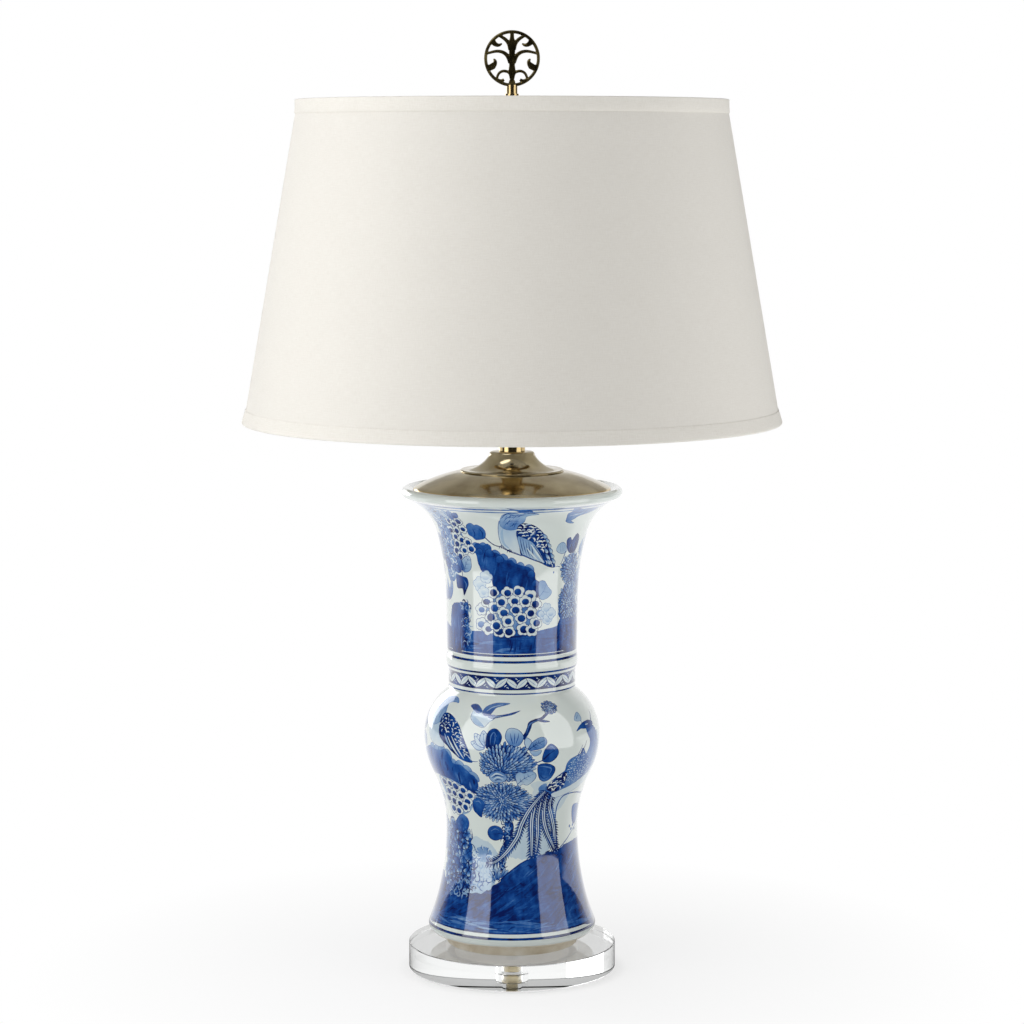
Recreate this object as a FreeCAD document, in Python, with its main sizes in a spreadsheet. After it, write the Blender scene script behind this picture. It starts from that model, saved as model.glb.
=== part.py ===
"""A table lamp made from a porcelain beaker vase: clear disc, vase, brass cap, harp, socket, bulb, shade, finial.

Millimetres. The lamp stands on the plane z = 0 with its axis on Z, its front towards -Y, and every piece
is a solid of its own.
"""

import FreeCAD, Part
import math
import os
import re

import Sketcher

FULL_TURN = 360
QUARTER_TURN = 90
HALF = 0.5

SIZES = (
    # The clear disc, what it stands on, and the pipe that holds the stack together
    ("bumper_height", 2.0, "thickness of each clear bumper under the disc"),
    ("bumper_radius", 5.0, "radius of each bumper"),
    ("bumper_circle_radius", 72.0, "radius of the circle that the bumpers stand on"),
    ("disc_radius", 89.0, "radius of the clear disc"),
    ("disc_thickness", 22.0, "thickness of the clear disc"),
    ("disc_edge_chamfer", 0.6, "polished chamfer round both edges of the disc"),
    ("disc_bore_radius", 5.6, "radius of the hole for the pipe in the disc"),
    ("recess_radius", 9.2, "radius of the recess under the disc"),
    ("recess_depth", 8.0, "depth of the recess under the disc"),
    ("pipe_radius", 5.15, "outside radius of the threaded pipe"),
    ("pipe_bore_radius", 3.5, "inside radius of the pipe, where the wire runs"),
    ("pipe_stick_out", 1.0, "how far the pipe comes out of its nut"),
    ("pipe_slot_width", 5.0, "width of the slot that lets the wire into the pipe"),
    ("pipe_slot_height", 16.0, "height of that slot"),
    ("washer_radius", 8.7, "radius of the washer in the recess"),
    ("washer_thickness", 1.2, "thickness of that washer"),
    ("nut_across_flats", 14.3, "width of both hexagon nuts over their flats"),
    ("base_nut_height", 4.8, "height of the nut in the recess"),
    ("thread_clearance", 0.1, "room between the pipe and what is threaded on it"),
    # The vase, from its foot to its lip; each rise is counted from the place before it
    ("vase_wall", 6.0, "wall of the vase, measured level"),
    ("vase_floor", 6.0, "thickness of the floor of the vase"),
    ("vase_bore_radius", 6.5, "hole for the pipe in the floor of the vase"),
    ("foot_ring_height", 7.0, "height of the bare foot ring"),
    ("foot_ring_width", 7.0, "width of the face that the foot ring stands on"),
    ("foot_ring_spread", 1.5, "how much wider the foot ring is at its top"),
    ("foot_ring_inset", 8.0, "how far the foot ring stands in from the glazed roll"),
    ("foot_radius", 72.0, "largest radius of the foot"),
    ("foot_height", 17.0, "height of that radius over the disc"),
    ("foot_roll", 8.0, "radius of the glazed roll under the foot"),
    ("waist_radius", 56.4, "radius of the waist"),
    ("waist_rise", 84.0, "rise from the foot to the waist"),
    ("belly_radius", 75.3, "largest radius of the belly"),
    ("belly_rise", 80.5, "rise from the waist to that radius"),
    ("belly_share", 0.61, "share of that rise that curves like the waist"),
    ("band_radius", 54.4, "radius of the leaf band above the shoulder"),
    ("shoulder_rise", 40.0, "rise from the belly to the leaf band"),
    ("band_rise", 17.5, "height of the leaf band"),
    ("ridge_proud", 1.8, "how far the raised ridge stands out of the band"),
    ("ridge_rise", 13.0, "height of the ridge"),
    ("neck_foot_radius", 55.4, "radius of the neck over the ridge"),
    ("neck_radius", 56.2, "radius of the neck where it starts to flare"),
    ("neck_rise", 44.0, "rise from the ridge to the start of the flare"),
    ("flare_run", 7.6, "how far the slow part of the flare goes outwards"),
    ("flare_rise", 59.0, "rise of the slow part of the flare"),
    ("mouth_rise", 27.6, "rise of the tight part of the flare"),
    ("lip_slope_run", 6.6, "how far the flat slope under the lip goes outwards"),
    ("lip_slope_rise", 3.6, "rise of that slope"),
    ("lip_round_run", 3.1, "how far the lower half of the lip's round goes outwards"),
    ("lip_round_rise", 4.1, "rise of that half"),
    ("lip_crest_run", 4.5, "how far the upper half of the round comes back in"),
    ("lip_crest_rise", 4.2, "rise of that half"),
    ("lip_wall", 4.8, "width of the lip from its crest to the ledge"),
    ("ledge_depth", 2.9, "how far the ledge for the cap lies under the crest"),
    ("ledge_width", 6.0, "width of the ledge that the cap sits on"),
    ("cap_side_gap", 0.8, "room round the cap inside the lip"),
    ("inlet_radius", 5.6, "radius of the hole for the bushing in the back of the vase"),
    ("inlet_height", 30.0, "height of that hole over the disc"),
    ("bushing_bore_radius", 3.6, "radius of the hole for the wire in the bushing"),
    ("bushing_proud", 1.6, "how far the bushing stands out of the vase"),
    ("bushing_fit", 0.1, "room round the bushing in its hole"),
    # The two-tier brass cap and the neck tube on it
    ("cap_radius", 84.2, "radius of the brass cap"),
    ("cap_edge", 1.3, "height of the upright edge of the cap"),
    ("cap_height", 15.8, "height of the cap"),
    ("cap_crown", 10.3, "height of the dome half way out"),
    ("cap_sheet", 1.2, "sheet thickness of the cap"),
    ("cap_flat_radius", 46.0, "radius of the flat middle of the cap"),
    ("collar_radius", 44.3, "radius of the upper tier"),
    ("collar_edge", 1.2, "height of the upright edge of the upper tier"),
    ("collar_height", 17.0, "height of the upper tier"),
    ("collar_sheet", 1.2, "sheet thickness of the upper tier"),
    ("collar_waist_radius", 25.6, "radius of the upper tier half way along its curve"),
    ("collar_waist_height", 6.8, "height of that radius"),
    ("collar_top_radius", 19.4, "radius of the upper tier under its round top"),
    ("collar_round", 2.8, "radius of the round top edge of the upper tier"),
    ("neck_tube_radius", 11.2, "outside radius of the brass neck tube"),
    ("neck_tube_wall", 1.0, "wall of the neck tube"),
    ("neck_tube_length", 34.4, "length of the neck tube"),
    ("neck_ring_radius", 12.6, "radius of the ring that closes the neck tube"),
    ("neck_ring_thickness", 2.0, "thickness of that ring"),
    # The harp and what holds it
    ("saddle_thickness", 1.6, "sheet thickness of the harp saddle"),
    ("saddle_width", 13.0, "width of the saddle strip"),
    ("harp_leg_spread", 32.0, "distance of each harp leg from the axis"),
    ("harp_wire_radius", 2.0, "radius of the harp wire"),
    ("harp_height", 254.0, "height from the saddle to the top of the harp"),
    ("harp_leg_length", 28.0, "length of the straight foot of each leg"),
    ("harp_half_width", 58.0, "distance of the widest wire from the axis"),
    ("harp_wide_height", 112.0, "height of the widest place over the saddle"),
    ("harp_crown_radius", 40.0, "radius of the wire over the bulb"),
    ("harp_stud_seat_radius", 6.0, "radius of the seat under the shade"),
    ("harp_stud_seat_height", 5.0, "height of that seat over the middle of the wire"),
    ("harp_stud_radius", 3.1, "radius of the threaded stud"),
    ("harp_stud_length", 12.0, "length of the stud over its seat"),
    ("lug_wall", 1.2, "wall of the saddle's upright lugs"),
    ("lug_height", 11.0, "height of the lugs"),
    ("lug_fit", 0.08, "room round the wire in its lug"),
    ("sleeve_wall", 0.9, "wall of the sliding sleeves"),
    ("sleeve_lip", 2.0, "thickness of the sleeve's narrow top"),
    ("sleeve_fit", 0.08, "room round what a sleeve slides on"),
    ("saddle_nut_height", 3.2, "height of the nut over the saddle"),
    # The lamp socket, with heights counted from its bottom
    ("hub_radius", 8.2, "radius of the hub of the socket cap"),
    ("hub_height", 7.8, "height of that hub"),
    ("socket_cap_radius", 16.9, "radius of the socket cap"),
    ("socket_cap_height", 20.0, "height of the socket cap"),
    ("socket_cap_shoulder", 12.0, "height where the socket cap turns upright"),
    ("socket_sheet", 0.5, "sheet thickness of the socket's metal"),
    ("socket_gap", 0.3, "room between the nested parts of the socket"),
    ("socket_height", 58.0, "height of the whole socket"),
    ("socket_start", 13.5, "height where the shell starts inside the cap"),
    ("liner_thickness", 0.6, "thickness of the insulating liner"),
    ("core_height", 18.5, "height of the moulded core"),
    ("core_recess_depth", 3.0, "depth of the recesses for the wire screws"),
    ("core_recess_height", 10.0, "height of those recesses"),
    ("terminal_screw_radius", 3.0, "radius of each wire screw's head"),
    ("terminal_screw_height", 2.0, "height of each wire screw's head"),
    ("screw_shell_radius", 13.9, "outside radius of the shell that the bulb screws into"),
    ("contact_radius", 3.5, "radius of the centre contact"),
    ("contact_thickness", 1.5, "thickness of the centre contact"),
    ("set_screw_radius", 1.5, "radius of the set screw in the hub"),
    ("set_screw_head", 2.5, "how far the set screw stands out"),
    ("switch_height", 24.0, "height of the switch shaft"),
    ("switch_shaft_radius", 2.2, "radius of the switch shaft"),
    ("switch_shaft_depth", 4.5, "distance of the shaft's inner end from the axis"),
    ("switch_running_fit", 0.06, "room round the shaft in the moulded core"),
    ("switch_hole_gap", 0.6, "room round the shaft in the shell"),
    ("knob_radius", 6.5, "radius of the switch knob"),
    ("knob_length", 11.0, "length of the switch knob"),
    ("knob_distance", 22.0, "distance of the knob from the axis"),
    ("knob_cap", 3.0, "thickness of the knob beyond the shaft"),
    ("knob_bevel", 1.0, "bevel round both ends of the knob"),
    # The bulb, with heights counted from its tip
    ("bulb_tip_radius", 3.0, "radius of the contact at the tip"),
    ("bulb_tip_height", 1.2, "height of that contact"),
    ("bulb_insulator_radius", 9.0, "radius of the insulator over the tip"),
    ("bulb_insulator_height", 3.0, "height of the insulator"),
    ("bulb_base_radius", 12.9, "radius of the bulb's screw base"),
    ("bulb_base_height", 21.0, "height of the bulb's screw base"),
    ("bulb_base_sheet", 0.4, "sheet thickness of the screw base"),
    ("bulb_base_taper", 3.0, "height of the tapered end of the screw base"),
    ("bulb_radius", 30.0, "radius of the bulb's glass"),
    ("bulb_length", 110.0, "length of the bulb"),
    ("bulb_glass_wall", 0.8, "wall of the bulb's glass"),
    ("bulb_neck_fit", 0.1, "room between the glass and the screw base"),
    ("bulb_neck_grip", 3.0, "how far the glass reaches into the screw base"),
    ("bulb_stem_radius", 4.0, "radius of the glass stem in the bulb"),
    ("bulb_stem_length", 30.0, "length of that stem"),
    ("bulb_stem_flange", 1.0, "thickness of the stem's flange in the neck"),
    ("bulb_stem_flare", 8.0, "height of the flared foot of the stem"),
    ("filament_spread", 10.0, "half of the distance between the filament's supports"),
    ("filament_rise", 26.0, "height of the supports over the stem"),
    ("filament_wire_radius", 0.5, "radius of the supports"),
    # The shade
    ("shade_top_radius", 179.7, "outside radius of the shade's cloth at its top"),
    ("shade_bottom_radius", 226.9, "outside radius of the shade's cloth at its bottom"),
    ("shade_height", 269.5, "height of the shade"),
    ("shade_rise", 3.4, "how far the shade's top edge stands over the harp"),
    ("cloth_thickness", 0.7, "thickness of the linen"),
    ("liner_sheet", 0.5, "thickness of the stiff sheet behind the linen"),
    ("shade_wire_radius", 1.6, "radius of the shade's rings and arms"),
    ("shade_fit", 0.1, "room between the rings and the sheet"),
    ("trim_height", 11.0, "height of the cloth trims"),
    ("trim_thickness", 0.7, "thickness of the trims"),
    ("top_trim_proud", 2.2, "how far the top trim stands out at the edge"),
    ("bottom_trim_proud", 1.8, "how far the bottom trim stands out at the edge"),
    ("top_trim_return", 1.0, "how far the top trim turns down behind the edge"),
    ("trim_return", 5.0, "how far the bottom trim turns up behind the edge"),
    ("fitter_radius", 12.0, "radius of the washer in the middle of the arms"),
    ("fitter_hole_radius", 3.8, "radius of the hole that goes over the stud"),
    ("fitter_thickness", 1.6, "thickness of that washer"),
    # The finial
    ("finial_base_radius", 6.5, "radius of the finial's foot"),
    ("finial_base_height", 3.0, "height of the finial's foot"),
    ("finial_base_bevel", 1.0, "height of the slope at the top of that foot"),
    ("finial_neck_radius", 4.4, "radius of the neck under the flange"),
    ("finial_neck_height", 2.2, "height of that neck"),
    ("finial_flange_radius", 5.7, "radius of the finial's flange"),
    ("finial_flange_height", 2.1, "height of the flange"),
    ("finial_shank_radius", 4.6, "radius of the shank under the medallion"),
    ("finial_shank_height", 7.3, "height of that shank"),
    ("finial_thread_fit", 0.3, "room round the stud in the finial"),
    ("medallion_radius", 23.6, "radius of the pierced medallion"),
    ("medallion_rim", 2.1, "width of the medallion's rim"),
    ("medallion_thickness", 3.4, "thickness of the medallion"),
    ("medallion_tree_thickness", 2.8, "thickness of the tree inside the rim"),
    ("medallion_seat", 1.6, "how far the rim sinks into the shank"),
)

# The tree in the medallion. Each scroll has its points, as shares of the medallion's inner reach, and the
# width at its start and end, as shares of the rim. The trunk comes first; the rest are mirrored.
TREE_SCROLLS = (
    (((0, 0.98), (0, 0.4), (0, -0.2), (0, -0.72)), 1.9, 2.2),
    (((0.03, 0.5), (0.07, 0.72), (0.09, 0.98)), 1.4, 1.7),
    (((0.05, 0.5), (0.2, 0.7), (0.34, 0.82), (0.47, 0.9)), 1.8, 0.8),
    (((0.69, 0.74), (0.7, 0.62), (0.6, 0.535), (0.47, 0.54), (0.39, 0.6)), 1.5, 0.3),
    (((0.06, -0.12), (0.12, 0.1), (0.24, 0.22), (0.4, 0.3), (0.58, 0.31), (0.76, 0.27), (0.96, 0.19)), 1.5, 0.75),
    (((0.98, -0.34), (0.84, -0.34), (0.72, -0.27), (0.67, -0.14), (0.71, 0.02)), 2.7, 0.4),
    (((0.03, -0.66), (0.13, -0.5), (0.29, -0.44), (0.44, -0.48), (0.53, -0.6), (0.58, -0.82)), 1.1, 0.8),
    (((0.5, -0.86), (0.38, -0.84), (0.27, -0.75)), 1.7, 0.9),
)
# The round knop at the foot of the trunk and the pad over the shank: radius as a share of the rim, and height
TREE_KNOPS = ((1.0, -0.72), (1.4, -0.96))

LEVELS = (
    # Heights and radii that follow from the sizes
    ("disc_top", "bumper_height + disc_thickness", "top of the disc"),
    ("recess_top", "bumper_height + recess_depth", "ceiling of the recess"),
    ("pipe_bottom", "recess_top - washer_thickness - base_nut_height - pipe_stick_out", "lower end of the pipe"),
    ("pipe_hole_radius", "pipe_radius + thread_clearance", "hole of what is threaded on the pipe"),
    ("foot_ring_radius", "foot_radius - foot_roll - foot_ring_inset", "radius of the foot ring where it stands"),
    ("waist_height", "foot_height + waist_rise", "height of the waist over the disc"),
    ("belly_height", "waist_height + belly_rise", "height of the belly"),
    ("band_foot_height", "belly_height + shoulder_rise", "height where the shoulder meets the leaf band"),
    ("band_top_height", "band_foot_height + band_rise", "height where the leaf band meets the ridge"),
    ("neck_foot_height", "band_top_height + ridge_rise", "height where the neck starts"),
    ("neck_height", "neck_foot_height + neck_rise", "height where the flare starts"),
    ("flare_height", "neck_height + flare_rise", "height where the flare tightens"),
    ("mouth_height", "flare_height + mouth_rise", "height where the flare meets the slope under the lip"),
    ("lip_under_height", "mouth_height + lip_slope_rise", "height where the lip's round starts"),
    ("lip_height", "lip_under_height + lip_round_rise", "height of the lip's largest radius"),
    ("vase_height", "lip_height + lip_crest_rise", "height of the vase"),
    ("ledge_radius", "cap_radius + cap_side_gap", "outer radius of the ledge that the cap sits on"),
    ("lip_top_radius", "ledge_radius + lip_wall", "radius of the crest of the lip"),
    ("lip_radius", "lip_top_radius + lip_crest_run", "largest radius of the lip"),
    ("lip_under_radius", "lip_radius - lip_round_run", "radius where the lip's round starts"),
    ("mouth_radius", "lip_under_radius - lip_slope_run", "radius where the flare meets the slope under the lip"),
    ("ledge_level", "disc_top + vase_height - ledge_depth", "ledge that the cap sits on"),
    ("collar_level", "ledge_level + cap_height", "top of the cap"),
    ("neck_level", "collar_level + collar_height", "top of the upper tier"),
    ("ring_level", "neck_level + neck_tube_length", "top of the neck tube"),
    ("saddle_level", "ring_level + neck_ring_thickness", "underside of the saddle"),
    ("harp_foot", "saddle_level + saddle_thickness", "top of the saddle"),
    ("harp_top", "harp_foot + harp_height", "seat of the shade on the harp"),
    ("socket_level", "harp_foot + saddle_nut_height", "bottom of the socket"),
    ("core_level", "socket_level + socket_start", "bottom of the moulded core"),
    ("core_top", "core_level + core_height", "top of the moulded core"),
    ("shell_radius", "socket_cap_radius - socket_sheet - socket_gap", "outside radius of the socket shell"),
    ("liner_radius", "shell_radius - socket_sheet - socket_gap", "outside radius of the liner"),
    ("core_radius", "liner_radius - liner_thickness - socket_gap", "radius of the moulded core"),
    ("bulb_level", "core_top + contact_thickness", "tip of the bulb"),
    ("shade_top", "harp_top + shade_rise", "top edge of the shade"),
    ("shade_bottom", "shade_top - shade_height", "bottom edge of the shade"),
    ("fitter_level", "harp_top + fitter_thickness", "top of the shade's washer"),
    ("arm_level", "harp_top + fitter_thickness * 0.5", "middle of the arms"),
    ("shade_slope", "(shade_bottom_radius - shade_top_radius) / shade_height", "widening of the shade per height"),
    ("shell_thickness", "cloth_thickness + liner_sheet", "thickness of cloth and sheet"),
    ("top_ring_radius",
     "shade_top_radius + shade_slope * (shade_top - arm_level - shade_wire_radius) - shell_thickness"
     " - shade_fit - shade_wire_radius", "radius of the top ring's middle"),
    ("bottom_ring_level", "shade_bottom + shade_wire_radius + trim_thickness", "middle of the bottom ring"),
    ("bottom_ring_radius",
     "shade_bottom_radius - shade_slope * (bottom_ring_level + shade_wire_radius - shade_bottom)"
     " - shell_thickness - shade_fit - shade_wire_radius", "radius of the bottom ring's middle"),
    ("finial_height",
     "finial_base_height + finial_neck_height + finial_flange_height + finial_shank_height",
     "height of the finial under its medallion"),
    ("medallion_level", "fitter_level + finial_height - medallion_seat + medallion_radius", "middle of the medallion"),
)

doc = FreeCAD.newDocument("Lamp")


def make_sheet(name, rows, first):
    """Fills a sheet with rows of name, content and note, and gives each content its name as alias."""
    sheet = doc.addObject("Spreadsheet::Sheet", name)
    for row, (alias, content, note) in enumerate(rows, start=1):
        sheet.set(f"A{row}", alias)
        sheet.set(f"B{row}", first + str(content))
        sheet.setAlias(f"B{row}", alias)
        sheet.set(f"C{row}", note)
    return sheet


HOMES = {row[0]: "Sizes" for row in SIZES}
HOMES.update({row[0]: "Levels" for row in LEVELS})


def full(expression):
    """The expression with the name of its sheet before every size in it."""
    return re.sub(
        r"[a-z_]{2,}",
        lambda found: f"{HOMES[found[0]]}.{found[0]}" if found[0] in HOMES else found[0],
        str(expression),
    )


sizes = make_sheet("Sizes", SIZES, "")
levels = make_sheet("Levels", [(name, full(rule), note) for name, rule, note in LEVELS], "=")
doc.recompute()

pieces = []


def size(expression):
    """The value of an expression of sizes, in millimetres."""
    return float(sizes.evalExpression(full(expression)))


def bind(target, **expressions):
    """Ties properties of an object to expressions of sizes."""
    for name, expression in expressions.items():
        target.setExpression(name, full(expression))
    return target


def place(target, level="0", x="0", y="0"):
    """Ties an object's place to expressions of sizes."""
    for axis, expression in (("x", x), ("y", y), ("z", level)):
        target.setExpression(f".Placement.Base.{axis}", full(expression))
    return target


def turn(target, axis, degrees):
    """Turns an object about an axis through its own origin."""
    target.Placement = FreeCAD.Placement(target.Placement.Base, FreeCAD.Rotation(axis, degrees))
    return target


X_AXIS = FreeCAD.Vector(1, 0, 0)
Y_AXIS = FreeCAD.Vector(0, 1, 0)
Z_AXIS = FreeCAD.Vector(0, 0, 1)
CENTRE = FreeCAD.Vector(0, 0, 0)


def keep(target, label):
    """Names a finished piece and notes it for export."""
    target.Label = label
    pieces.append(target)
    return target


def cylinder(name, radius, height, level="0", x="0", y="0"):
    """A round bar."""
    return place(bind(doc.addObject("Part::Cylinder", name), Radius=radius, Height=height), level, x, y)


def box(name, length, width, height, level="0", x="0", y="0"):
    """A block whose low corner is at x, y and level."""
    made = doc.addObject("Part::Box", name)
    return place(bind(made, Length=length, Width=width, Height=height), level, x, y)


def cut(name, base, tool):
    """One object minus another."""
    made = doc.addObject("Part::Cut", name)
    made.Base, made.Tool = base, tool
    return made


def fuse(name, shapes):
    """Several objects joined to one solid."""
    made = doc.addObject("Part::MultiFuse", name)
    made.Shapes = shapes
    return made


def group(name, links):
    """Several separate solids under one name."""
    made = doc.addObject("Part::Compound", name)
    made.Links = links
    return made


def hexagon_nut(name, height, level):
    """A hexagon nut on the pipe."""
    prism = place(bind(doc.addObject("Part::Prism", name + "_hexagon"), Height=height,
                       Circumradius="nut_across_flats / sqrt(3)"), level)
    prism.Polygon = 6
    return cut(name, prism, cylinder(name + "_thread", "pipe_hole_radius", height, level))


def turned(name, corners, level="0", x="0", y="0"):
    """A body turned about Z from an outline of corners, each a radius and a height."""
    body = doc.addObject("PartDesign::Body", name)
    sketch = body.newObject("Sketcher::SketchObject", name + "_outline")
    planes = [plane for plane in body.Origin.OriginFeatures if plane.Role == "XZ_Plane"]
    sketch.AttachmentSupport = (planes[0], "")
    sketch.MapMode = "FlatFace"
    points = [FreeCAD.Vector(size(radius), size(height), 0) for radius, height in corners]
    count = len(points)
    for index in range(count):
        sketch.addGeometry(Part.LineSegment(points[index], points[(index + 1) % count]), False)
    for index in range(count):
        sketch.addConstraint(Sketcher.Constraint("Coincident", index, 2, (index + 1) % count, 1))
    for index, (radius, height) in enumerate(corners):
        for direction, expression, line in (("DistanceX", radius, -2), ("DistanceY", height, -1)):
            if expression == "0":
                sketch.addConstraint(Sketcher.Constraint("PointOnObject", index, 1, line))
                continue
            rule = sketch.addConstraint(Sketcher.Constraint(direction, -1, 1, index, 1, size(expression)))
            sketch.setExpression(f"Constraints[{rule}]", full(expression))
    made = body.newObject("PartDesign::Revolution", name + "_turned")
    made.Profile = sketch
    made.ReferenceAxis = (sketch, ["V_Axis"])
    made.Angle = FULL_TURN
    return place(body, level, x, y)


def ring_of_wire(name, radius, wire_radius, level):
    """A closed round wire ring."""
    made = doc.addObject("Part::Torus", name)
    return place(bind(made, Radius1=radius, Radius2=wire_radius), level)


class Outline:
    """Edges in the plane of radius and height, drawn like a pen: lines and arcs, each arc smooth at its start."""

    def __init__(self, radius, height, heading=(0, 1)):
        self.point = FreeCAD.Vector(radius, 0, height)
        self.heading = FreeCAD.Vector(heading[0], 0, heading[1]).normalize()
        self.edges = []

    def line_to(self, radius, height):
        """A straight line."""
        end = FreeCAD.Vector(radius, 0, height)
        self.edges.append(Part.LineSegment(self.point, end).toShape())
        self.heading = (end - self.point).normalize()
        self.point = end
        return self

    def arc_to(self, radius, height):
        """An arc that leaves in the pen's direction and ends at the point given."""
        end = FreeCAD.Vector(radius, 0, height)
        chord = end - self.point
        side = Y_AXIS.cross(self.heading)
        reach = side.dot(chord)
        centre = self.point + side * (chord.dot(chord) / (2 * reach))
        out = ((self.point - centre) + (end - centre)).normalize()
        middle = centre + out * (end - centre).Length
        self.edges.append(Part.Arc(self.point, middle, end).toShape())
        along = FreeCAD.Vector(chord).normalize()
        self.heading = along * (2 * along.dot(self.heading)) - self.heading
        self.point = end
        return self

    def arc_over(self, middle, end):
        """An arc through a middle point."""
        last = FreeCAD.Vector(end[0], 0, end[1])
        arc = Part.Arc(self.point, FreeCAD.Vector(middle[0], 0, middle[1]), last)
        self.edges.append(arc.toShape())
        self.point = last
        return self


def turn_outline(edges):
    """The solid made by turning closed edges about Z."""
    face = Part.Face(Part.Wire(Part.__sortEdges__(edges)))
    return face.revolve(CENTRE, Z_AXIS, FULL_TURN)


def shaped(name, shape, level="0"):
    """A piece whose shape is worked out here from the sizes."""
    made = doc.addObject("Part::Feature", name)
    made.Shape = shape
    made.Placement = FreeCAD.Placement(FreeCAD.Vector(0, 0, size(level)), FreeCAD.Rotation())
    return keep(made, name)


def make_base():
    """The clear disc, its bumpers, and the pipe with the washer and nut in the disc's recess."""
    rim, chamfer, top = "disc_radius", "disc_edge_chamfer", "disc_thickness"
    keep(turned("base_disc", [
        ("recess_radius", "0"), (f"{rim} - {chamfer}", "0"), (rim, chamfer), (rim, f"{top} - {chamfer}"),
        (f"{rim} - {chamfer}", top), ("disc_bore_radius", top), ("disc_bore_radius", "recess_depth"),
        ("recess_radius", "recess_depth"),
    ], "bumper_height"), "base_disc")
    bumpers = []
    for index, (across, along) in enumerate(((1, 1), (-1, 1), (-1, -1), (1, -1))):
        diagonal = "bumper_circle_radius / sqrt(2)"
        bumpers.append(cylinder(f"bumper_{index + 1}", "bumper_radius", "bumper_height", "0",
                                f"{across} * {diagonal}", f"{along} * {diagonal}"))
    keep(group("base_bumpers", bumpers), "base_bumpers")
    keep(cut("base_washer",
             cylinder("washer_disc", "washer_radius", "washer_thickness", "recess_top - washer_thickness"),
             cylinder("washer_hole", "pipe_hole_radius", "washer_thickness", "recess_top - washer_thickness")),
         "base_washer")
    keep(hexagon_nut("base_nut", "base_nut_height", "recess_top - washer_thickness - base_nut_height"), "base_nut")
    length = "socket_level + hub_height - pipe_bottom"
    tube = cut("pipe_tube", cylinder("pipe_bar", "pipe_radius", length, "pipe_bottom"),
               cylinder("pipe_bore", "pipe_bore_radius", length, "pipe_bottom"))
    slot = box("pipe_slot", "pipe_slot_width", "pipe_radius + 1", "pipe_slot_height",
               "disc_top + inlet_height", "-pipe_slot_width / 2", "0")
    keep(cut("lamp_pipe", tube, slot), "lamp_pipe")


def vase_side(wall, foot_radius, foot_height):
    """The edges of the vase's side from foot to flare, drawn a wall's thickness inside the outer face.

    Returns the edges below the waist, then the pen that drew the rest and stands where the flare tightens.
    """
    waist = (size("waist_radius") - wall, size("waist_height"))
    below = Outline(*waist, heading=(0, -1)).arc_to(foot_radius, foot_height)
    belly = (size("belly_radius") - wall, size("belly_height"))
    share = size("belly_share")
    pen = Outline(*waist)
    pen.arc_to(waist[0] + (belly[0] - waist[0]) * share, waist[1] + (belly[1] - waist[1]) * share)
    pen.arc_to(*belly)
    pen.arc_to(size("band_radius") - wall, size("band_foot_height"))
    pen.line_to(size("band_radius") - wall, size("band_top_height"))
    pen.arc_over((size("band_radius + ridge_proud") - wall, size("band_top_height + ridge_rise / 2")),
                 (size("neck_foot_radius") - wall, size("neck_foot_height")))
    pen.line_to(size("neck_radius") - wall, size("neck_height"))
    pen.heading = FreeCAD.Vector(0, 0, 1)
    pen.arc_to(size("neck_radius + flare_run") - wall, size("flare_height"))
    return below.edges, pen


def make_vase():
    """The porcelain vase, turned from its outline, with a hole for the bushing in its back."""
    wall = size("vase_wall")
    foot = (size("foot_radius"), size("foot_height"))
    roll = size("foot_roll")
    below, outer = vase_side(0, *foot)
    outer.arc_to(size("mouth_radius"), size("mouth_height"))
    outer.line_to(size("lip_under_radius"), size("lip_under_height"))
    crest = size("vase_height")
    outer.arc_over((size("lip_radius"), size("lip_height")), (size("lip_top_radius"), crest))
    ledge = crest - size("ledge_depth")
    ledge_outer = size("ledge_radius")
    outer.line_to(ledge_outer, ledge)
    outer.line_to(ledge_outer - size("ledge_width"), ledge)
    floor_top = size("foot_ring_height + vase_floor")
    inner_foot = (foot[0] - roll, foot[1] + wall)
    inside_below, inner = vase_side(wall, *inner_foot)
    inner.arc_to(ledge_outer - size("ledge_width"), ledge)
    foot_top = size("foot_ring_radius + foot_ring_spread")
    ring_inner = size("foot_ring_radius - foot_ring_width")
    bore = size("vase_bore_radius")
    base = Outline(foot[0], foot[1])
    quarter = roll * math.sqrt(HALF)
    base.arc_over((foot[0] - roll + quarter, foot[1] - quarter), (foot[0] - roll, foot[1] - roll))
    base.line_to(foot_top, size("foot_ring_height"))
    base.line_to(size("foot_ring_radius"), 0)
    base.line_to(ring_inner, 0)
    base.line_to(ring_inner, size("foot_ring_height"))
    base.line_to(bore, size("foot_ring_height"))
    base.line_to(bore, floor_top)
    base.line_to(inner_foot[0] - wall, floor_top)
    base.line_to(*inner_foot)
    body = turn_outline(below + outer.edges + inside_below + inner.edges + base.edges)
    inlet = Part.makeCylinder(size("inlet_radius"), size("foot_radius"),
                              FreeCAD.Vector(0, 0, size("inlet_height")), Y_AXIS)
    shaped("vase", body.cut(inlet), "disc_top")
    flare = size("foot_radius - waist_radius")
    rise = size("waist_height - foot_height")
    bend = (rise * rise + flare * flare) / (2 * flare)
    down = size("waist_height - inlet_height")
    face = size("waist_radius") + bend - math.sqrt(bend * bend - down * down)
    start = face - wall - size("bushing_proud")
    length = wall + 2 * size("bushing_proud")
    low = FreeCAD.Vector(0, start, size("inlet_height"))
    outside = Part.makeCylinder(size("inlet_radius - bushing_fit"), length, low, Y_AXIS)
    bore_bar = Part.makeCylinder(size("bushing_bore_radius"), length, low, Y_AXIS)
    print("bushing bore from y", round(start, 3), "to", round(start + length, 3))
    shaped("cord_bushing", outside.cut(bore_bar), "disc_top")


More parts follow.
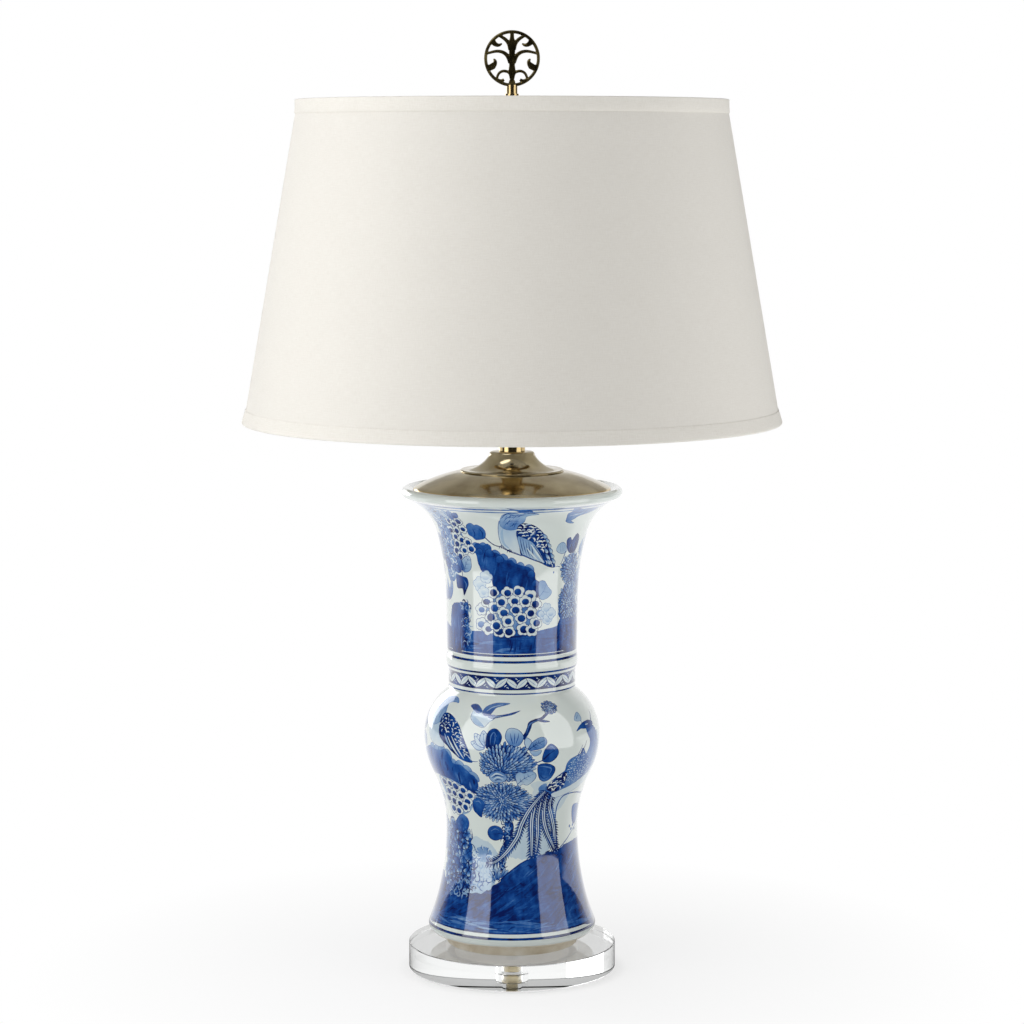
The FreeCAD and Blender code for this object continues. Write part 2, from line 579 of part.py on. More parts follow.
def make_cap():
    """The two tiers of the brass cap, and the tube and ring on them."""
    radius, height, sheet = size("cap_radius"), size("cap_height"), size("cap_sheet")
    hole, flat = size("pipe_hole_radius"), size("cap_flat_radius")
    edge, crown = size("cap_edge"), size("cap_crown")
    half_way = (radius + flat) * HALF
    lid = Outline(radius - sheet, 0)
    lid.line_to(radius, 0).line_to(radius, edge)
    lid.line_to(radius - sheet, edge + sheet)
    lid.arc_over((half_way, crown), (flat, height))
    lid.line_to(hole, height).line_to(hole, height - sheet).line_to(flat, height - sheet)
    lid.arc_over((half_way, crown - sheet), (radius - 2 * sheet, edge))
    lid.line_to(radius - sheet, 0)
    shaped("vase_cap", turn_outline(lid.edges), "ledge_level")

    radius, height, sheet = size("collar_radius"), size("collar_height"), size("collar_sheet")
    edge, rounding, top = size("collar_edge"), size("collar_round"), size("collar_top_radius")
    waist = (size("collar_waist_radius"), size("collar_waist_height"))
    corner = rounding * (1 - math.sqrt(HALF))
    bell = Outline(radius - sheet, 0)
    bell.line_to(radius, 0).line_to(radius, edge)
    bell.line_to(radius - sheet, edge + sheet * HALF)
    bell.arc_over(waist, (top, height - rounding))
    bell.arc_over((top - corner, height - corner), (top - rounding, height))
    bell.line_to(hole, height).line_to(hole, height - sheet).line_to(top - rounding, height - sheet)
    bell.line_to(top - sheet, height - rounding - sheet)
    bell.arc_over((waist[0] - sheet, waist[1] - sheet), (radius - 2 * sheet, edge - sheet * HALF))
    bell.line_to(radius - sheet, 0)
    shaped("cap_collar", turn_outline(bell.edges), "collar_level")

    keep(cut("neck_tube", cylinder("neck_bar", "neck_tube_radius", "neck_tube_length", "neck_level"),
             cylinder("neck_bore", "neck_tube_radius - neck_tube_wall", "neck_tube_length", "neck_level")),
         "neck_tube")
    keep(cut("neck_ring", cylinder("neck_ring_disc", "neck_ring_radius", "neck_ring_thickness", "ring_level"),
             cylinder("neck_ring_hole", "pipe_hole_radius", "neck_ring_thickness", "ring_level")), "neck_ring")


def make_saddle():
    """The strip under the socket, with an upright lug at each end for the harp, and its nut."""
    outer = "harp_wire_radius + lug_fit + lug_wall"
    parts = [box("saddle_strip", "harp_leg_spread * 2", "saddle_width", "saddle_thickness", "saddle_level",
                 "-harp_leg_spread", "-saddle_width / 2")]
    for side, name in ((1, "right"), (-1, "left")):
        spread = f"{side} * harp_leg_spread"
        parts.append(cylinder(f"lug_floor_{name}", "saddle_width / 2", "saddle_thickness", "saddle_level", spread))
        trough = cylinder(f"lug_bar_{name}", outer, "lug_height", "harp_foot", spread)
        trough.Angle = 220
        facing = -110 if side > 0 else 70
        turn(trough, Z_AXIS, facing)
        place(trough, "harp_foot", spread)
        wire_room = cylinder(f"lug_bore_{name}", "harp_wire_radius + lug_fit", "lug_height", "harp_foot", spread)
        parts.append(cut(f"lug_{name}", trough, wire_room))
    keep(cut("harp_saddle", fuse("saddle_blank", parts),
             cylinder("saddle_hole", "pipe_hole_radius", "saddle_thickness", "saddle_level")), "harp_saddle")
    keep(hexagon_nut("saddle_nut", "saddle_nut_height", "harp_foot"), "saddle_nut")


def harp_path():
    """The right half of the harp wire's middle line, from its foot to the crown."""
    spread, wide = size("harp_leg_spread"), size("harp_half_width")
    foot = size("harp_foot")
    leg_top = foot + size("harp_leg_length")
    wide_level = foot + size("harp_wide_height")
    crown = size("harp_top - harp_stud_seat_height")
    bend = size("harp_crown_radius")
    rise = crown - bend - wide_level
    side_radius = (wide * wide + rise * rise - bend * bend) / (2 * (wide - bend))
    centre = FreeCAD.Vector(wide - side_radius, 0, wide_level)
    towards = (FreeCAD.Vector(0, 0, crown - bend) - centre).normalize()
    joint = centre + towards * side_radius
    pen = Outline(spread, foot)
    pen.line_to(spread, leg_top)
    pen.arc_to((spread + wide) * HALF, (leg_top + wide_level) * HALF)
    pen.arc_to(wide, wide_level)
    pen.arc_to(joint.x, joint.z)
    pen.arc_to(0, crown)
    return pen.edges


def make_harp():
    """The harp wire with its threaded stud, and the sleeve on each leg."""
    right = harp_path()
    left = [edge.mirror(CENTRE, X_AXIS) for edge in right]
    path = Part.Wire(Part.__sortEdges__(right + left))
    start = path.OrderedVertexes[0].Point
    section = Part.Wire(Part.makeCircle(size("harp_wire_radius"), start, Z_AXIS))
    wire = path.makePipeShell([section], True, False)
    shaped("harp_wire", wire)
    seat = size("harp_stud_seat_radius")
    crown = size("harp_top - harp_stud_seat_height")
    stud = Part.makeCylinder(seat, size("harp_stud_seat_height"), FreeCAD.Vector(0, 0, crown))
    stud = stud.fuse(Part.makeCylinder(size("harp_stud_radius"), size("harp_stud_length"),
                                       FreeCAD.Vector(0, 0, size("harp_top"))))
    shaped("harp_stud", stud.removeSplitter().cut(wire))
    lug = "harp_wire_radius + lug_fit + lug_wall + sleeve_fit"
    wire_hole = "harp_wire_radius + sleeve_fit"
    top = "lug_height + sleeve_fit + sleeve_lip"
    for side, name in ((1, "harp_sleeve_right"), (-1, "harp_sleeve_left")):
        keep(turned(name, [
            (lug, "0"), (f"{lug} + sleeve_wall", "0"), (f"{lug} + sleeve_wall", top), (wire_hole, top),
            (wire_hole, "lug_height + sleeve_fit"), (lug, "lug_height + sleeve_fit"),
        ], "harp_foot", f"{side} * harp_leg_spread"), name)


def make_socket():
    """The socket's cap, shell, liner, moulded core, screw shell, contact and screws, and its turn switch."""
    sheet = "socket_sheet"
    cap = turned("socket_cap_shell", [
        ("pipe_hole_radius", "0"), ("hub_radius", "0"), ("hub_radius", f"hub_height - {sheet} * 2"),
        ("socket_cap_radius", "socket_cap_shoulder"), ("socket_cap_radius", "socket_cap_height"),
        (f"socket_cap_radius - {sheet}", "socket_cap_height"),
        (f"socket_cap_radius - {sheet}", f"socket_cap_shoulder + {sheet}"),
        (f"hub_radius - {sheet}", "hub_height"), ("pipe_hole_radius", "hub_height"),
    ], "socket_level")
    screw_level = "socket_level + (hub_height - socket_sheet * 2) / 2"
    screw_hole = turn(cylinder("set_screw_hole", "set_screw_radius", "hub_radius"), Y_AXIS, QUARTER_TURN)
    place(screw_hole, screw_level)
    keep(cut("socket_cap", cap, screw_hole), "socket_cap")
    screw = turn(cylinder("set_screw_bar", "set_screw_radius - thread_clearance",
                          "hub_radius + set_screw_head - pipe_hole_radius"), Y_AXIS, QUARTER_TURN)
    place(screw, screw_level, "pipe_hole_radius")
    keep(screw, "socket_set_screw")

    def side_hole(name, room):
        """A bar from the axis to the front that opens the way for the switch shaft."""
        bar = turn(cylinder(name, f"switch_shaft_radius + {room}", "knob_distance"), X_AXIS, QUARTER_TURN)
        return place(bar, "socket_level + switch_height")

    height = "socket_height - socket_start"
    shell = turned("shell_tube", [
        (f"shell_radius - {sheet}", "0"), ("shell_radius", "0"), ("shell_radius", height),
        (f"shell_radius - {sheet}", height),
    ], "core_level")
    keep(cut("socket_shell", shell, side_hole("shell_side_hole", "switch_hole_gap")), "socket_shell")
    liner = turned("liner_tube", [
        ("liner_radius - liner_thickness", "0"), ("liner_radius", "0"), ("liner_radius", f"{height} - {sheet}"),
        ("liner_radius - liner_thickness", f"{height} - {sheet}"),
    ], "core_level")
    keep(cut("socket_liner", liner, side_hole("liner_side_hole", "switch_hole_gap")), "socket_liner")
    recess_level = "core_level + (core_height - core_recess_height) / 2"
    core = cylinder("core_bar", "core_radius", "core_height", "core_level")
    room = [
        box(f"core_recess_{name}", "core_recess_depth", "core_radius * 2", "core_recess_height", recess_level,
            x, "-core_radius")
        for name, x in (("right", "core_radius - core_recess_depth"), ("left", "-core_radius"))
    ]
    shaft_room = turn(cylinder("core_shaft_hole", "switch_shaft_radius + switch_running_fit",
                               "knob_distance"), X_AXIS, QUARTER_TURN)
    place(shaft_room, "socket_level + switch_height", "0", "-switch_shaft_depth + switch_running_fit")
    keep(cut("socket_core", core, fuse("core_room", room + [shaft_room])), "socket_core")
    wall = "bulb_base_sheet"
    keep(turned("socket_screw_shell", [
        (f"screw_shell_radius - {wall}", "0"), ("screw_shell_radius", "0"),
        ("screw_shell_radius", "socket_height - socket_start - core_height - socket_sheet"),
        (f"screw_shell_radius - {wall}", "socket_height - socket_start - core_height - socket_sheet"),
    ], "core_top"), "socket_screw_shell")
    keep(cylinder("socket_contact", "contact_radius", "contact_thickness", "core_top"), "socket_contact")
    heads = []
    for name, side in (("right", 1), ("left", -1)):
        head = turn(cylinder(f"terminal_{name}", "terminal_screw_radius", "terminal_screw_height"), Y_AXIS,
                    side * QUARTER_TURN)
        heads.append(place(head, "core_level + core_height / 2", f"{side} * (core_radius - core_recess_depth)"))
    keep(group("terminal_screws", heads), "terminal_screws")
    shaft = turn(cylinder("switch_shaft", "switch_shaft_radius",
                          "knob_distance + knob_length - knob_cap - switch_shaft_depth"), X_AXIS, QUARTER_TURN)
    keep(place(shaft, "socket_level + switch_height", "0", "-switch_shaft_depth"), "switch_shaft")
    knob = turn(turned("switch_knob", [
        ("switch_shaft_radius + thread_clearance", "0"), ("knob_radius - knob_bevel", "0"),
        ("knob_radius", "knob_bevel"), ("knob_radius", "knob_length - knob_bevel"),
        ("knob_radius - knob_bevel", "knob_length"), ("0", "knob_length"),
        ("0", "knob_length - knob_cap"), ("switch_shaft_radius + thread_clearance", "knob_length - knob_cap"),
    ]), X_AXIS, QUARTER_TURN)
    keep(place(knob, "socket_level + switch_height", "0", "-knob_distance"), "switch_knob")


def bulb_side(wall):
    """The bulb's glass from neck to top, drawn a wall's thickness inside its outer face."""
    neck = size("bulb_base_radius - bulb_base_sheet - bulb_neck_fit") - wall
    base_top = size("bulb_tip_height + bulb_insulator_height + bulb_base_height")
    top = size("bulb_length") - wall
    wide = size("bulb_radius") - wall
    pen = Outline(neck, base_top - size("bulb_neck_grip"))
    pen.line_to(neck, base_top)
    pen.arc_to((neck + wide) * HALF, (base_top + top - wide) * HALF)
    pen.arc_to(wide, top - wide)
    pen.arc_to(0, top)
    return pen


def make_bulb():
    """The bulb: contact tip, insulator, screw base, glass, stem and filament."""
    keep(cylinder("bulb_tip", "bulb_tip_radius", "bulb_tip_height", "bulb_level"), "bulb_tip")
    insulator = doc.addObject("Part::Cone", "bulb_insulator")
    bind(insulator, Radius1="bulb_tip_radius", Radius2="bulb_insulator_radius", Height="bulb_insulator_height")
    keep(place(insulator, "bulb_level + bulb_tip_height"), "bulb_insulator")
    keep(turned("bulb_base", [
        ("0", "0"), ("bulb_insulator_radius", "0"), ("bulb_base_radius", "bulb_base_taper"),
        ("bulb_base_radius", "bulb_base_height"), ("bulb_base_radius - bulb_base_sheet", "bulb_base_height"),
        ("bulb_base_radius - bulb_base_sheet", "bulb_base_taper + bulb_base_sheet"),
        ("bulb_insulator_radius", "bulb_base_sheet"), ("0", "bulb_base_sheet"),
    ], "bulb_level + bulb_tip_height + bulb_insulator_height"), "bulb_base")
    wall = size("bulb_glass_wall")
    outer, inner = bulb_side(0), bulb_side(wall)
    ends = [
        Part.LineSegment(outer.edges[0].valueAt(outer.edges[0].FirstParameter),
                         inner.edges[0].valueAt(inner.edges[0].FirstParameter)).toShape(),
        Part.LineSegment(outer.point, inner.point).toShape(),
    ]
    shaped("bulb_glass", turn_outline(outer.edges + inner.edges + ends), "bulb_level")
    neck = "bulb_base_radius - bulb_base_sheet - bulb_neck_fit - bulb_glass_wall - bulb_neck_fit"
    stem_level = "bulb_level + bulb_tip_height + bulb_insulator_height + bulb_base_height - bulb_neck_grip"
    keep(turned("bulb_stem", [
        ("0", "0"), (neck, "0"), (neck, "bulb_stem_flange"), ("bulb_stem_radius", "bulb_stem_flare"),
        ("bulb_stem_radius", "bulb_stem_length"), ("0", "bulb_stem_length"),
    ], stem_level), "bulb_stem")
    rise, spread = "filament_rise", "filament_spread - bulb_stem_radius / 2"
    slant = f"atan(({spread}) / {rise})"
    support_level = f"{stem_level} + bulb_stem_length + filament_wire_radius"
    wires = []
    for name, side in (("right", 1), ("left", -1)):
        support = cylinder(f"support_{name}", "filament_wire_radius", f"sqrt({rise} ^ 2 + ({spread}) ^ 2)")
        turn(support, Y_AXIS * side, 1)
        support.setExpression(".Placement.Rotation.Angle", full(slant))
        wires.append(place(support, support_level, f"{side} * bulb_stem_radius / 2"))
    coil = turn(cylinder("filament_coil", "filament_wire_radius * 2", "filament_spread * 2"), Y_AXIS, QUARTER_TURN)
    wires.append(place(coil, f"{support_level} + {rise}", "-filament_spread"))
    keep(fuse("bulb_filament", wires), "bulb_filament")


def cone_shell(name, outside, thickness):
    """A sloping shell of the shade, its outer face a distance inside the cloth's outer face."""
    keep(turned(name, [
        (f"shade_bottom_radius - {outside}", "0"), (f"shade_top_radius - {outside}", "shade_height"),
        (f"shade_top_radius - {outside} - {thickness}", "shade_height"),
        (f"shade_bottom_radius - {outside} - {thickness}", "0"),
    ], "shade_bottom"), name)


def make_shade():
    """The shade: cloth, stiff sheet, wire rings, three arms with their washer, and cloth trims."""
    cone_shell("shade_fabric", "0", "cloth_thickness")
    cone_shell("shade_liner", "cloth_thickness", "liner_sheet")
    keep(ring_of_wire("shade_top_ring", "top_ring_radius", "shade_wire_radius", "arm_level"), "shade_top_ring")
    keep(ring_of_wire("shade_bottom_ring", "bottom_ring_radius", "shade_wire_radius", "bottom_ring_level"),
         "shade_bottom_ring")
    over = "shade_height + trim_thickness"
    inside = "shade_top_radius - shell_thickness"
    keep(turned("shade_top_trim", [
        ("shade_top_radius + shade_slope * trim_height", "shade_height - trim_height"),
        ("shade_top_radius + shade_slope * trim_height + trim_thickness", "shade_height - trim_height"),
        ("shade_top_radius + top_trim_proud", "shade_height - trim_thickness"),
        ("shade_top_radius + top_trim_proud - trim_thickness", over), (f"{inside} - trim_thickness", over),
        (f"{inside} - trim_thickness", "shade_height - top_trim_return"),
        (inside, "shade_height - top_trim_return"),
        (inside, "shade_height"), ("shade_top_radius", "shade_height"),
    ], "shade_bottom"), "shade_top_trim")
    inner = "shade_bottom_radius - shell_thickness"
    tail = f"{inner} - shade_wire_radius * 2 - shade_fit * 2 - shade_slope * trim_return"
    keep(turned("shade_bottom_trim", [
        ("shade_bottom_radius - shade_slope * trim_height", "trim_height"),
        ("shade_bottom_radius", "0"), (tail, "0"), (tail, "trim_return"),
        (f"{tail} - trim_thickness", "trim_return"), (f"{tail} - trim_thickness", "-trim_thickness"),
        ("shade_bottom_radius + bottom_trim_proud - trim_thickness", "-trim_thickness"),
        ("shade_bottom_radius + bottom_trim_proud", "trim_thickness"),
        ("shade_bottom_radius - shade_slope * trim_height + trim_thickness", "trim_height"),
    ], "shade_bottom"), "shade_bottom_trim")
    washer = turned("spider_washer", [
        ("fitter_hole_radius", "0"), ("fitter_radius", "0"), ("fitter_radius", "fitter_thickness"),
        ("fitter_hole_radius", "fitter_thickness"),
    ], "harp_top")
    keep(washer, "spider_washer")
    reach = "top_ring_radius - fitter_radius + shade_wire_radius / 2"
    arms = []
    for index, bearing in enumerate((30, 150, 270)):
        rod = cylinder(f"arm_rod_{index + 1}", "shade_wire_radius", reach)
        heading = FreeCAD.Rotation(Z_AXIS, bearing).multiply(FreeCAD.Rotation(Y_AXIS, QUARTER_TURN))
        rod.Placement = FreeCAD.Placement(CENTRE, heading)
        start = "fitter_radius - shade_wire_radius"
        place(rod, "arm_level", f"({start}) * cos({bearing})", f"({start}) * sin({bearing})")
        ends = group(f"arm_ends_{index + 1}", [
            ring_of_wire(f"arm_ring_{index + 1}", "top_ring_radius", "shade_wire_radius", "arm_level"),
            cylinder(f"arm_washer_{index + 1}", "fitter_radius", "shade_wire_radius * 4",
                     "arm_level - shade_wire_radius * 2"),
        ])
        arms.append(cut(f"arm_{index + 1}", rod, ends))
    keep(group("spider_arms", arms), "spider_arms")


def ribbon(points, start_width, end_width):
    """A flat scroll through points of the medallion's face, its width changing evenly from start to end."""
    middle = Part.BSplineCurve()
    middle.interpolate([FreeCAD.Vector(across, 0, up) for across, up in points])
    first, last = middle.FirstParameter, middle.LastParameter
    steps = 2 * len(points)
    sides = ([], [])
    for step in range(steps + 1):
        share = step / steps
        place_on = first + (last - first) * share
        point, along = middle.value(place_on), middle.tangent(place_on)[0]
        side = Y_AXIS.cross(along).normalize()
        half = HALF * (start_width + (end_width - start_width) * share)
        sides[0].append(point + side * half)
        sides[1].append(point - side * half)
    edges = []
    for row in sides:
        curve = Part.BSplineCurve()
        curve.interpolate(row)
        edges.append(curve.toShape())
    for end in (0, -1):
        edges.append(Part.LineSegment(sides[0][end], sides[1][end]).toShape())
    return Part.Face(Part.Wire(Part.__sortEdges__(edges)))


def make_finial():
    """The finial: a turned, threaded base and a pierced medallion with a scrolled tree."""
    base, neck, flange = "finial_base_height", "finial_neck_height", "finial_flange_height"
    hole = "harp_stud_radius + finial_thread_fit"
    depth = "harp_stud_length + finial_thread_fit - fitter_thickness"
    stem = turned("finial_blank", [
        (hole, "0"), ("finial_base_radius", "0"), ("finial_base_radius", f"{base} - finial_base_bevel"),
        ("finial_neck_radius", base), ("finial_neck_radius", f"{base} + {neck}"),
        ("finial_flange_radius", f"{base} + {neck}"), ("finial_flange_radius", f"{base} + {neck} + {flange}"),
        ("finial_shank_radius", f"{base} + {neck} + {flange}"), ("finial_shank_radius", "finial_height"),
        ("0", "finial_height"), ("0", depth), (hole, depth),
    ], "fitter_level")
    radius, rim = size("medallion_radius"), size("medallion_rim")
    thickness, tree_depth = size("medallion_thickness"), size("medallion_tree_thickness")
    reach = radius - rim * HALF

    def bar(bar_radius, up=0.0):
        """A round bar as deep as the medallion."""
        return Part.makeCylinder(bar_radius, thickness, FreeCAD.Vector(0, -thickness * HALF, up), Y_AXIS)

    ring = bar(radius).cut(bar(radius - rim))
    scrolls = [ribbon([(across * reach, up * reach) for across, up in points], rim * start, rim * end)
               for points, start, end in TREE_SCROLLS]
    faces = scrolls + [scroll.mirror(CENTRE, X_AXIS) for scroll in scrolls[1:]]
    for face in faces:
        face.translate(FreeCAD.Vector(0, -tree_depth * HALF, 0))
    solids = [face.extrude(Y_AXIS * tree_depth) for face in faces]
    knops = [bar(rim * share, up * reach) for share, up in TREE_KNOPS]
    medallion = ring.multiFuse(solids + knops).common(bar(radius)).removeSplitter()
    shaped("finial_medallion", medallion.Solids[0], "medallion_level")
    slot = place(turn(cylinder("finial_slot", "medallion_radius", "medallion_thickness"), X_AXIS, QUARTER_TURN),
                 "medallion_level", "0", "medallion_thickness / 2")
    keep(cut("finial_base", stem, slot), "finial_base")


def check_and_write():
    """Stops on any failed object, then writes every piece to its own file."""
    doc.recompute()
    for item in doc.Objects:
        if {"Invalid", "Error"} & set(item.State):
            raise RuntimeError(f"{item.Label} failed: {item.State}")
    os.makedirs("parts", exist_ok=True)
    for piece in pieces:
        shape = piece.Shape
        if shape.isNull() or not shape.isValid() or shape.Volume <= 0:
            raise RuntimeError(f"{piece.Label} has no valid shape")
        shape.exportStep(f"parts/{piece.Label}.step")
        bounds = shape.BoundBox
        print(f"{piece.Label}: {len(shape.Solids)} solid, {shape.Volume:.1f} mm3,"
              f" z {bounds.ZMin:.2f} to {bounds.ZMax:.2f}")
    print(len(pieces), "pieces")


make_base()
make_vase()
make_cap()
make_saddle()
make_harp()
make_socket()
make_bulb()
make_shade()
make_finial()
check_and_write()
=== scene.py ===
"""The visible model of a porcelain table lamp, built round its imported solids.

Sizes are in millimetres up to the point where a mesh is made; the scene is in metres. The lamp stands on
z = 0 with its axis on Z, and its front, which the camera sees, faces -Y.
"""

import logging
import math
import random
from collections.abc import Sequence
from dataclasses import dataclass, field
from enum import Enum

import bpy
import numpy as np
from mathutils import Matrix, Vector
from mathutils.geometry import delaunay_2d_cdt


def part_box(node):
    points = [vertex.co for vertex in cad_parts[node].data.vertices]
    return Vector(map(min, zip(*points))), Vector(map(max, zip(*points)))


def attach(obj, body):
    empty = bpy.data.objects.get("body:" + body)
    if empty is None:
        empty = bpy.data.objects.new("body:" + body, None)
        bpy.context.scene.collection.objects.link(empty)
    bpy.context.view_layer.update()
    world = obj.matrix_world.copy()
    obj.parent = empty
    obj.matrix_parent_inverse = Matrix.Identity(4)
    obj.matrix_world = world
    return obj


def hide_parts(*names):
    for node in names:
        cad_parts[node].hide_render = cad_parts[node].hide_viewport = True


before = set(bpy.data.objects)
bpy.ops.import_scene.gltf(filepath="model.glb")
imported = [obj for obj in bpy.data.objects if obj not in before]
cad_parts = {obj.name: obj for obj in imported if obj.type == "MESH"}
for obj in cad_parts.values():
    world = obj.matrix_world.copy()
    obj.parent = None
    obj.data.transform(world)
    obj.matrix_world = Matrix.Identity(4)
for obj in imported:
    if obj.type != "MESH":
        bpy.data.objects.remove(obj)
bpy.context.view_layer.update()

LOG = logging.getLogger("lamp")

MM = 0.001
TURN = math.tau
Point = tuple[float, float]
Colour = tuple[float, float, float, float]


class Body(Enum):
    """The moving bodies of the lamp."""

    LAMP = "lamp_body"
    SWITCH = "switch"
    HARP = "harp"
    BULB = "bulb"
    SHADE = "shade"
    FINIAL = "finial"


def paint(code: str, alpha: float = 1.0) -> Colour:
    """Turns a written colour into the light values of a socket.

    Args:
        code: The colour as six hexadecimal digits.
        alpha: Its opacity.

    Returns:
        Red, green, blue and opacity.
    """
    parts = [int(code[start : start + 2], 16) / 255 for start in (0, 2, 4)]
    light = [part / 12.92 if part <= 0.04045 else ((part + 0.055) / 1.055) ** 2.4 for part in parts]
    return (light[0], light[1], light[2], alpha)


# ---- shader maths


class Sock:
    """The output of a node, on which arithmetic adds Math nodes."""

    def __init__(self, shader: "Shader", socket: bpy.types.NodeSocket) -> None:
        """Wraps a socket of a shader's tree."""
        self.shader = shader
        self.socket = socket

    def __add__(self, other: "Sock | float") -> "Sock":
        """Sum."""
        return self.shader.maths("ADD", self, other)

    def __radd__(self, other: float) -> "Sock":
        """Sum, with a number on the left."""
        return self.shader.maths("ADD", other, self)

    def __sub__(self, other: "Sock | float") -> "Sock":
        """Difference."""
        return self.shader.maths("SUBTRACT", self, other)

    def __rsub__(self, other: float) -> "Sock":
        """Difference, with a number on the left."""
        return self.shader.maths("SUBTRACT", other, self)

    def __mul__(self, other: "Sock | float") -> "Sock":
        """Product."""
        return self.shader.maths("MULTIPLY", self, other)

    def __rmul__(self, other: float) -> "Sock":
        """Product, with a number on the left."""
        return self.shader.maths("MULTIPLY", other, self)

    def __pow__(self, other: "Sock | float") -> "Sock":
        """Power."""
        return self.shader.maths("POWER", self, other)

    def sine(self) -> "Sock":
        """Sine."""
        return self.shader.maths("SINE", self)

    def clipped(self) -> "Sock":
        """This value kept between nought and one."""
        return self.shader.node("Clamp", values={"Value": self})


class Shader:
    """The node tree of one material."""

    def __init__(self, name: str) -> None:
        """Starts a material with a Principled shader on its output."""
        self.material = bpy.data.materials.new(name)
        self.material.use_nodes = True
        self.tree = self.material.node_tree
        self.tree.nodes.clear()
        self.surface = self.tree.nodes.new("ShaderNodeBsdfPrincipled")
        output = self.tree.nodes.new("ShaderNodeOutputMaterial")
        self.tree.links.new(self.surface.outputs[0], output.inputs["Surface"])

    @classmethod
    def of_world(cls, tree: bpy.types.NodeTree) -> "Shader":
        """A shader that works on a world's tree."""
        made = cls.__new__(cls)
        made.tree = tree
        return made

    def node(
        self,
        kind: str,
        settings: dict[str, object] | None = None,
        values: dict[str | int, object] | None = None,
        output: int | str = 0,
    ) -> Sock:
        """Adds a node.

        Args:
            kind: The node's type, without its ShaderNode prefix.
            settings: Its settings; "stops" are a ramp's places and colours.
            values: The numbers, colours or links of its inputs.
            output: The output that is wanted.

        Returns:
            That output.
        """
        made = self.tree.nodes.new("ShaderNode" + kind)
        for name, setting in (settings or {}).items():
            if name == "stops":
                ramp = made.color_ramp
                while len(ramp.elements) < len(setting):
                    ramp.elements.new(0.5)
                for element, (place, colour) in zip(ramp.elements, setting):
                    element.position, element.color = place, colour
            else:
                setattr(made, name, setting)
        for name, value in (values or {}).items():
            self.feed(made.inputs[name], value)
        return Sock(self, made.outputs[output])

    def feed(self, socket: bpy.types.NodeSocket, value: object) -> None:
        """Links a socket to an output, or sets its value."""
        if isinstance(value, Sock):
            self.tree.links.new(value.socket, socket)
        else:
            socket.default_value = value

    def maths(self, operation: str, *parts: "Sock | float") -> Sock:
        """Adds a Math node for one to three parts."""
        return self.node("Math", {"operation": operation}, dict(enumerate(parts)))

    def mix(self, share: "Sock | float", first: "Sock | Colour", second: "Sock | Colour") -> Sock:
        """Blends two colours."""
        return self.node("Mix", {"data_type": "RGBA"}, {0: share, 6: first, 7: second}, 2)

    def ramp(self, share: Sock, *stops: tuple[float, Colour]) -> Sock:
        """Looks a value up on a colour ramp."""
        return self.node("ValToRGB", {"stops": stops}, {0: share})

    def place(self, scale: Sequence[float] = (1.0, 1.0, 1.0)) -> Sock:
        """Object coordinates, scaled."""
        where = self.node("TexCoord", output="Object")
        return self.node("Mapping", values={"Vector": where, "Scale": scale})

    def chart(self, scale: Sequence[float] = (1.0, 1.0, 1.0)) -> Sock:
        """The piece's own UV map, scaled."""
        where = self.node("UVMap", {"uv_map": "cloth"})
        return self.node("Mapping", values={"Vector": where, "Scale": scale})

    def noise(self, where: Sock, scale: float, detail: float = 3.0) -> Sock:
        """Soft noise between nought and one."""
        return self.node("TexNoise", values={"Vector": where, "Scale": scale, "Detail": detail})

    def bump(self, height: Sock, distance: float, strength: float = 1.0) -> Sock:
        """The normal of a surface with this relief, its distance in metres."""
        return self.node(
            "Bump", values={"Height": height, "Distance": distance, "Strength": strength}, output="Normal"
        )

    def set(self, **values: object) -> None:
        """Sets or links inputs of the Principled shader; underscores stand for spaces."""
        for name, value in values.items():
            self.feed(self.surface.inputs[name.replace("_", " ")], value)


# ---- finishes


@dataclass(frozen=True)
class Finish:
    """A surface finish, made as a material on first use."""

    name: str
    slot: str

    def dress(self, shader: Shader) -> None:
        """Adds this finish's nodes to a shader."""
        raise NotImplementedError

    def material(self) -> bpy.types.Material:
        """The material of this finish."""
        known = bpy.data.materials.get(self.name)
        if known is None:
            shader = Shader(self.name)
            self.dress(shader)
            known = shader.material
        return known


@dataclass(frozen=True)
class Porcelain(Finish):
    """Clear glaze over cobalt painting; the share of ink is painted on the mesh."""

    white: str = "DFE5E1"
    inks: tuple[tuple[float, str], ...] = (
        (0.0, "E4EAE7"),
        (0.12, "BFD1E0"),
        (0.28, "92B1D3"),
        (0.45, "5A84BE"),
        (0.62, "265DA8"),
        (0.8, "093F8C"),
        (1.0, "04195A"),
    )

    def dress(self, shader: Shader) -> None:
        """Mottles the ink as a brush does, and lays the glaze over it."""
        ink = shader.node("Attribute", {"attribute_name": "ink"}, output="Fac")
        where = shader.place()
        cloud = shader.noise(where, 60.0, 4.0)
        pool = shader.noise(shader.place((1.0, 1.0, 0.45)), 190.0, 3.0)
        grain = shader.noise(shader.place((1.0, 1.0, 3.0)), 460.0, 2.0)
        brushed = (ink * (0.16 + cloud * 0.76 + pool * 0.7 + grain * 0.22)).clipped()
        colour = shader.ramp(brushed, *[(place, paint(code)) for place, code in self.inks])
        tint = shader.noise(where, 11.0, 2.0)
        warm = shader.mix(tint, paint("F1F6F3"), paint("FFFFFF"))
        colour = shader.node("Mix", {"data_type": "RGBA", "blend_type": "MULTIPLY"}, {0: 1.0, 6: colour, 7: warm}, 2)
        ripple = shader.noise(shader.place((1.0, 1.0, 1.6)), 58.0, 1.0)
        shader.set(
            Base_Color=colour,
            Roughness=0.045 + shader.noise(where, 30.0) * 0.05,
            IOR=1.55,
            Coat_Weight=1.0,
            Coat_IOR=1.5,
            Coat_Roughness=0.02,
            Normal=shader.bump(ripple, 0.00022, 0.9),
        )


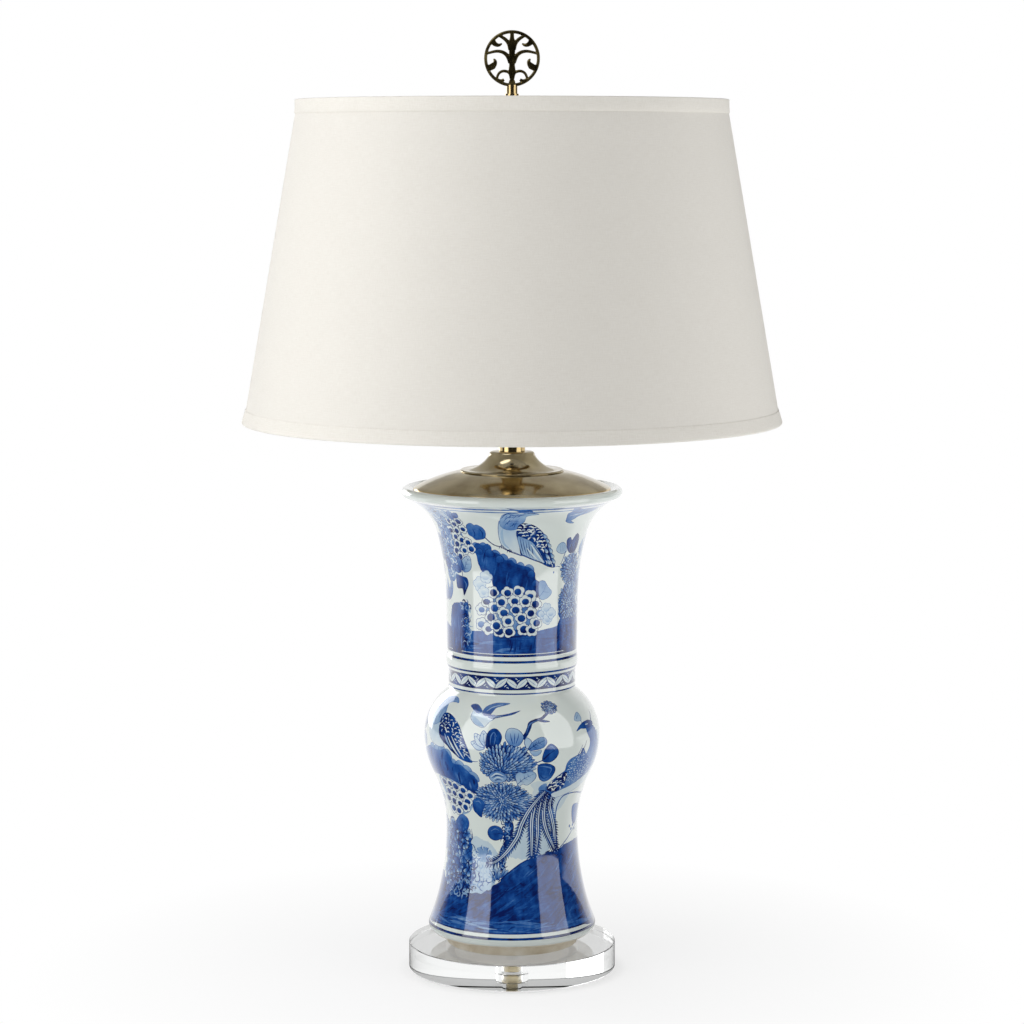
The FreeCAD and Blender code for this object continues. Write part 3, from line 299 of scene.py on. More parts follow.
@dataclass(frozen=True)
class Bisque(Finish):
    """Bare fired clay."""

    def dress(self, shader: Shader) -> None:
        """Speckles and pits the clay."""
        where = shader.place()
        patch = shader.noise(where, 60.0, 5.0)
        pits = shader.noise(where, 900.0, 4.0)
        colour = shader.ramp(patch, (0.3, paint("CBBDA3")), (0.5, paint("DDD3BF")), (0.75, paint("EAE4D6")))
        shader.set(Base_Color=colour, Roughness=0.75 + pits * 0.2, Normal=shader.bump(pits, 0.0003, 0.7))


@dataclass(frozen=True)
class Linen(Finish):
    """Plain-woven linen with slubs in both directions, on a chart in metres."""

    light: str = "E9E6DF"
    dark: str = "E1DDD5"
    thread: float = 0.0007

    def dress(self, shader: Shader) -> None:
        """Weaves the threads, with slubs that run along them."""
        across = shader.chart()
        stray = shader.noise(shader.chart((260.0, 260.0, 1.0)), 1.0, 2.0) * (self.thread * 3.0)
        along = shader.node("SeparateXYZ", values={0: across}, output=0) + stray
        up = shader.node("SeparateXYZ", values={0: across}, output=1) - stray
        warp = (along * (TURN / self.thread)).sine()
        weft = (up * (TURN / self.thread)).sine()
        weave = warp * weft
        slub_up = shader.noise(shader.chart((1600.0, 200.0, 1.0)), 1.0, 2.0)
        slub_along = shader.noise(shader.chart((120.0, 1600.0, 1.0)), 1.0, 2.0)
        slubs = (slub_up + slub_along) * 0.5
        patch = shader.noise(shader.chart((60.0, 60.0, 1.0)), 1.0, 3.0)
        tone = slubs * 0.9 + patch * 0.1
        colour = shader.ramp(tone, (0.3, paint(self.dark)), (0.7, paint(self.light)))
        relief = weave * 0.3 + slubs * 1.2
        shader.set(
            Base_Color=colour,
            Roughness=0.86 + patch * 0.1,
            Specular_IOR_Level=0.2,
            Sheen_Weight=0.15,
            Normal=shader.bump(relief, 0.0002, 0.8),
        )


@dataclass(frozen=True)
class Brass(Finish):
    """Brass, spun or cast, with fine turning marks and tarnish."""

    bright: str = "C9A765"
    tarnish: str = "8A7346"
    roughness: float = 0.22
    patch_size: float = 40.0
    turned: float = 0.0

    def dress(self, shader: Shader) -> None:
        """Blends tarnish in patches and adds turning marks round the axis."""
        where = shader.place()
        cloud = shader.noise(where, self.patch_size, 5.0)
        fine = shader.noise(where, 700.0, 3.0)
        colour = shader.ramp(cloud, (0.34, paint(self.tarnish)), (0.62, paint(self.bright)))
        values: dict[str, object] = {
            "Base_Color": colour,
            "Metallic": 1.0,
            "Roughness": self.roughness * 0.8 + cloud * self.roughness * 0.25 + fine * self.roughness * 0.15,
        }
        if self.turned:
            radius = shader.node("VectorMath", {"operation": "LENGTH"}, {0: shader.place((1.0, 1.0, 0.0))}, "Value")
            marks = shader.noise(shader.node("CombineXYZ", values={0: radius}), 2600.0, 2.0)
            values["Normal"] = shader.bump(marks, self.turned, 0.6)
        else:
            values["Normal"] = shader.bump(fine, 0.00004, 0.5)
        shader.set(**values)


@dataclass(frozen=True)
class Metal(Finish):
    """Plated or plain metal other than brass."""

    tone: str = "B9BABB"
    roughness: float = 0.25

    def dress(self, shader: Shader) -> None:
        """Adds faint scuffs to the metal."""
        where = shader.place()
        scuff = shader.noise(where, 160.0, 5.0)
        colour = shader.mix(scuff, paint(self.tone), paint("D8D9DA"))
        shader.set(
            Base_Color=colour,
            Metallic=1.0,
            Roughness=self.roughness * 0.7 + scuff * self.roughness * 0.6,
            Normal=shader.bump(scuff, 0.00004, 0.6),
        )


@dataclass(frozen=True)
class Acrylic(Finish):
    """Clear polished acrylic."""

    cloudiness: float = 0.0
    density: float = 1.49

    def dress(self, shader: Shader) -> None:
        """Makes the solid clear, with the faintest haze."""
        haze = shader.noise(shader.place(), 80.0, 2.0)
        shader.set(
            Base_Color=shader.mix(haze, paint("FBFDFC"), paint("FFFFFF")),
            Roughness=self.cloudiness + haze * 0.01,
            IOR=self.density,
            Transmission_Weight=1.0,
        )


@dataclass(frozen=True)
class Dull(Finish):
    """A plain opaque finish: resin, enamel, styrene or fibre."""

    tone: str = "E9E8E4"
    second: str = "DAD9D4"
    roughness: float = 0.4
    grain: float = 300.0
    relief: float = 0.00005

    def dress(self, shader: Shader) -> None:
        """Varies tone and gloss a little and adds a fine grain."""
        where = shader.place()
        cloud = shader.noise(where, self.grain * 0.15, 4.0)
        fine = shader.noise(where, self.grain, 3.0)
        shader.set(
            Base_Color=shader.mix(cloud, paint(self.tone), paint(self.second)),
            Roughness=self.roughness * 0.8 + fine * self.roughness * 0.4,
            Normal=shader.bump(fine, self.relief, 0.6),
        )


@dataclass(frozen=True)
class BulbGlass(Finish):
    """Frosted glass of a lamp bulb."""

    def dress(self, shader: Shader) -> None:
        """Frosts the inside a little unevenly."""
        frost = shader.noise(shader.place(), 200.0, 3.0)
        shader.set(
            Base_Color=shader.mix(frost, paint("F4F3EF"), paint("FFFFFF")),
            Roughness=0.3 + frost * 0.12,
            IOR=1.45,
            Transmission_Weight=0.55,
        )


GLAZE = Porcelain("glaze_over_cobalt", "porcelain")
FOOT_CLAY = Bisque("bare_foot", "porcelain")
LINEN = Linen("shade_linen_weave", "linen")
TAPE = Linen("trim_tape_weave", "linen", light="EEEBE4", dark="E3DFD6")
SPUN_BRASS = Brass(
    "spun_antique_brass", "satin_brass", bright="BFB394", tarnish="998B6D", roughness=0.13, turned=0.00001
)
POLISHED_BRASS = Brass("polished_brass", "bright_brass", bright="CDB584", tarnish="AC9360", roughness=0.12)
CAST_BRASS = Brass(
    "cast_dark_brass", "antique_brass", bright="6E6340", tarnish="37311F", roughness=0.3, patch_size=120.0
)
STEEL = Metal("zinc_plate", "steel")
ALUMINIUM = Metal("rolled_aluminium", "aluminium", tone="C9CACC", roughness=0.3)
CLEAR = Acrylic("clear_acrylic", "acrylic")
SOFT_CLEAR = Acrylic("soft_clear", "clear_rubber", cloudiness=0.03, density=1.12)

BLACK_RESIN = Dull("moulded_black", "moulding", tone="101010", second="1B1B1B", roughness=0.3)
BLACK_BUSH = Dull("bushing_black", "bushing", tone="0D0D0D", second="181818", roughness=0.55)
FIBRE = Dull("insulating_fibre", "liner_card", tone="8C6E49", second="A0825A", roughness=0.85, relief=0.0001)
STYRENE = Dull("styrene_backing", "shade_sheet", tone="F0EEE9", second="E6E3DC", roughness=0.35)
WHITE_ENAMEL = Dull("white_enamel", "white_wire", tone="EDEDEA", second="E2E2DE", roughness=0.3)
DARK_GLASS = Dull("bulb_base_glass", "bulb_insulator", tone="15101C", second="221A2B", roughness=0.12)
FROST = BulbGlass("frosted_bulb", "bulb_glass")


# ---- outlines and modelling


@dataclass
class Pen:
    """Draws an outline of radius and height in lines and arcs, as points."""

    points: list[Point]
    heading: tuple[float, float] = (0.0, 1.0)
    fineness: float = 0.03

    def line(self, radius: float, height: float, longest: float = 400.0) -> "Pen":
        """A straight line, cut into runs no longer than the longest."""
        start = self.points[-1]
        run, rise = radius - start[0], height - start[1]
        length = math.hypot(run, rise)
        count = max(1, math.ceil(length / longest))
        self.points += [(start[0] + run * k / count, start[1] + rise * k / count) for k in range(1, count + 1)]
        self.heading = (run / length, rise / length)
        return self

    def arc(self, radius: float, height: float) -> "Pen":
        """An arc that leaves along the pen's heading and ends at the point given."""
        x0, z0 = self.points[-1]
        run, rise = radius - x0, height - z0
        side = (self.heading[1], -self.heading[0])
        reach = side[0] * run + side[1] * rise
        bend = (run * run + rise * rise) / (2 * reach)
        self._sweep((x0 + side[0] * bend, z0 + side[1] * bend), (radius, height), abs(bend))
        length = math.hypot(run, rise)
        along = (run / length, rise / length)
        dot = along[0] * self.heading[0] + along[1] * self.heading[1]
        self.heading = (2 * along[0] * dot - self.heading[0], 2 * along[1] * dot - self.heading[1])
        return self

    def arc_over(self, middle: Point, end: Point) -> "Pen":
        """An arc through a middle point to an end point."""
        (ax, az), (bx, bz), (cx, cz) = self.points[-1], middle, end
        d = 2 * (ax * (bz - cz) + bx * (cz - az) + cx * (az - bz))
        a2, b2, c2 = ax * ax + az * az, bx * bx + bz * bz, cx * cx + cz * cz
        centre = (
            (a2 * (bz - cz) + b2 * (cz - az) + c2 * (az - bz)) / d,
            (a2 * (cx - bx) + b2 * (ax - cx) + c2 * (bx - ax)) / d,
        )
        self._sweep(centre, end, math.hypot(ax - centre[0], az - centre[1]))
        return self

    def _sweep(self, centre: Point, end: Point, bend: float) -> None:
        """Adds the points of an arc of under half a turn round a centre."""
        start = math.atan2(self.points[-1][1] - centre[1], self.points[-1][0] - centre[0])
        sweep = (math.atan2(end[1] - centre[1], end[0] - centre[0]) - start + math.pi) % TURN - math.pi
        step = min(2 * math.acos(max(0.0, 1 - self.fineness / bend)), 5.0 / bend)
        count = max(2, math.ceil(abs(sweep) / step))
        for k in range(1, count):
            angle = start + sweep * k / count
            self.points.append((centre[0] + bend * math.cos(angle), centre[1] + bend * math.sin(angle)))
        self.points.append(end)


class Bench:
    """Modelling as by hand, with operators in edit mode and modifiers that are applied."""

    @staticmethod
    def clear() -> None:
        """Goes to object mode and selects nothing."""
        if bpy.context.object and bpy.context.object.mode != "OBJECT":
            bpy.ops.object.mode_set(mode="OBJECT")
        bpy.ops.object.select_all(action="DESELECT")

    @staticmethod
    def take(*pieces: bpy.types.Object) -> None:
        """Selects pieces, the first as the active one."""
        Bench.clear()
        for piece in pieces:
            piece.select_set(True)
        bpy.context.view_layer.objects.active = pieces[0]

    @staticmethod
    def sheet(name: str, points: Sequence[Sequence[float]], edges: Sequence, faces: Sequence) -> bpy.types.Object:
        """A new piece from points in millimetres."""
        mesh = bpy.data.meshes.new(name)
        mesh.from_pydata([tuple(value * MM for value in point) for point in points], edges, faces)
        piece = bpy.data.objects.new(name, mesh)
        bpy.context.scene.collection.objects.link(piece)
        return piece

    @staticmethod
    def lathe(
        name: str,
        outline: Sequence[Point],
        steps: int = 160,
        centre: Point = (0.0, 0.0),
        level: float = 0.0,
        closed: bool = True,
        corner: float = 40.0,
    ) -> bpy.types.Object:
        """Spins an outline about an upright axis.

        Args:
            name: The piece's name.
            outline: Its points as radius and height.
            steps: Divisions of the full turn.
            centre: Where the axis stands.
            level: What is added to every height.
            closed: Whether the outline's last point joins its first.
            corner: The angle over which an edge is shaded as a corner, in degrees.

        Returns:
            The piece, with its faces outwards.
        """
        count = len(outline)
        edges = [(index, index + 1) for index in range(count - 1)] + ([(count - 1, 0)] if closed else [])
        points = [(centre[0] + radius, centre[1], height + level) for radius, height in outline]
        piece = Bench.sheet(name, points, edges, [])
        Bench.take(piece)
        bpy.ops.object.mode_set(mode="EDIT")
        bpy.ops.mesh.select_all(action="SELECT")
        axis_point = (centre[0] * MM, centre[1] * MM, 0.0)
        bpy.ops.mesh.spin(steps=steps, angle=TURN, center=axis_point, axis=(0.0, 0.0, 1.0))
        bpy.ops.mesh.select_all(action="SELECT")
        bpy.ops.mesh.remove_doubles(threshold=1e-6)
        bpy.ops.mesh.normals_make_consistent(inside=False)
        bpy.ops.object.mode_set(mode="OBJECT")
        Bench.smooth(piece, corner)
        return piece

    @staticmethod
    def smooth(piece: bpy.types.Object, corner: float = 40.0) -> None:
        """Shades a piece smooth but for its corners."""
        Bench.take(piece)
        bpy.ops.object.shade_smooth_by_angle(angle=math.radians(corner))

    @staticmethod
    def modify(piece: bpy.types.Object, kind: str, **settings: object) -> bpy.types.Object:
        """Adds a modifier and applies it."""
        Bench.take(piece)
        made = piece.modifiers.new(kind.lower(), kind)
        for name, setting in settings.items():
            setattr(made, name, setting)
        bpy.ops.object.modifier_apply(modifier=made.name)
        return piece

    @staticmethod
    def round_corners(piece: bpy.types.Object, width: float, segments: int = 3, over: float = 40.0) -> None:
        """Bevels every edge sharper than an angle in degrees by a width in millimetres."""
        Bench.modify(
            piece, "BEVEL", width=width * MM, segments=segments, limit_method="ANGLE", angle_limit=math.radians(over)
        )
        Bench.smooth(piece, over)

    @staticmethod
    def join(name: str, pieces: Sequence[bpy.types.Object]) -> bpy.types.Object:
        """Joins pieces to one."""
        Bench.take(*pieces)
        bpy.ops.object.join()
        pieces[0].name = name
        pieces[0].data.name = name
        return pieces[0]

    @staticmethod
    def copy(piece: bpy.types.Object, name: str, move: Sequence[float]) -> bpy.types.Object:
        """A copy with its own mesh, moved by millimetres."""
        mesh = piece.data.copy()
        mesh.transform(Matrix.Translation([value * MM for value in move]))
        made = bpy.data.objects.new(name, mesh)
        bpy.context.scene.collection.objects.link(made)
        return made


@dataclass
class Span:
    """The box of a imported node, in millimetres."""

    low: Vector
    high: Vector

    @classmethod
    def of(cls, node: str) -> "Span":
        """Reads a node's box."""
        low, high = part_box(node)
        return cls(Vector(low) / MM, Vector(high) / MM)


class Assembly:
    """A group of pieces that are made and dressed together."""

    def keep(
        self,
        piece: bpy.types.Object,
        finish: Finish,
        body: Body,
        replaces: Sequence[str] = (),
    ) -> bpy.types.Object:
        """Dresses a new piece and sets it on its body.

        Args:
            piece: The finished piece.
            finish: Its finish, put on where the piece has none yet.
            body: The body it rides on.
            replaces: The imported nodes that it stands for.

        Returns:
            The piece.
        """
        if not piece.data.materials:
            piece.data.materials.append(finish.material())
        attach(piece, body.value)
        if replaces:
            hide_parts(*replaces)
        LOG.info("%s: %d faces", piece.name, len(piece.data.polygons))
        return piece

    def dress(self, finish: Finish, *nodes: str) -> None:
        """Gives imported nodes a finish."""
        for node in nodes:
            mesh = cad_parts[node].data
            mesh.materials.clear()
            mesh.materials.append(finish.material())
            LOG.info("%s: %s", node, finish.name)

    def build(self) -> None:
        """Makes and dresses the pieces."""
        raise NotImplementedError


# ---- the unrolled face of the vase, and the brush


ROLL = 60.0
SEAM = (math.radians(-225.0) * ROLL, math.radians(135.0) * ROLL)
COLUMNS = 128
# Painted edges: how far they may stray, how long a run may get, which inks count as one, and a mixing number.
SLACK = 0.08
LONGEST = 4.5
ALIKE = 0.02
SHUFFLE = 2654435761
Marks = Sequence[Point]


class Profile:
    """A turned outline, looked up by the length that has run along it."""

    def __init__(self, points: Sequence[Point]) -> None:
        """Measures the outline, whose heights rise all the way."""
        self.radius, self.height = np.array(points).T
        steps = np.hypot(np.diff(self.radius), np.diff(self.height))
        self.run = np.concatenate([[0.0], np.cumsum(steps)])
        self.lean = np.gradient(self.radius, self.run)
        self.climb = np.gradient(self.height, self.run)

    def run_at(self, height: np.ndarray | float) -> np.ndarray:
        """The running length at a height."""
        return np.interp(height, self.height, self.run)

    def radius_at(self, run: np.ndarray | float) -> np.ndarray:
        """The radius at a running length."""
        return np.interp(run, self.run, self.radius)

    def wrap(self, flat: np.ndarray, level: float) -> np.ndarray:
        """Turns points of the unrolled face to points in space.

        Args:
            flat: Rows of way round and way up.
            level: The height of the outline's zero.

        Returns:
            Rows of X, Y and Z in millimetres.
        """
        angle, reach = flat[:, 0] / ROLL, self.radius_at(flat[:, 1])
        height = np.interp(flat[:, 1], self.run, self.height) + level
        return np.stack([reach * np.sin(angle), -reach * np.cos(angle), height], axis=1)

    def normals(self, places: np.ndarray, level: float) -> np.ndarray:
        """The outward normals at points in space that lie on the turned face."""
        run = self.run_at(places[:, 2] - level)
        angle = np.arctan2(places[:, 0], -places[:, 1])
        out, up = np.interp(run, self.run, self.climb), -np.interp(run, self.run, self.lean)
        found = np.stack([out * np.sin(angle), -out * np.cos(angle), up], axis=1)
        return found / np.linalg.norm(found, axis=1, keepdims=True)


def flow(points: Sequence[Point], closed: bool = False, step: float = 1.3) -> np.ndarray:
    """A smooth curve through points.

    Args:
        points: The points, in millimetres.
        closed: Whether the last joins the first.
        step: The rough distance between the curve's points.

    Returns:
        The points of the curve.
    """
    marks = np.asarray(points, float)
    count = len(marks)
    found = []
    for index in range(count if closed else count - 1):
        b, c = marks[index], marks[(index + 1) % count]
        a = marks[index - 1] if closed or index else 2 * b - c
        d = marks[(index + 2) % count] if closed or index + 2 < count else 2 * c - b
        runs = max(1, math.ceil(float(np.hypot(*(c - b))) / step))
        for t in np.arange(runs) / runs:
            cube = (-a + 3 * b - 3 * c + d) * t**3
            found.append(0.5 * (2 * b + (c - a) * t + (2 * a - 5 * b + 4 * c - d) * t * t + cube))
    if not closed:
        found.append(marks[-1])
    return np.array(found)


def ribbon(line: np.ndarray, *widths: float) -> np.ndarray:
    """The outline of a stroke along a line, whose widths are spread evenly along it."""
    along = np.gradient(line, axis=0)
    along /= np.maximum(np.linalg.norm(along, axis=1, keepdims=True), 1e-9)
    half = np.interp(np.linspace(0, 1, len(line)), np.linspace(0, 1, len(widths)), widths)[:, None] / 2
    side = np.stack([-along[:, 1], along[:, 0]], axis=1) * half
    return np.concatenate([line + side, (line - side)[::-1]])


def swell(outline: np.ndarray, width: float) -> np.ndarray:
    """A closed outline moved outwards by a width."""
    along = np.roll(outline, -1, axis=0) - np.roll(outline, 1, axis=0)
    along /= np.maximum(np.linalg.norm(along, axis=1, keepdims=True), 1e-9)
    x, y = outline.T
    turning = 1.0 if float(np.sum(x * np.roll(y, -1) - np.roll(x, -1) * y)) > 0 else -1.0
    return outline + np.stack([along[:, 1], -along[:, 0]], axis=1) * width * turning


def eased(places: np.ndarray, edges: np.ndarray, rounds: int = 8) -> np.ndarray:
    """Joins pairs of edges that run almost straight on, where no third edge meets them.

    Args:
        places: The points.
        edges: The pairs of points that are joined.
        rounds: How often it is gone through.

    Returns:
        The fewer pairs.
    """
    count = len(places)
    for _ in range(rounds):
        order = np.argsort(edges.ravel(), kind="stable")
        partner = edges[:, ::-1].ravel()[order]
        meeting = np.bincount(edges.ravel(), minlength=count)
        first = np.cumsum(meeting) - meeting
        middle = np.nonzero(meeting == 2)[0]
        left, right = partner[first[middle]], partner[first[middle] + 1]
        chord, arm = places[right] - places[left], places[middle] - places[left]
        length, share = np.linalg.norm(chord, axis=1), (arm * chord).sum(axis=1)
        bend = np.abs(chord[:, 0] * arm[:, 1] - chord[:, 1] * arm[:, 0])
        spare = (bend < SLACK * length) & (share > 0) & (share < length**2) & (length < LONGEST)
        key = np.full(count, np.inf)
        key[middle[spare]] = middle[spare] * SHUFFLE % 2**32
        spare &= (key[middle] < key[left]) & (key[middle] < key[right])
        gone = np.zeros(count, bool)
        gone[middle[spare]] = True
        joined = np.stack([left[spare], right[spare]], axis=1)
        edges = np.unique(np.sort(np.concatenate([edges[~gone[edges].any(axis=1)], joined]), axis=1), axis=0)
    return edges


def inside(places: np.ndarray, outline: np.ndarray) -> np.ndarray:
    """Which places lie inside a closed outline."""
    x, y = places[:, :1], places[:, 1:2]
    x1, y1 = outline.T
    x2, y2 = np.roll(outline, -1, axis=0).T
    crosses = (y1[None] > y) != (y2[None] > y)
    rise = np.where(y2 == y1, 1.0, y2 - y1)
    left = x < (x2 - x1)[None] * (y - y1[None]) / rise[None] + x1[None]
    return (crosses & left).sum(axis=1) % 2 == 1


@dataclass(frozen=True)
class Spot:
    """Where and how a motif is set on the face: degrees to the right of the front, height, turn and size."""

    angle: float
    height: float
    turn: float = 0.0
    size: float = 1.0


@dataclass(frozen=True)
class Patch:
    """One filled shape; its ink changes from the start to the end of a line."""

    outline: np.ndarray
    ink: float
    far_ink: float
    start: np.ndarray
    along: np.ndarray

    def inks(self, flat: np.ndarray) -> np.ndarray:
        """The ink at points of the face."""
        reach = max(float(self.along @ self.along), 1e-9)
        share = np.clip((flat - self.start) @ self.along / reach, 0.0, 1.0)
        return self.ink + (self.far_ink - self.ink) * share


class Canvas:
    """The unrolled face, the patches laid on it, and the mesh they are cut into."""

    def __init__(self, profile: Profile, rows: Sequence[float], level: float) -> None:
        """Starts an empty face.

        Args:
            profile: The face's outline.
            rows: The running lengths of its level rows.
            level: The height of the outline's zero.
        """
        self.profile = profile
        self.rows = np.array(rows)
        self.level = level
        self.patches: list[Patch] = []
        self.hole: np.ndarray | None = None
        self.shift = 0.0
        self.mirrored = False

    def at(self, marks: Marks) -> np.ndarray:
        """Points of the face at angles in degrees and heights."""
        found = np.asarray(marks, float).copy()
        turned = -found[:, 0] if self.mirrored else found[:, 0]
        return np.stack([np.radians(turned + self.shift) * ROLL, self.profile.run_at(found[:, 1])], axis=1)

    def near(self, spot: Spot, points: Sequence[Point] | np.ndarray) -> np.ndarray:
        """Points of the face at distances in millimetres from a spot."""
        (u, s), around = self.at([(spot.angle, spot.height)])[0], np.asarray(points, float) * spot.size
        cosine, sine = math.cos(math.radians(spot.turn)), math.sin(math.radians(spot.turn))
        x, y = around[:, 0] * cosine - around[:, 1] * sine, around[:, 0] * sine + around[:, 1] * cosine
        up = s + y
        return np.stack([u + (-x if self.mirrored else x) * ROLL / self.profile.radius_at(up), up], axis=1)

    def fill(
        self,
        outline: np.ndarray,
        ink: float,
        far_ink: float | None = None,
        start: np.ndarray | None = None,
        end: np.ndarray | None = None,
    ) -> None:
        """Lays a patch over what is there.

        Args:
            outline: Its outline on the face.
            ink: Its ink, or its ink at the start.
            far_ink: Its ink at the end.
            start: Where the change starts; the foot of the patch if not given.
            end: Where it ends; the top of the patch if not given.
        """
        low, high = SEAM
        round_trip = high - low
        shift = math.floor((float(outline[:, 0].mean()) - low) / round_trip) * round_trip
        start = np.array([0.0, outline[:, 1].min()]) if start is None else start - (shift, 0.0)
        end = np.array([start[0], outline[:, 1].max()]) if end is None else end - (shift, 0.0)
        moved = outline - (shift, 0.0)
        for offset in (0.0, round_trip, -round_trip):
            part = moved + (offset, 0.0)
            if part[:, 0].min() >= high or part[:, 0].max() <= low:
                continue
            part = self.trimmed(self.trimmed(part, low, 1.0), high, -1.0)
            part[:, 1] = np.clip(part[:, 1], self.rows[0] + 0.2, self.rows[-1] - 0.2)
            self.patches.append(
                Patch(part, ink, ink if far_ink is None else far_ink, start + (offset, 0.0), end - start)
            )

    @staticmethod
    def trimmed(outline: np.ndarray, limit: float, side: float) -> np.ndarray:
        """The part of an outline on one side of an upright line."""
        signed = (outline[:, 0] - limit) * side
        if signed.min() >= 0:
            return outline
        found = []
        for index, (place, depth) in enumerate(zip(outline, signed)):
            before, earlier = outline[index - 1], signed[index - 1]
            if (depth >= 0) != (earlier >= 0):
                share = earlier / (earlier - depth)
                found.append((limit, before[1] + (place[1] - before[1]) * share))
            if depth >= 0:
                found.append((place[0], place[1]))
        return np.array(found)

    def band(self, low: float, high: float, ink: float) -> None:
        """A ring of ink between two heights, all the way round."""
        across = np.linspace(*SEAM, COLUMNS + 1)
        foot, top = self.profile.run_at(low), self.profile.run_at(high)
        lower = np.stack([across, np.full_like(across, foot)], axis=1)
        upper = np.stack([across[::-1], np.full_like(across, top)], axis=1)
        outline = np.concatenate([lower, upper])
        self.patches.append(Patch(outline, ink, ink, outline[0], np.zeros(2)))

    def cut(self, radius: float, height: float, rim: float = 1.0, steps: int = 32) -> None:
        """Marks a round hole through the back, with a bare rim round it."""
        turns = np.arange(steps) * TURN / steps
        rings = []
        for reach in (radius + rim, radius):
            run = self.profile.run_at(height + reach * np.sin(turns))
            aside = np.arcsin(reach * np.cos(turns) / self.profile.radius_at(run))
            rings.append(np.stack([(aside - math.pi) * ROLL, run], axis=1))
        self.fill(rings[0], 0.0)
        self.hole = rings[1]

    @staticmethod
    def split(marks: np.ndarray, edges: np.ndarray, hole: np.ndarray | None = None) -> tuple[np.ndarray, np.ndarray]:
        """Splits the face into triangles between marks and along edges, and leaves out a hole."""
        if hole is not None:
            ring = len(marks) + np.arange(len(hole))
            marks = np.concatenate([marks, hole])
            edges = np.concatenate([edges, np.stack([ring, np.roll(ring, -1)], axis=1)])
        made = delaunay_2d_cdt([Vector(place) for place in marks], edges.tolist(), [], 0, 1e-4, False)
        flat = np.array([tuple(place) for place in made[0]])
        faces = np.array(made[2])
        if hole is not None:
            faces = faces[~inside(flat[faces].mean(axis=1), hole)]
        used, faces = np.unique(faces, return_inverse=True)
        return flat[used], faces.reshape(-1, 3)

    def inked(self, flat: np.ndarray, faces: np.ndarray) -> np.ndarray:
        """The ink in the three corners of each face."""
        ink = np.zeros((len(faces), 3))
        centres = flat[faces].mean(axis=1)
        order = np.argsort(centres[:, 1])
        climbing = centres[order, 1]
        for patch in self.patches:
            (left, low), (right, high) = patch.outline.min(axis=0), patch.outline.max(axis=0)
            rows = order[np.searchsorted(climbing, low) : np.searchsorted(climbing, high)]
            rows = rows[(centres[rows, 0] > left) & (centres[rows, 0] < right)]
            rows = rows[inside(centres[rows], patch.outline)]
            ink[rows] = patch.inks(flat[faces[rows]].reshape(-1, 2)).reshape(-1, 3) if len(rows) else 0.0
        return ink

    @staticmethod
    def shores(faces: np.ndarray, ink: np.ndarray) -> np.ndarray:
        """The edges at which the ink changes or the face ends."""
        ends = np.stack([faces, np.roll(faces, -1, axis=1)], axis=2).reshape(-1, 2)
        inks = np.stack([ink, np.roll(ink, -1, axis=1)], axis=2).reshape(-1, 2)
        swapped = ends[:, 0] > ends[:, 1]
        ends[swapped], inks[swapped] = ends[swapped, ::-1], inks[swapped, ::-1]
        order = np.lexsort((ends[:, 1], ends[:, 0]))
        ends, inks = ends[order], inks[order]
        paired = (ends[:-1] == ends[1:]).all(axis=1)
        same = paired & (np.abs(inks[:-1] - inks[1:]).max(axis=1) < ALIKE)
        kept = np.ones(len(ends), bool)
        kept[:-1][same] = False
        kept[1:][same] = False
        return np.unique(ends[kept], axis=0)

    def mesh(self, name: str, outward: bool) -> bpy.types.Object:
        """Cuts the face along all outlines and wraps it round the axis.

        Args:
            name: The piece's name.
            outward: Whether its faces look away from the axis.

        Returns:
            The piece, with its ink in the corners and bare clay in its second material.
        """
        outlines = [patch.outline for patch in self.patches]
        ends = [outline[np.isin(outline[:, 0], SEAM), 1] for outline in outlines]
        seam_rows = np.unique(np.concatenate([self.rows, *ends]).round(5))
        across, up = np.meshgrid(np.linspace(*SEAM, COLUMNS + 1)[1:-1], self.rows)
        sides = [np.stack([np.full_like(seam_rows, edge), seam_rows], axis=1) for edge in SEAM]
        frame_marks = np.concatenate([np.stack([across.ravel(), up.ravel()], axis=1), *sides])
        points, first, edges = [frame_marks], len(frame_marks), [np.zeros((0, 2), int)]
        for outline in outlines:
            count = len(outline)
            run = first + np.arange(count)
            edges.append(np.stack([run, np.roll(run, -1)], axis=1))
            points.append(np.stack([outline[:, 0], outline[:, 1].round(5)], axis=1))
            first += count
        flat, faces = self.split(np.concatenate(points), np.concatenate(edges))
        edges = eased(flat, self.shores(faces, self.inked(flat, faces)))
        used, edges = np.unique(edges, return_inverse=True)
        marks = np.concatenate([frame_marks, flat[used]])
        flat, faces = self.split(marks, edges.reshape(-1, 2) + len(frame_marks), self.hole)
        ink = self.inked(flat, faces)
        turned = faces if outward else faces[:, ::-1]
        piece = Bench.sheet(name, self.profile.wrap(flat, self.level).tolist(), [], turned.tolist())
        data = piece.data
        data.materials.append(GLAZE.material())
        data.materials.append(FOOT_CLAY.material())
        bare = (ink < -0.5).all(axis=1)
        data.polygons.foreach_set("material_index", bare.astype(np.int32))
        data.attributes.new("ink", "FLOAT", "CORNER").data.foreach_set("value", np.maximum(ink, 0.0).ravel())
        data.attributes.new("turned", "BOOLEAN", "FACE").data.foreach_set("value", np.full(len(faces), outward))
        return piece


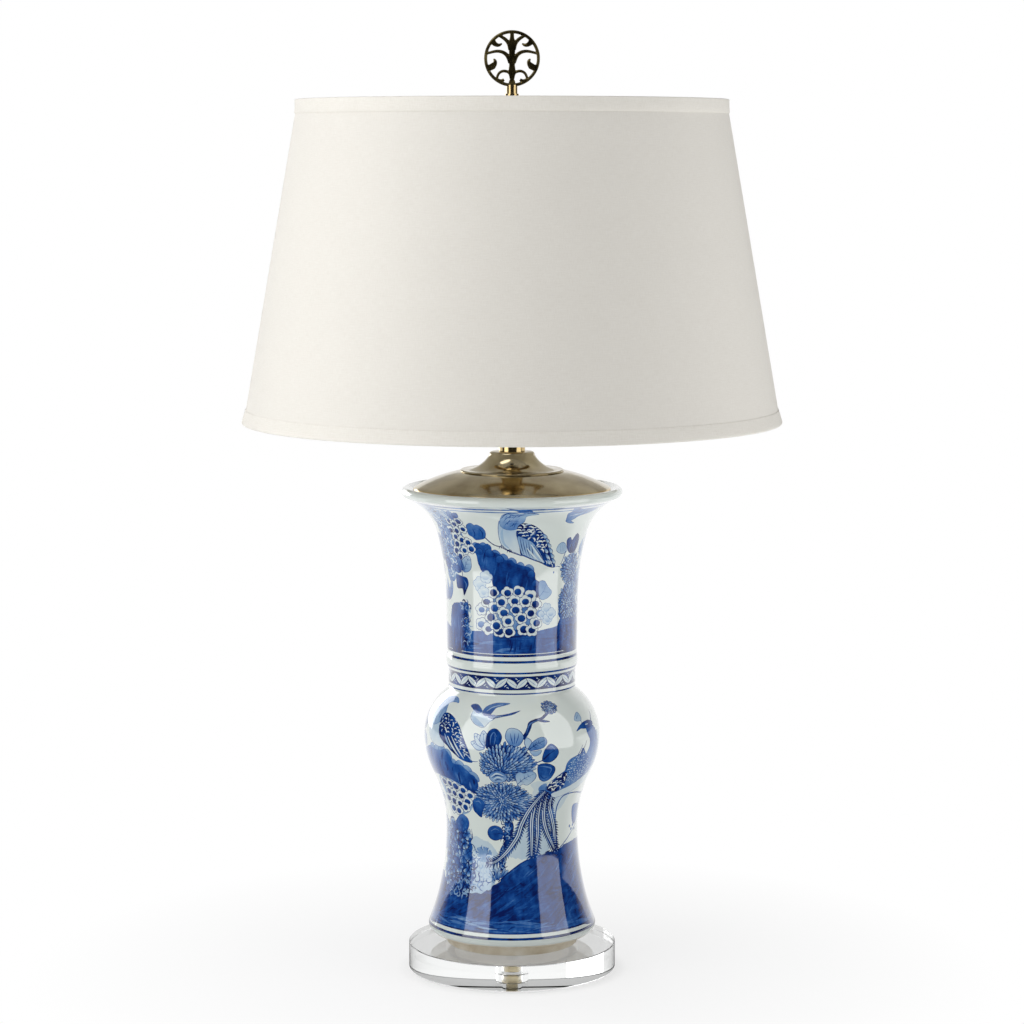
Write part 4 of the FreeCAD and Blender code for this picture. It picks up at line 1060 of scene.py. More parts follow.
class Brush:
    """Paints motifs on a canvas, line work in dark ink over washes."""

    def __init__(self, canvas: Canvas, seed: int = 7) -> None:
        """Takes the canvas and a seed for the hand's unevenness."""
        self.canvas = canvas
        self.hand = random.Random(seed)

    def area(
        self,
        marks: Marks,
        ink: float,
        top_ink: float | None = None,
        line: float = 0.0,
        width: float = 0.5,
        rough: float = 0.0,
    ) -> None:
        """A shape through marks given as angles and heights.

        Args:
            marks: Its marks.
            ink: Its ink, at the foot where the top has another.
            top_ink: Its ink at the top.
            line: The ink of its outline, or nought for none.
            width: The width of the outline.
            rough: How far its edge strays, in millimetres.
        """
        outline = flow(self.canvas.at(marks), closed=True)
        if rough:
            grain = np.array([self.hand.uniform(-1.0, 1.0) for _ in range(len(outline))])
            soft = (grain + np.roll(grain, 1) + np.roll(grain, 2)) / 1.8
            away = swell(outline, 1.0) - outline
            outline = outline + away * (soft * rough)[:, None]
        if line:
            self.canvas.fill(swell(outline, width), line)
        self.canvas.fill(outline, ink, top_ink)

    def line(self, marks: Marks, ink: float, *widths: float) -> None:
        """A stroke through marks given as angles and heights."""
        self.canvas.fill(ribbon(flow(self.canvas.at(marks), step=1.6), *widths), ink)

    def dab(
        self,
        spot: Spot,
        points: Sequence[Point],
        ink: float,
        far: float | None = None,
        line: float = 0.0,
        width: float = 0.5,
    ) -> None:
        """A closed shape round a spot, its points in millimetres; its ink may change along it."""
        outline = self.canvas.near(spot, flow(points, closed=True, step=1.2))
        if line:
            self.canvas.fill(swell(outline, width), line)
        ends = self.canvas.near(spot, [points[0], points[len(points) // 2]])
        self.canvas.fill(outline, ink, far, ends[0], ends[1])

    def stroke(self, spot: Spot, points: Sequence[Point], ink: float, *widths: float) -> None:
        """A stroke near a spot, its points in millimetres."""
        self.canvas.fill(ribbon(self.canvas.near(spot, flow(points, step=1.4)), *widths), ink)

    def petal(
        self, spot: Spot, root: Point, tip: Point, width: float, ink: float, far: float, line: float = 0.0
    ) -> None:
        """A long petal from a root to a tip, in millimetres from a spot."""
        run, rise = tip[0] - root[0], tip[1] - root[1]
        length = math.hypot(run, rise) or 1.0
        side = (-rise / length, run / length)
        shape = [(0.0, 0.12), (0.35, 0.36), (0.7, 0.5), (0.9, 0.36), (1.0, 0.0)]
        left = [(root[0] + run * t + side[0] * w * width, root[1] + rise * t + side[1] * w * width) for t, w in shape]
        right = [(root[0] + run * t - side[0] * w * width, root[1] + rise * t - side[1] * w * width) for t, w in shape]
        outline = self.canvas.near(spot, left + right[-2::-1])
        if line:
            self.canvas.fill(swell(outline, 0.42), line)
        ends = self.canvas.near(spot, [root, tip])
        self.canvas.fill(outline, ink, far, ends[0], ends[1])

    def mum(self, spot: Spot, wide: float, tall: float, core: Point = (0.0, 0.0), count: int = 26) -> None:
        """A chrysanthemum whose thin petals spread from a core.

        Args:
            spot: Its middle.
            wide: Half its width.
            tall: Half its height.
            core: Where its petals start, from the middle.
            count: The petals of its outer ring.
        """
        turns = np.linspace(0, TURN, 41)[:-1]
        bed = [(wide * 0.9 * math.cos(t), tall * 0.9 * math.sin(t)) for t in turns]
        self.dab(spot, bed, 0.9)
        for ring, share in enumerate((1.0, 0.87, 0.74, 0.61, 0.48, 0.36, 0.25)):
            petals = max(9, round(count * (0.12 + 0.88 * share)))
            for index in range(petals):
                turn = TURN * (index + 0.5 * (ring % 2) + self.hand.uniform(-0.2, 0.2)) / petals
                rim = (wide * math.cos(turn), tall * math.sin(turn))
                reach = share * self.hand.uniform(0.93, 1.06)
                tip = (core[0] + (rim[0] - core[0]) * reach, core[1] + (rim[1] - core[1]) * reach)
                root = tuple(core[k] + (rim[k] - core[k]) * max(0.05, share - 0.34) for k in (0, 1))
                width = TURN * share * (wide + tall) * 0.5 / petals * 0.6
                light = self.hand.choice((0.08, 0.18, 0.3, 0.46))
                self.petal(spot, root, tip, width, 0.76, light, 0.97)
        for turn in range(0, 360, 72):
            a = math.radians(turn + 20)
            eye = (core[0] + 1.5 * math.cos(a), core[1] + 1.5 * math.sin(a))
            self.petal(spot, core, (eye[0] + math.cos(a), eye[1] + math.sin(a)), 1.1, 0.4, 0.12)

    def floret(self, spot: Spot, radius: float, heart: float = 0.86, line: float = 0.72, white: float = 0.03) -> None:
        """A five-lobed floret with a dark heart."""
        lean, count = self.hand.uniform(0, TURN), self.hand.choice((4, 5, 5))
        turns = np.linspace(0, TURN, 5 * count + 1)[:-1]
        lobes = [0.7 + 0.34 * abs(math.cos(count / 2 * t)) ** 0.6 for t in turns]
        ring = [(radius * k * math.cos(t + lean), radius * k * math.sin(t + lean)) for t, k in zip(turns, lobes)]
        outline = self.canvas.near(spot, ring)
        self.canvas.fill(swell(outline, 0.42), line)
        self.canvas.fill(outline, white)
        size, pull = radius * self.hand.uniform(0.54, 0.68), self.hand.uniform(-0.14, 0.14) * radius
        flat = self.hand.uniform(0.75, 1.0)
        eye = [(size * math.cos(t) + pull, size * flat * math.sin(t) - 0.06 * radius) for t in turns[::2]]
        self.canvas.fill(self.canvas.near(spot, eye), heart, heart - 0.22)
        for index in range(count):
            t = lean + TURN * (index + 0.5) / count
            ends = [(radius * k * math.cos(t), radius * k * math.sin(t)) for k in (0.72, 0.86)]
            self.canvas.fill(ribbon(self.canvas.near(spot, ends), 0.2, 0.5), line)

    def leaf(
        self, spot: Spot, length: float, width: float, ink: float, far: float, line: float = 0.8, veins: int = 3
    ) -> None:
        """A pointed leaf from its stalk at the spot, along the spot's turn.

        Args:
            spot: Its stalk end.
            length: Its length.
            width: Its width.
            ink: Its ink at the stalk.
            far: Its ink at the tip.
            line: The ink of outline and veins.
            veins: The number of side veins on each half.
        """
        shape = [(0, 0), (0.2, 0.36), (0.45, 0.5), (0.75, 0.34), (1, 0.02), (0.78, -0.3), (0.48, -0.48), (0.2, -0.38)]
        self.dab(spot, [(x * length, y * width) for x, y in shape], ink, far, line)
        self.stroke(spot, [(0, 0), (length * 0.5, width * 0.04), (length * 0.9, 0)], line, 0.6, 0.4, 0.15)
        for index in range(veins):
            x = length * (0.2 + 0.55 * index / max(1, veins - 1 or 1))
            for side in (1, -1):
                self.stroke(spot, [(x, 0), (x + length * 0.16, side * width * 0.3)], line, 0.4, 0.15)

    def round_leaf(self, spot: Spot, radius: float, ink: float = 0.68) -> None:
        """A round leaf in a dark wash."""
        ring = [(radius * math.cos(t), radius * 0.93 * math.sin(t)) for t in np.linspace(0, TURN, 9)[:-1]]
        self.dab(spot, ring, ink, ink + 0.14, 0.95, 0.5)
        self.stroke(
            spot, [(-radius * 0.6, radius * 0.2), (0, radius * 0.55), (radius * 0.55, radius * 0.3)], ink - 0.2, 0.2,
            0.9, 0.2
        )
        self.stroke(spot, [(radius * 0.7, 0), (0, -radius * 0.15), (-radius * 0.4, -radius * 0.1)], 0.95, 0.6, 0.2)

    def streaks(
        self, marks: Marks, count: int, lean: float, length: float, inks: Point, widths: Point = (0.8, 2.6)
    ) -> None:
        """Brush marks within a wash.

        Args:
            marks: The wash's marks, which the brush marks keep within.
            count: How many there are.
            lean: Their direction from level, in degrees.
            length: Their mean length.
            inks: The palest and the darkest ink.
            widths: The least and the most width.
        """
        outline = flow(self.canvas.at(marks), closed=True, step=4.0)
        low, high = outline.min(axis=0), outline.max(axis=0)
        if self.canvas.mirrored:
            lean = 180.0 - lean
        for _ in range(count):
            middle = np.array([self.hand.uniform(low[0], high[0]), self.hand.uniform(low[1], high[1])])
            turn = math.radians(lean + self.hand.uniform(-9, 9))
            half = length * self.hand.uniform(0.3, 0.7) * np.array([math.cos(turn), math.sin(turn)])
            bow = np.array([-half[1], half[0]]) * self.hand.uniform(-0.12, 0.12)
            line = np.array([middle - half, middle + bow, middle + half])
            if inside(line, outline).all():
                width = self.hand.uniform(*widths)
                self.canvas.fill(ribbon(flow(line, step=3.0), 0.1, width, width * 0.8, 0.1), self.hand.uniform(*inks))

    def scales(self, marks: Marks, pitch: float, ink: float, size: float = 0.5) -> None:
        """Rows of small pale crescents within a shape."""
        outline = flow(self.canvas.at(marks), closed=True, step=4.0)
        for index, place in enumerate(self.scatter(outline, pitch)):
            w = pitch * size * self.hand.uniform(0.7, 1.25)
            shape = np.array(
                [
                    (-w, 0), (-w * 0.6, w * 0.8), (w * 0.4, w * 0.9), (w, 0.1), (w * 0.45, w * 0.3),
                    (-w * 0.4, w * 0.25)
                ]
            )
            turn = self.hand.uniform(-0.9, 0.9) + (0.5 if index % 2 else -0.5)
            spin = np.array([[math.cos(turn), math.sin(turn)], [-math.sin(turn), math.cos(turn)]])
            self.canvas.fill(place + shape @ spin, ink + self.hand.choice((0.0, 0.0, 0.12)))

    def scatter(self, outline: np.ndarray, pitch: float) -> list[np.ndarray]:
        """Uneven places within an outline, about a pitch apart."""
        low, high = outline.min(axis=0), outline.max(axis=0)
        places = []
        for row, up in enumerate(np.arange(low[1] + pitch * 0.4, high[1], pitch * 0.9)):
            for across in np.arange(low[0] + pitch * (0.4 + 0.6 * (row % 2)), high[0], pitch * 1.2):
                place = np.array([across, up]) + [self.hand.uniform(-0.26, 0.26) * pitch for _ in (0, 1)]
                if inside(place[None], outline)[0]:
                    places.append(place)
        return places

    def bramble(self, marks: Marks, pitch: float, *inks: float) -> None:
        """Short curls and tufts all over a shape, as of a thicket."""
        outline = flow(self.canvas.at(marks), closed=True, step=4.0)
        for place in self.scatter(outline, pitch):
            turn, grow = self.hand.uniform(0, TURN), pitch * self.hand.uniform(0.45, 0.8)
            spin = np.array([[math.cos(turn), math.sin(turn)], [-math.sin(turn), math.cos(turn)]])
            curl = flow([(-1.0, -0.5), (-0.3, 0.5), (0.6, 0.5), (1.0, -0.4), (0.4, -0.7)], step=0.5)
            width = self.hand.uniform(0.7, 1.4)
            self.canvas.fill(ribbon(place + curl @ spin * grow, 0.2, width, width, 0.2), self.hand.choice(inks))

    def rosettes(self, marks: Marks, pitch: float) -> None:
        """Rounded sprays of shaded petals all over a shape, as of dense blossom."""
        outline = flow(self.canvas.at(marks), closed=True, step=4.0)
        for place in self.scatter(outline, pitch):
            start, lobes = self.hand.uniform(0, TURN), self.hand.choice((4, 5, 6))
            reach = pitch * self.hand.uniform(0.6, 0.8)
            for index in range(lobes):
                turn = start + TURN * index / lobes
                spin = np.array([[math.cos(turn), math.sin(turn)], [-math.sin(turn), math.cos(turn)]])
                lobe = flow(
                    [(0.1, 0.0), (0.5, 0.34), (0.95, 0.26), (1.0, -0.14), (0.6, -0.36)], closed=True, step=0.3
                )
                shape = place + (lobe * reach) @ spin
                self.canvas.fill(swell(shape, 0.42), 0.96)
                light = self.hand.choice((0.1, 0.24, 0.4, 0.55))
                self.canvas.fill(shape, 0.8, light, place, place + np.array([reach, 0.0]) @ spin)

    def bumps(self, marks: Marks, size: float, inks: Point) -> None:
        """Rounded lumps with lit tops along an edge."""
        for angle, height in marks:
            grow = size * self.hand.uniform(0.75, 1.2)
            shape = [(-grow, -grow), (-grow, grow * 0.3), (0, grow), (grow, grow * 0.3), (grow, -grow)]
            self.dab(Spot(angle, height), shape, inks[0], inks[1], inks[0] + 0.12, 0.35)


class Composition:
    """Birds and flowers among rocks, in two scenes that face front and back."""

    def __init__(self, canvas: Canvas) -> None:
        """Takes the canvas."""
        self.canvas = canvas
        self.brush = Brush(canvas)

    def paint(self) -> None:
        """Paints grounds, scenes, fillers and rings."""
        for shift, mirrored in ((0.0, False), (190.0, True)):
            self.canvas.shift, self.canvas.mirrored = shift, mirrored
            self.grounds()
        for shift, mirrored in ((0.0, False), (190.0, True)):
            self.canvas.shift, self.canvas.mirrored = shift, mirrored
            self.upper_flowers()
            self.upper_bird()
            self.lower_rocks()
            self.lower_flowers()
            self.lower_birds()
        self.canvas.shift, self.canvas.mirrored = 0.0, False
        self.rings()

    def grounds(self) -> None:
        """The washes of rock and ground."""
        b = self.brush
        ground = [
            (-96, 259.5), (-60, 258.8), (0, 258.8), (50, 258.8), (97, 259.5), (97, 277), (77, 281), (59, 287.5),
            (47, 287), (43, 281), (30, 279), (14, 277), (5, 280), (-8, 277.5), (-20, 278), (-40, 277), (-66, 277),
            (-80, 280), (-96, 277)
        ]
        b.area(ground, 0.8, 0.62)
        b.streaks(ground, 90, 1.5, 30.0, (0.5, 0.95), (0.8, 2.6))
        b.streaks([(-4, 260), (24, 260), (26, 277), (0, 276)], 34, 80.0, 9.0, (0.78, 1.0), (0.8, 1.8))
        b.area(
            [(44, 259.6), (97, 259.6), (97, 277), (77, 282), (62, 290), (47, 287), (42, 275)], 0.96, 0.86, rough=0.5
        )
        b.bramble([(46, 262), (92, 262), (92, 276), (60, 286), (46, 282)], 4.2, 0.7, 0.98, 0.8)
        rock = [
            (-30.2, 350.7), (-26.8, 352.9), (-23.3, 351.2), (-19.6, 352.6), (-16.2, 350.3), (-15.3, 345.9),
            (-11.3, 344.7), (-7.3, 342.3), (-5.1, 338.8), (-0.4, 339.2), (3.1, 336), (10.2, 333.4), (15.1, 332),
            (19.1, 326.8), (20.7, 321.6), (24.1, 318.9), (23.7, 307.7), (21, 305), (17, 305), (10, 306), (-0.4, 307),
            (-9, 307), (-15.3, 312), (-17.1, 320.5), (-22, 326), (-25.7, 328.9), (-28.5, 336.3), (-29.8, 343.8)
        ]
        b.bumps(
            [(-29, 349), (-22.5, 350), (-13.5, 343.4), (-7, 340.8), (-0.4, 337.4), (6.6, 334.2), (13.6, 331)], 3.6,
            (0.6, 0.42)
        )
        b.area(rock, 0.94, 0.66, rough=0.35)
        b.area(
            [
                (-15, 343), (-8, 340), (-3, 336), (6, 332), (14, 329), (19, 322), (21, 312), (12, 308), (-8, 309),
                (-15, 320)
            ],
            0.92, 0.8
        )
        b.streaks(rock, 60, 78.0, 11.0, (0.66, 1.0), (0.8, 2.2))
        b.bumps([(-26, 346), (-18, 345), (-10, 340), (16, 327), (20, 319)], 2.8, (0.82, 0.6))
        block = [
            (-61.4, 297.8), (-52, 299.6), (-42.4, 300.6), (-40.2, 292.7), (-40.4, 280.1), (-44.2, 260.9),
            (-66.4, 260), (-66.5, 289.6)
        ]
        b.area(block, 0.94, 0.66, rough=0.5)
        b.streaks(block, 30, 86.0, 16.0, (0.55, 1.0), (1.0, 2.6))
        b.bramble([(-50, 299), (-39, 297), (-38, 262), (-47, 262)], 3.6, 0.3, 0.95, 0.98, 0.6)
        for angle, height in ((-48, 296), (-44, 288), (-47, 281), (-43, 275), (-46, 268)):
            b.stroke(Spot(angle, height), [(-3, 1), (-0.5, 3), (2, 1), (3.5, 2.4)], 0.97, 0.3, 1.1, 0.3)
            b.stroke(Spot(angle, height), [(-2, -2), (0, -0.4), (2.6, -1.4)], 0.12, 0.2, 0.6, 0.2)

    def upper_flowers(self) -> None:
        """Florets, mums, leaves and buds between the neck's ground and the mouth."""
        b = self.brush
        b.dab(
            Spot(0, 296), [(-20, -15), (-22, 0), (-17, 11), (-4, 15), (11, 13), (19, 4), (19, -9), (6, -16)], 0.3,
            0.55
        )
        florets = [
            (-27, 283.5), (-21.5, 280), (-27, 296), (-21, 303), (-16, 311), (-10.6, 278.5), (-2.3, 278), (9, 280),
            (17, 279), (21.5, 285), (24, 293), (20, 301), (15.3, 308), (5.1, 312), (-4.1, 311), (-18, 290),
            (-15, 298), (-14, 283), (11, 303.5), (-7.9, 303), (16, 293.5), (1, 304), (-8, 294), (3.3, 296.5),
            (8.5, 289.4), (-3, 287)
        ]
        for angle, height in florets:
            pale = angle < -24 or angle > 23
            b.floret(
                Spot(angle + b.hand.uniform(-0.8, 0.8), height), b.hand.uniform(5.0, 5.6), 0.6 if pale else 0.98,
                0.8 if pale else 0.92
            )
        for spot, size in ((Spot(-28, 317.5, 20), 6.2), (Spot(-22, 324), 5.4), (Spot(-25, 311, 50), 5.0)):
            b.floret(spot, size, 0.26, 0.42, 0.1)
        pale_leaf = [
            (23.4, 319), (28.2, 319.9), (31.9, 314.7), (35.9, 310), (32.3, 305.9), (26.6, 304.4), (23.7, 307.7)
        ]
        b.area(pale_leaf, 0.28, 0.36, 0.6, 0.35)
        b.line([(24, 307), (28, 312), (30, 317)], 0.55, 0.5, 0.2)
        b.line([(27.5, 311), (33, 310)], 0.55, 0.4, 0.2)
        for angle, height in ((28, 292), (32, 287.5), (31, 296.5), (36, 292)):
            b.floret(Spot(angle, height), 4.6, 0.3, 0.4, 0.12)
        heart = [
            (-34, 363.3), (-33.1, 367.9), (-29.3, 370.2), (-26.9, 368.3), (-24.9, 369), (-21.2, 366.5),
            (-19.6, 362.2), (-20.7, 357.7), (-24.5, 356.2), (-28.3, 355.9), (-30.8, 358.4), (-33.1, 359.5)
        ]
        b.area(heart, 0.64, 0.48, 0.74, 0.4)
        b.stroke(Spot(-26, 362), [(-3.6, 3.4), (-2.4, -1), (-3.6, -4)], 0.82, 0.3, 0.9, 0.3)
        b.stroke(Spot(-23, 362), [(-1, 4.6), (1.4, 0), (0.6, -4.4)], 0.8, 0.3, 1.2, 0.3)
        b.line(
            [(-20.7, 358.4), (-16.6, 354), (-12.7, 351.4), (-8.2, 350.1), (-3.8, 347.4), (0.7, 345.3), (7.6, 342.7)],
            0.9, 0.9, 0.7, 0.8
        )
        cluster = [
            (-47.7, 370.4), (-44, 368.2), (-39, 371), (-51, 362.2), (-43.8, 362.3), (-37.6, 364.2), (-47.7, 356.8),
            (-41.8, 354.5), (-36, 352.8), (-46.9, 350.6), (-49.3, 344.5), (-40.3, 345.6), (-45.5, 340), (-33.5, 347.4)
        ]
        thicket = [(-66, 384), (-50, 384), (-42, 376), (-40, 350), (-48, 330), (-58, 318), (-68, 320), (-70, 350)]
        b.area(thicket, 0.5, 0.34, rough=0.9)
        b.bramble(thicket, 4.6, 0.12, 0.9, 0.72, 0.05)
        for angle, height in cluster:
            b.floret(Spot(angle, height), 4.3, 0.96, 0.9)
        b.leaf(Spot(-44, 373, 66), 12, 7, 0.6, 0.45, 0.75, 2)
        b.leaf(Spot(-47, 372, 118), 11, 6, 0.2, 0.1, 0.6, 2)
        b.leaf(Spot(-41, 374, 48), 10, 5.5, 0.7, 0.6, 0.85, 2)
        b.leaf(Spot(-52, 360, 165), 9, 6, 0.5, 0.35, 0.7, 2)
        b.leaf(Spot(-44, 327, 60), 16, 11, 0.36, 0.14, 0.7, 3)
        b.leaf(Spot(-45, 328, 112), 13, 6, 0.6, 0.4, 0.8, 2)
        b.leaf(Spot(-47, 327, 160), 10, 6, 0.7, 0.5, 0.85, 2)
        dark = [
            (-53.8, 322.6), (-47, 322.5), (-41.1, 321.4), (-39.8, 316.5), (-42.6, 311.2), (-45.5, 306.5), (-47, 312),
            (-53.9, 312.5)
        ]
        b.area(dark, 0.92, 0.8, 0.98, 0.3)
        b.stroke(Spot(-44, 316), [(-1, 4), (1.6, 0), (0, -5)], 0.45, 0.2, 1.0, 0.2)
        b.line([(-44.5, 341), (-45.5, 333), (-46, 323)], 0.85, 0.6, 0.7)
        swallow = [
            (38.1, 374.1), (36.6, 378.3), (38.5, 380.2), (37.5, 383), (40, 383.4), (45.7, 381.8), (57.4, 381.4),
            (63, 379.6), (57, 377), (49.2, 375.4), (45.3, 372.6), (43.6, 370.8), (47.5, 368.7), (43.1, 369.1),
            (39, 371)
        ]
        b.area(swallow, 0.4, 0.5, 0.74, 0.3)
        b.line([(38.6, 380.3), (45, 378.6), (56, 380)], 0.78, 0.3, 0.9, 0.3)
        b.line([(39.5, 376), (44, 376.5), (50, 377.6)], 0.16, 0.3, 1.2, 0.3)
        bud = [
            (46.8, 353.7), (50.2, 355.6), (53, 353), (57.7, 358), (62, 355.4), (63, 348.8), (60, 342.9),
            (54.2, 341.7), (49.2, 345.6)
        ]
        b.area(bud, 0.95, 0.8, 0.98, 0.3)
        for x in (-1.5, 1.5, 4.0):
            b.stroke(Spot(54, 349), [(x - 1, -5), (x - 0.4, 0), (x + 1.5, 5)], 0.5, 0.1, 0.6, 0.1)
        b.area(
            [(37.5, 345.7), (38.9, 350.6), (43.1, 352.1), (47.3, 348.2), (48, 343.6), (42.6, 342.7)], 0.14, 0.24, 0.7,
            0.35
        )
        for x in (-2.5, 0.0, 2.5):
            b.stroke(Spot(43, 347), [(x + 1.5, -3), (x, 2.6)], 0.62, 0.4, 0.2)
        b.line([(47.5, 344), (45, 336), (43, 333)], 0.8, 0.9, 0.5)
        b.area(
            [(46, 286), (44, 300), (50, 314), (60, 322), (74, 322), (84, 300), (82, 282), (60, 280)], 0.7, 0.6,
            rough=0.8
        )
        b.mum(Spot(61, 300, 0), 18, 17, (-1, -1), 34)
        b.mum(Spot(57, 329, 0), 13, 14, (0.5, -4), 26)
        b.bramble([(70, 318), (88, 318), (90, 350), (72, 352), (66, 340)], 4.4, 0.5, 0.85, 0.2)
        b.leaf(Spot(72, 316, 60), 15, 10, 0.4, 0.2, 0.7)
        b.leaf(Spot(74, 312, 5), 14, 9, 0.62, 0.5, 0.85)
        b.leaf(Spot(70, 339, 75), 14, 8, 0.5, 0.3, 0.75)
        b.leaf(Spot(73, 338, 30), 13, 7, 0.3, 0.15, 0.65)
        for angle, height in ((80, 288), (86, 292), (90, 286), (83, 297), (90, 299), (77, 300)):
            b.floret(Spot(angle, height), 4.6, 0.86, 0.74)
        b.line([(76, 346), (84, 352), (92, 350)], 0.85, 1.4, 1.0, 0.6)
        for angle, height, turn in ((80, 350, 80), (84, 352, 40), (88, 352, -30), (92, 350, 10), (84, 351, -80)):
            b.leaf(Spot(angle, height, turn), 9, 5, 0.6, 0.35, 0.8, 2)
        for angle, height, turn in ((-70, 300, 100), (-73, 300, 130), (-68, 301, 70), (-78, 299, 110)):
            b.leaf(Spot(angle, height, turn), 18, 6, 0.66, 0.3, 0.8, 3)
        b.mum(Spot(-76, 345), 13, 12.5, (0, -2), 22)
        b.round_leaf(Spot(-86, 326), 6.5)
        b.round_leaf(Spot(-66, 332), 5.2)

    def upper_bird(self) -> None:
        """The bird on the branch under the mouth."""
        b = self.brush
        breast = [
            (-7.9, 373.5), (-6.4, 368), (-1.9, 366), (3.7, 366.4), (4.5, 360.2), (6.7, 353.7), (9, 345.2), (7, 343.6),
            (3, 345.4), (-2.6, 347.6), (-7.6, 352), (-9.4, 358.8), (-9.6, 365.3), (-8.9, 370.7)
        ]
        b.area(breast, 0.05, 0.22, 0.8, 0.4)
        b.line([(-6.5, 367), (-7.4, 360), (-6, 353), (-2, 349)], 0.24, 0.5, 2.4, 2.0, 0.5)
        hood = [
            (-6.6, 377.5), (-3.7, 380.5), (-0.3, 381.2), (4, 380.2), (7.4, 380.4), (10, 382.6), (11.9, 381.2),
            (16.3, 379.4), (12, 378.6), (8.8, 377.3), (8, 372.7), (5, 369.4), (2.7, 365.8), (-2.4, 365.2),
            (-6.4, 367), (-8.1, 370.7)
        ]
        b.area(hood, 0.4, 0.26, 0.7, 0.25)
        b.streaks(
            [(-6.5, 377), (-1, 380.5), (7, 379), (6, 371), (2, 366.5), (-5, 367.5)], 44, 66.0, 7.0, (0.3, 0.8),
            (0.3, 0.9)
        )
        b.line([(-6.8, 375.6), (-4, 379.6), (-0.3, 380.8), (4, 379.8)], 0.86, 0.3, 1.1, 0.3)
        b.line([(-5.4, 373), (-2, 377), (4, 376.6)], 0.7, 0.2, 0.9, 0.2)
        b.line([(-4.6, 369.6), (-1, 373.4), (4.6, 373)], 0.66, 0.2, 0.8, 0.2)
        b.line([(-1.6, 368), (1.6, 370.6), (5, 370.6)], 0.66, 0.2, 0.7, 0.2)
        b.line([(-2.5, 380.2), (2.5, 378.2), (8, 379.4)], 0.8, 0.3, 1.5, 0.5)
        b.line([(9, 380.6), (12.2, 380.6), (16.4, 379.4)], 0.9, 1.8, 1.1, 0.2)
        b.area(
            [(-3.7, 386.4), (2.9, 384.8), (9.4, 384), (12.2, 381.8), (7.4, 380.6), (3, 382.4), (-1.8, 385.2)], 0.7,
            0.86
        )
        wing = [
            (5, 369.4), (8.4, 371), (14.5, 369.1), (20.7, 364.2), (26.6, 356.7), (31, 347.5), (36, 335.7),
            (37.2, 331.4), (30.5, 332.6), (23.7, 336.2), (16, 339.3), (10, 342.3), (7, 344.2), (5.7, 352.5),
            (3.5, 360.2), (3.7, 365.4)
        ]
        b.area(wing, 0.86, 0.9, 0.95, 0.4)
        b.scales(
            [
                (5, 369), (14.5, 368.4), (20.7, 363.4), (26, 356.7), (28, 350), (23, 342), (20.3, 349), (15.2, 355),
                (4, 360)
            ],
            3.1, 0.02, 0.62
        )
        for angle, height in (
            (24.6, 359), (27, 355.4), (29, 351.2), (31, 346.6), (33, 341.8), (34.8, 337.2), (27, 346.6),
            (28.6, 341.6), (30.4, 336.8)
        ):
            b.petal(Spot(angle, height, -58), (-2.2, 0), (3.4, 0.6), 2.6, 0.5, 0.06, 0.95)
        plumes = [
            (4.1, 358.9), (9.4, 357.5), (15.2, 354.1), (20.3, 347.5), (26.9, 336.4), (23.7, 336.9), (16, 340),
            (10, 343.2), (7.6, 345)
        ]
        b.area(plumes, 0.16, 0.4, 0.92, 0.3)
        for x in range(5):
            b.line(
                [
                    (5.8 + 2.2 * x, 358.2 - 1.1 * x), (7.4 + 2.3 * x, 350.5 - 1.6 * x),
                    (9.2 + 2.7 * x, 343.8 - 1.3 * x)
                ],
                0.9, 0.2, 0.7, 0.2
            )
        b.line([(14.4, 352.3), (19.4, 345), (25.6, 336.6)], 0.04, 0.5, 1.7, 0.5)
        b.line([(11.6, 349), (16.2, 343.4), (20.8, 338.6)], 0.05, 0.5, 1.5, 0.5)
        b.line([(16.8, 351), (22, 343.6), (27.2, 336.4)], 0.9, 0.3, 0.7, 0.3)
        for angle, height in ((31.4, 339.6), (33.6, 336), (29.3, 336.4), (35, 333.4)):
            b.stroke(Spot(angle, height), [(-1.6, 1.4), (0, -0.2), (-0.2, -2)], 0.05, 0.2, 0.9, 0.2)
        b.dab(Spot(9.9, 381.5), [(-0.9, 0), (0, 0.8), (0.9, 0), (0, -0.8)], 0.05)
        b.dab(Spot(10, 381.5), [(-0.45, 0), (0, 0.4), (0.45, 0), (0, -0.4)], 0.98)
        for angle, height in ((-8.2, 350.1), (-2.1, 346.6)):
            for x in (-1.5, 0.2, 1.7):
                b.stroke(Spot(angle, height), [(0.4, 1.6), (x, 0.4), (x * 1.2, -1.3)], 0.92, 0.4, 0.7, 0.2)
        b.line([(37.4, 331.3), (40.2, 331.8), (43.1, 331)], 0.85, 0.3, 0.5, 0.5)
        b.dab(Spot(36.8, 326.9), [(-0.7, 0), (0, 1.2), (0.7, 0), (0, -1.1)], 0.75)

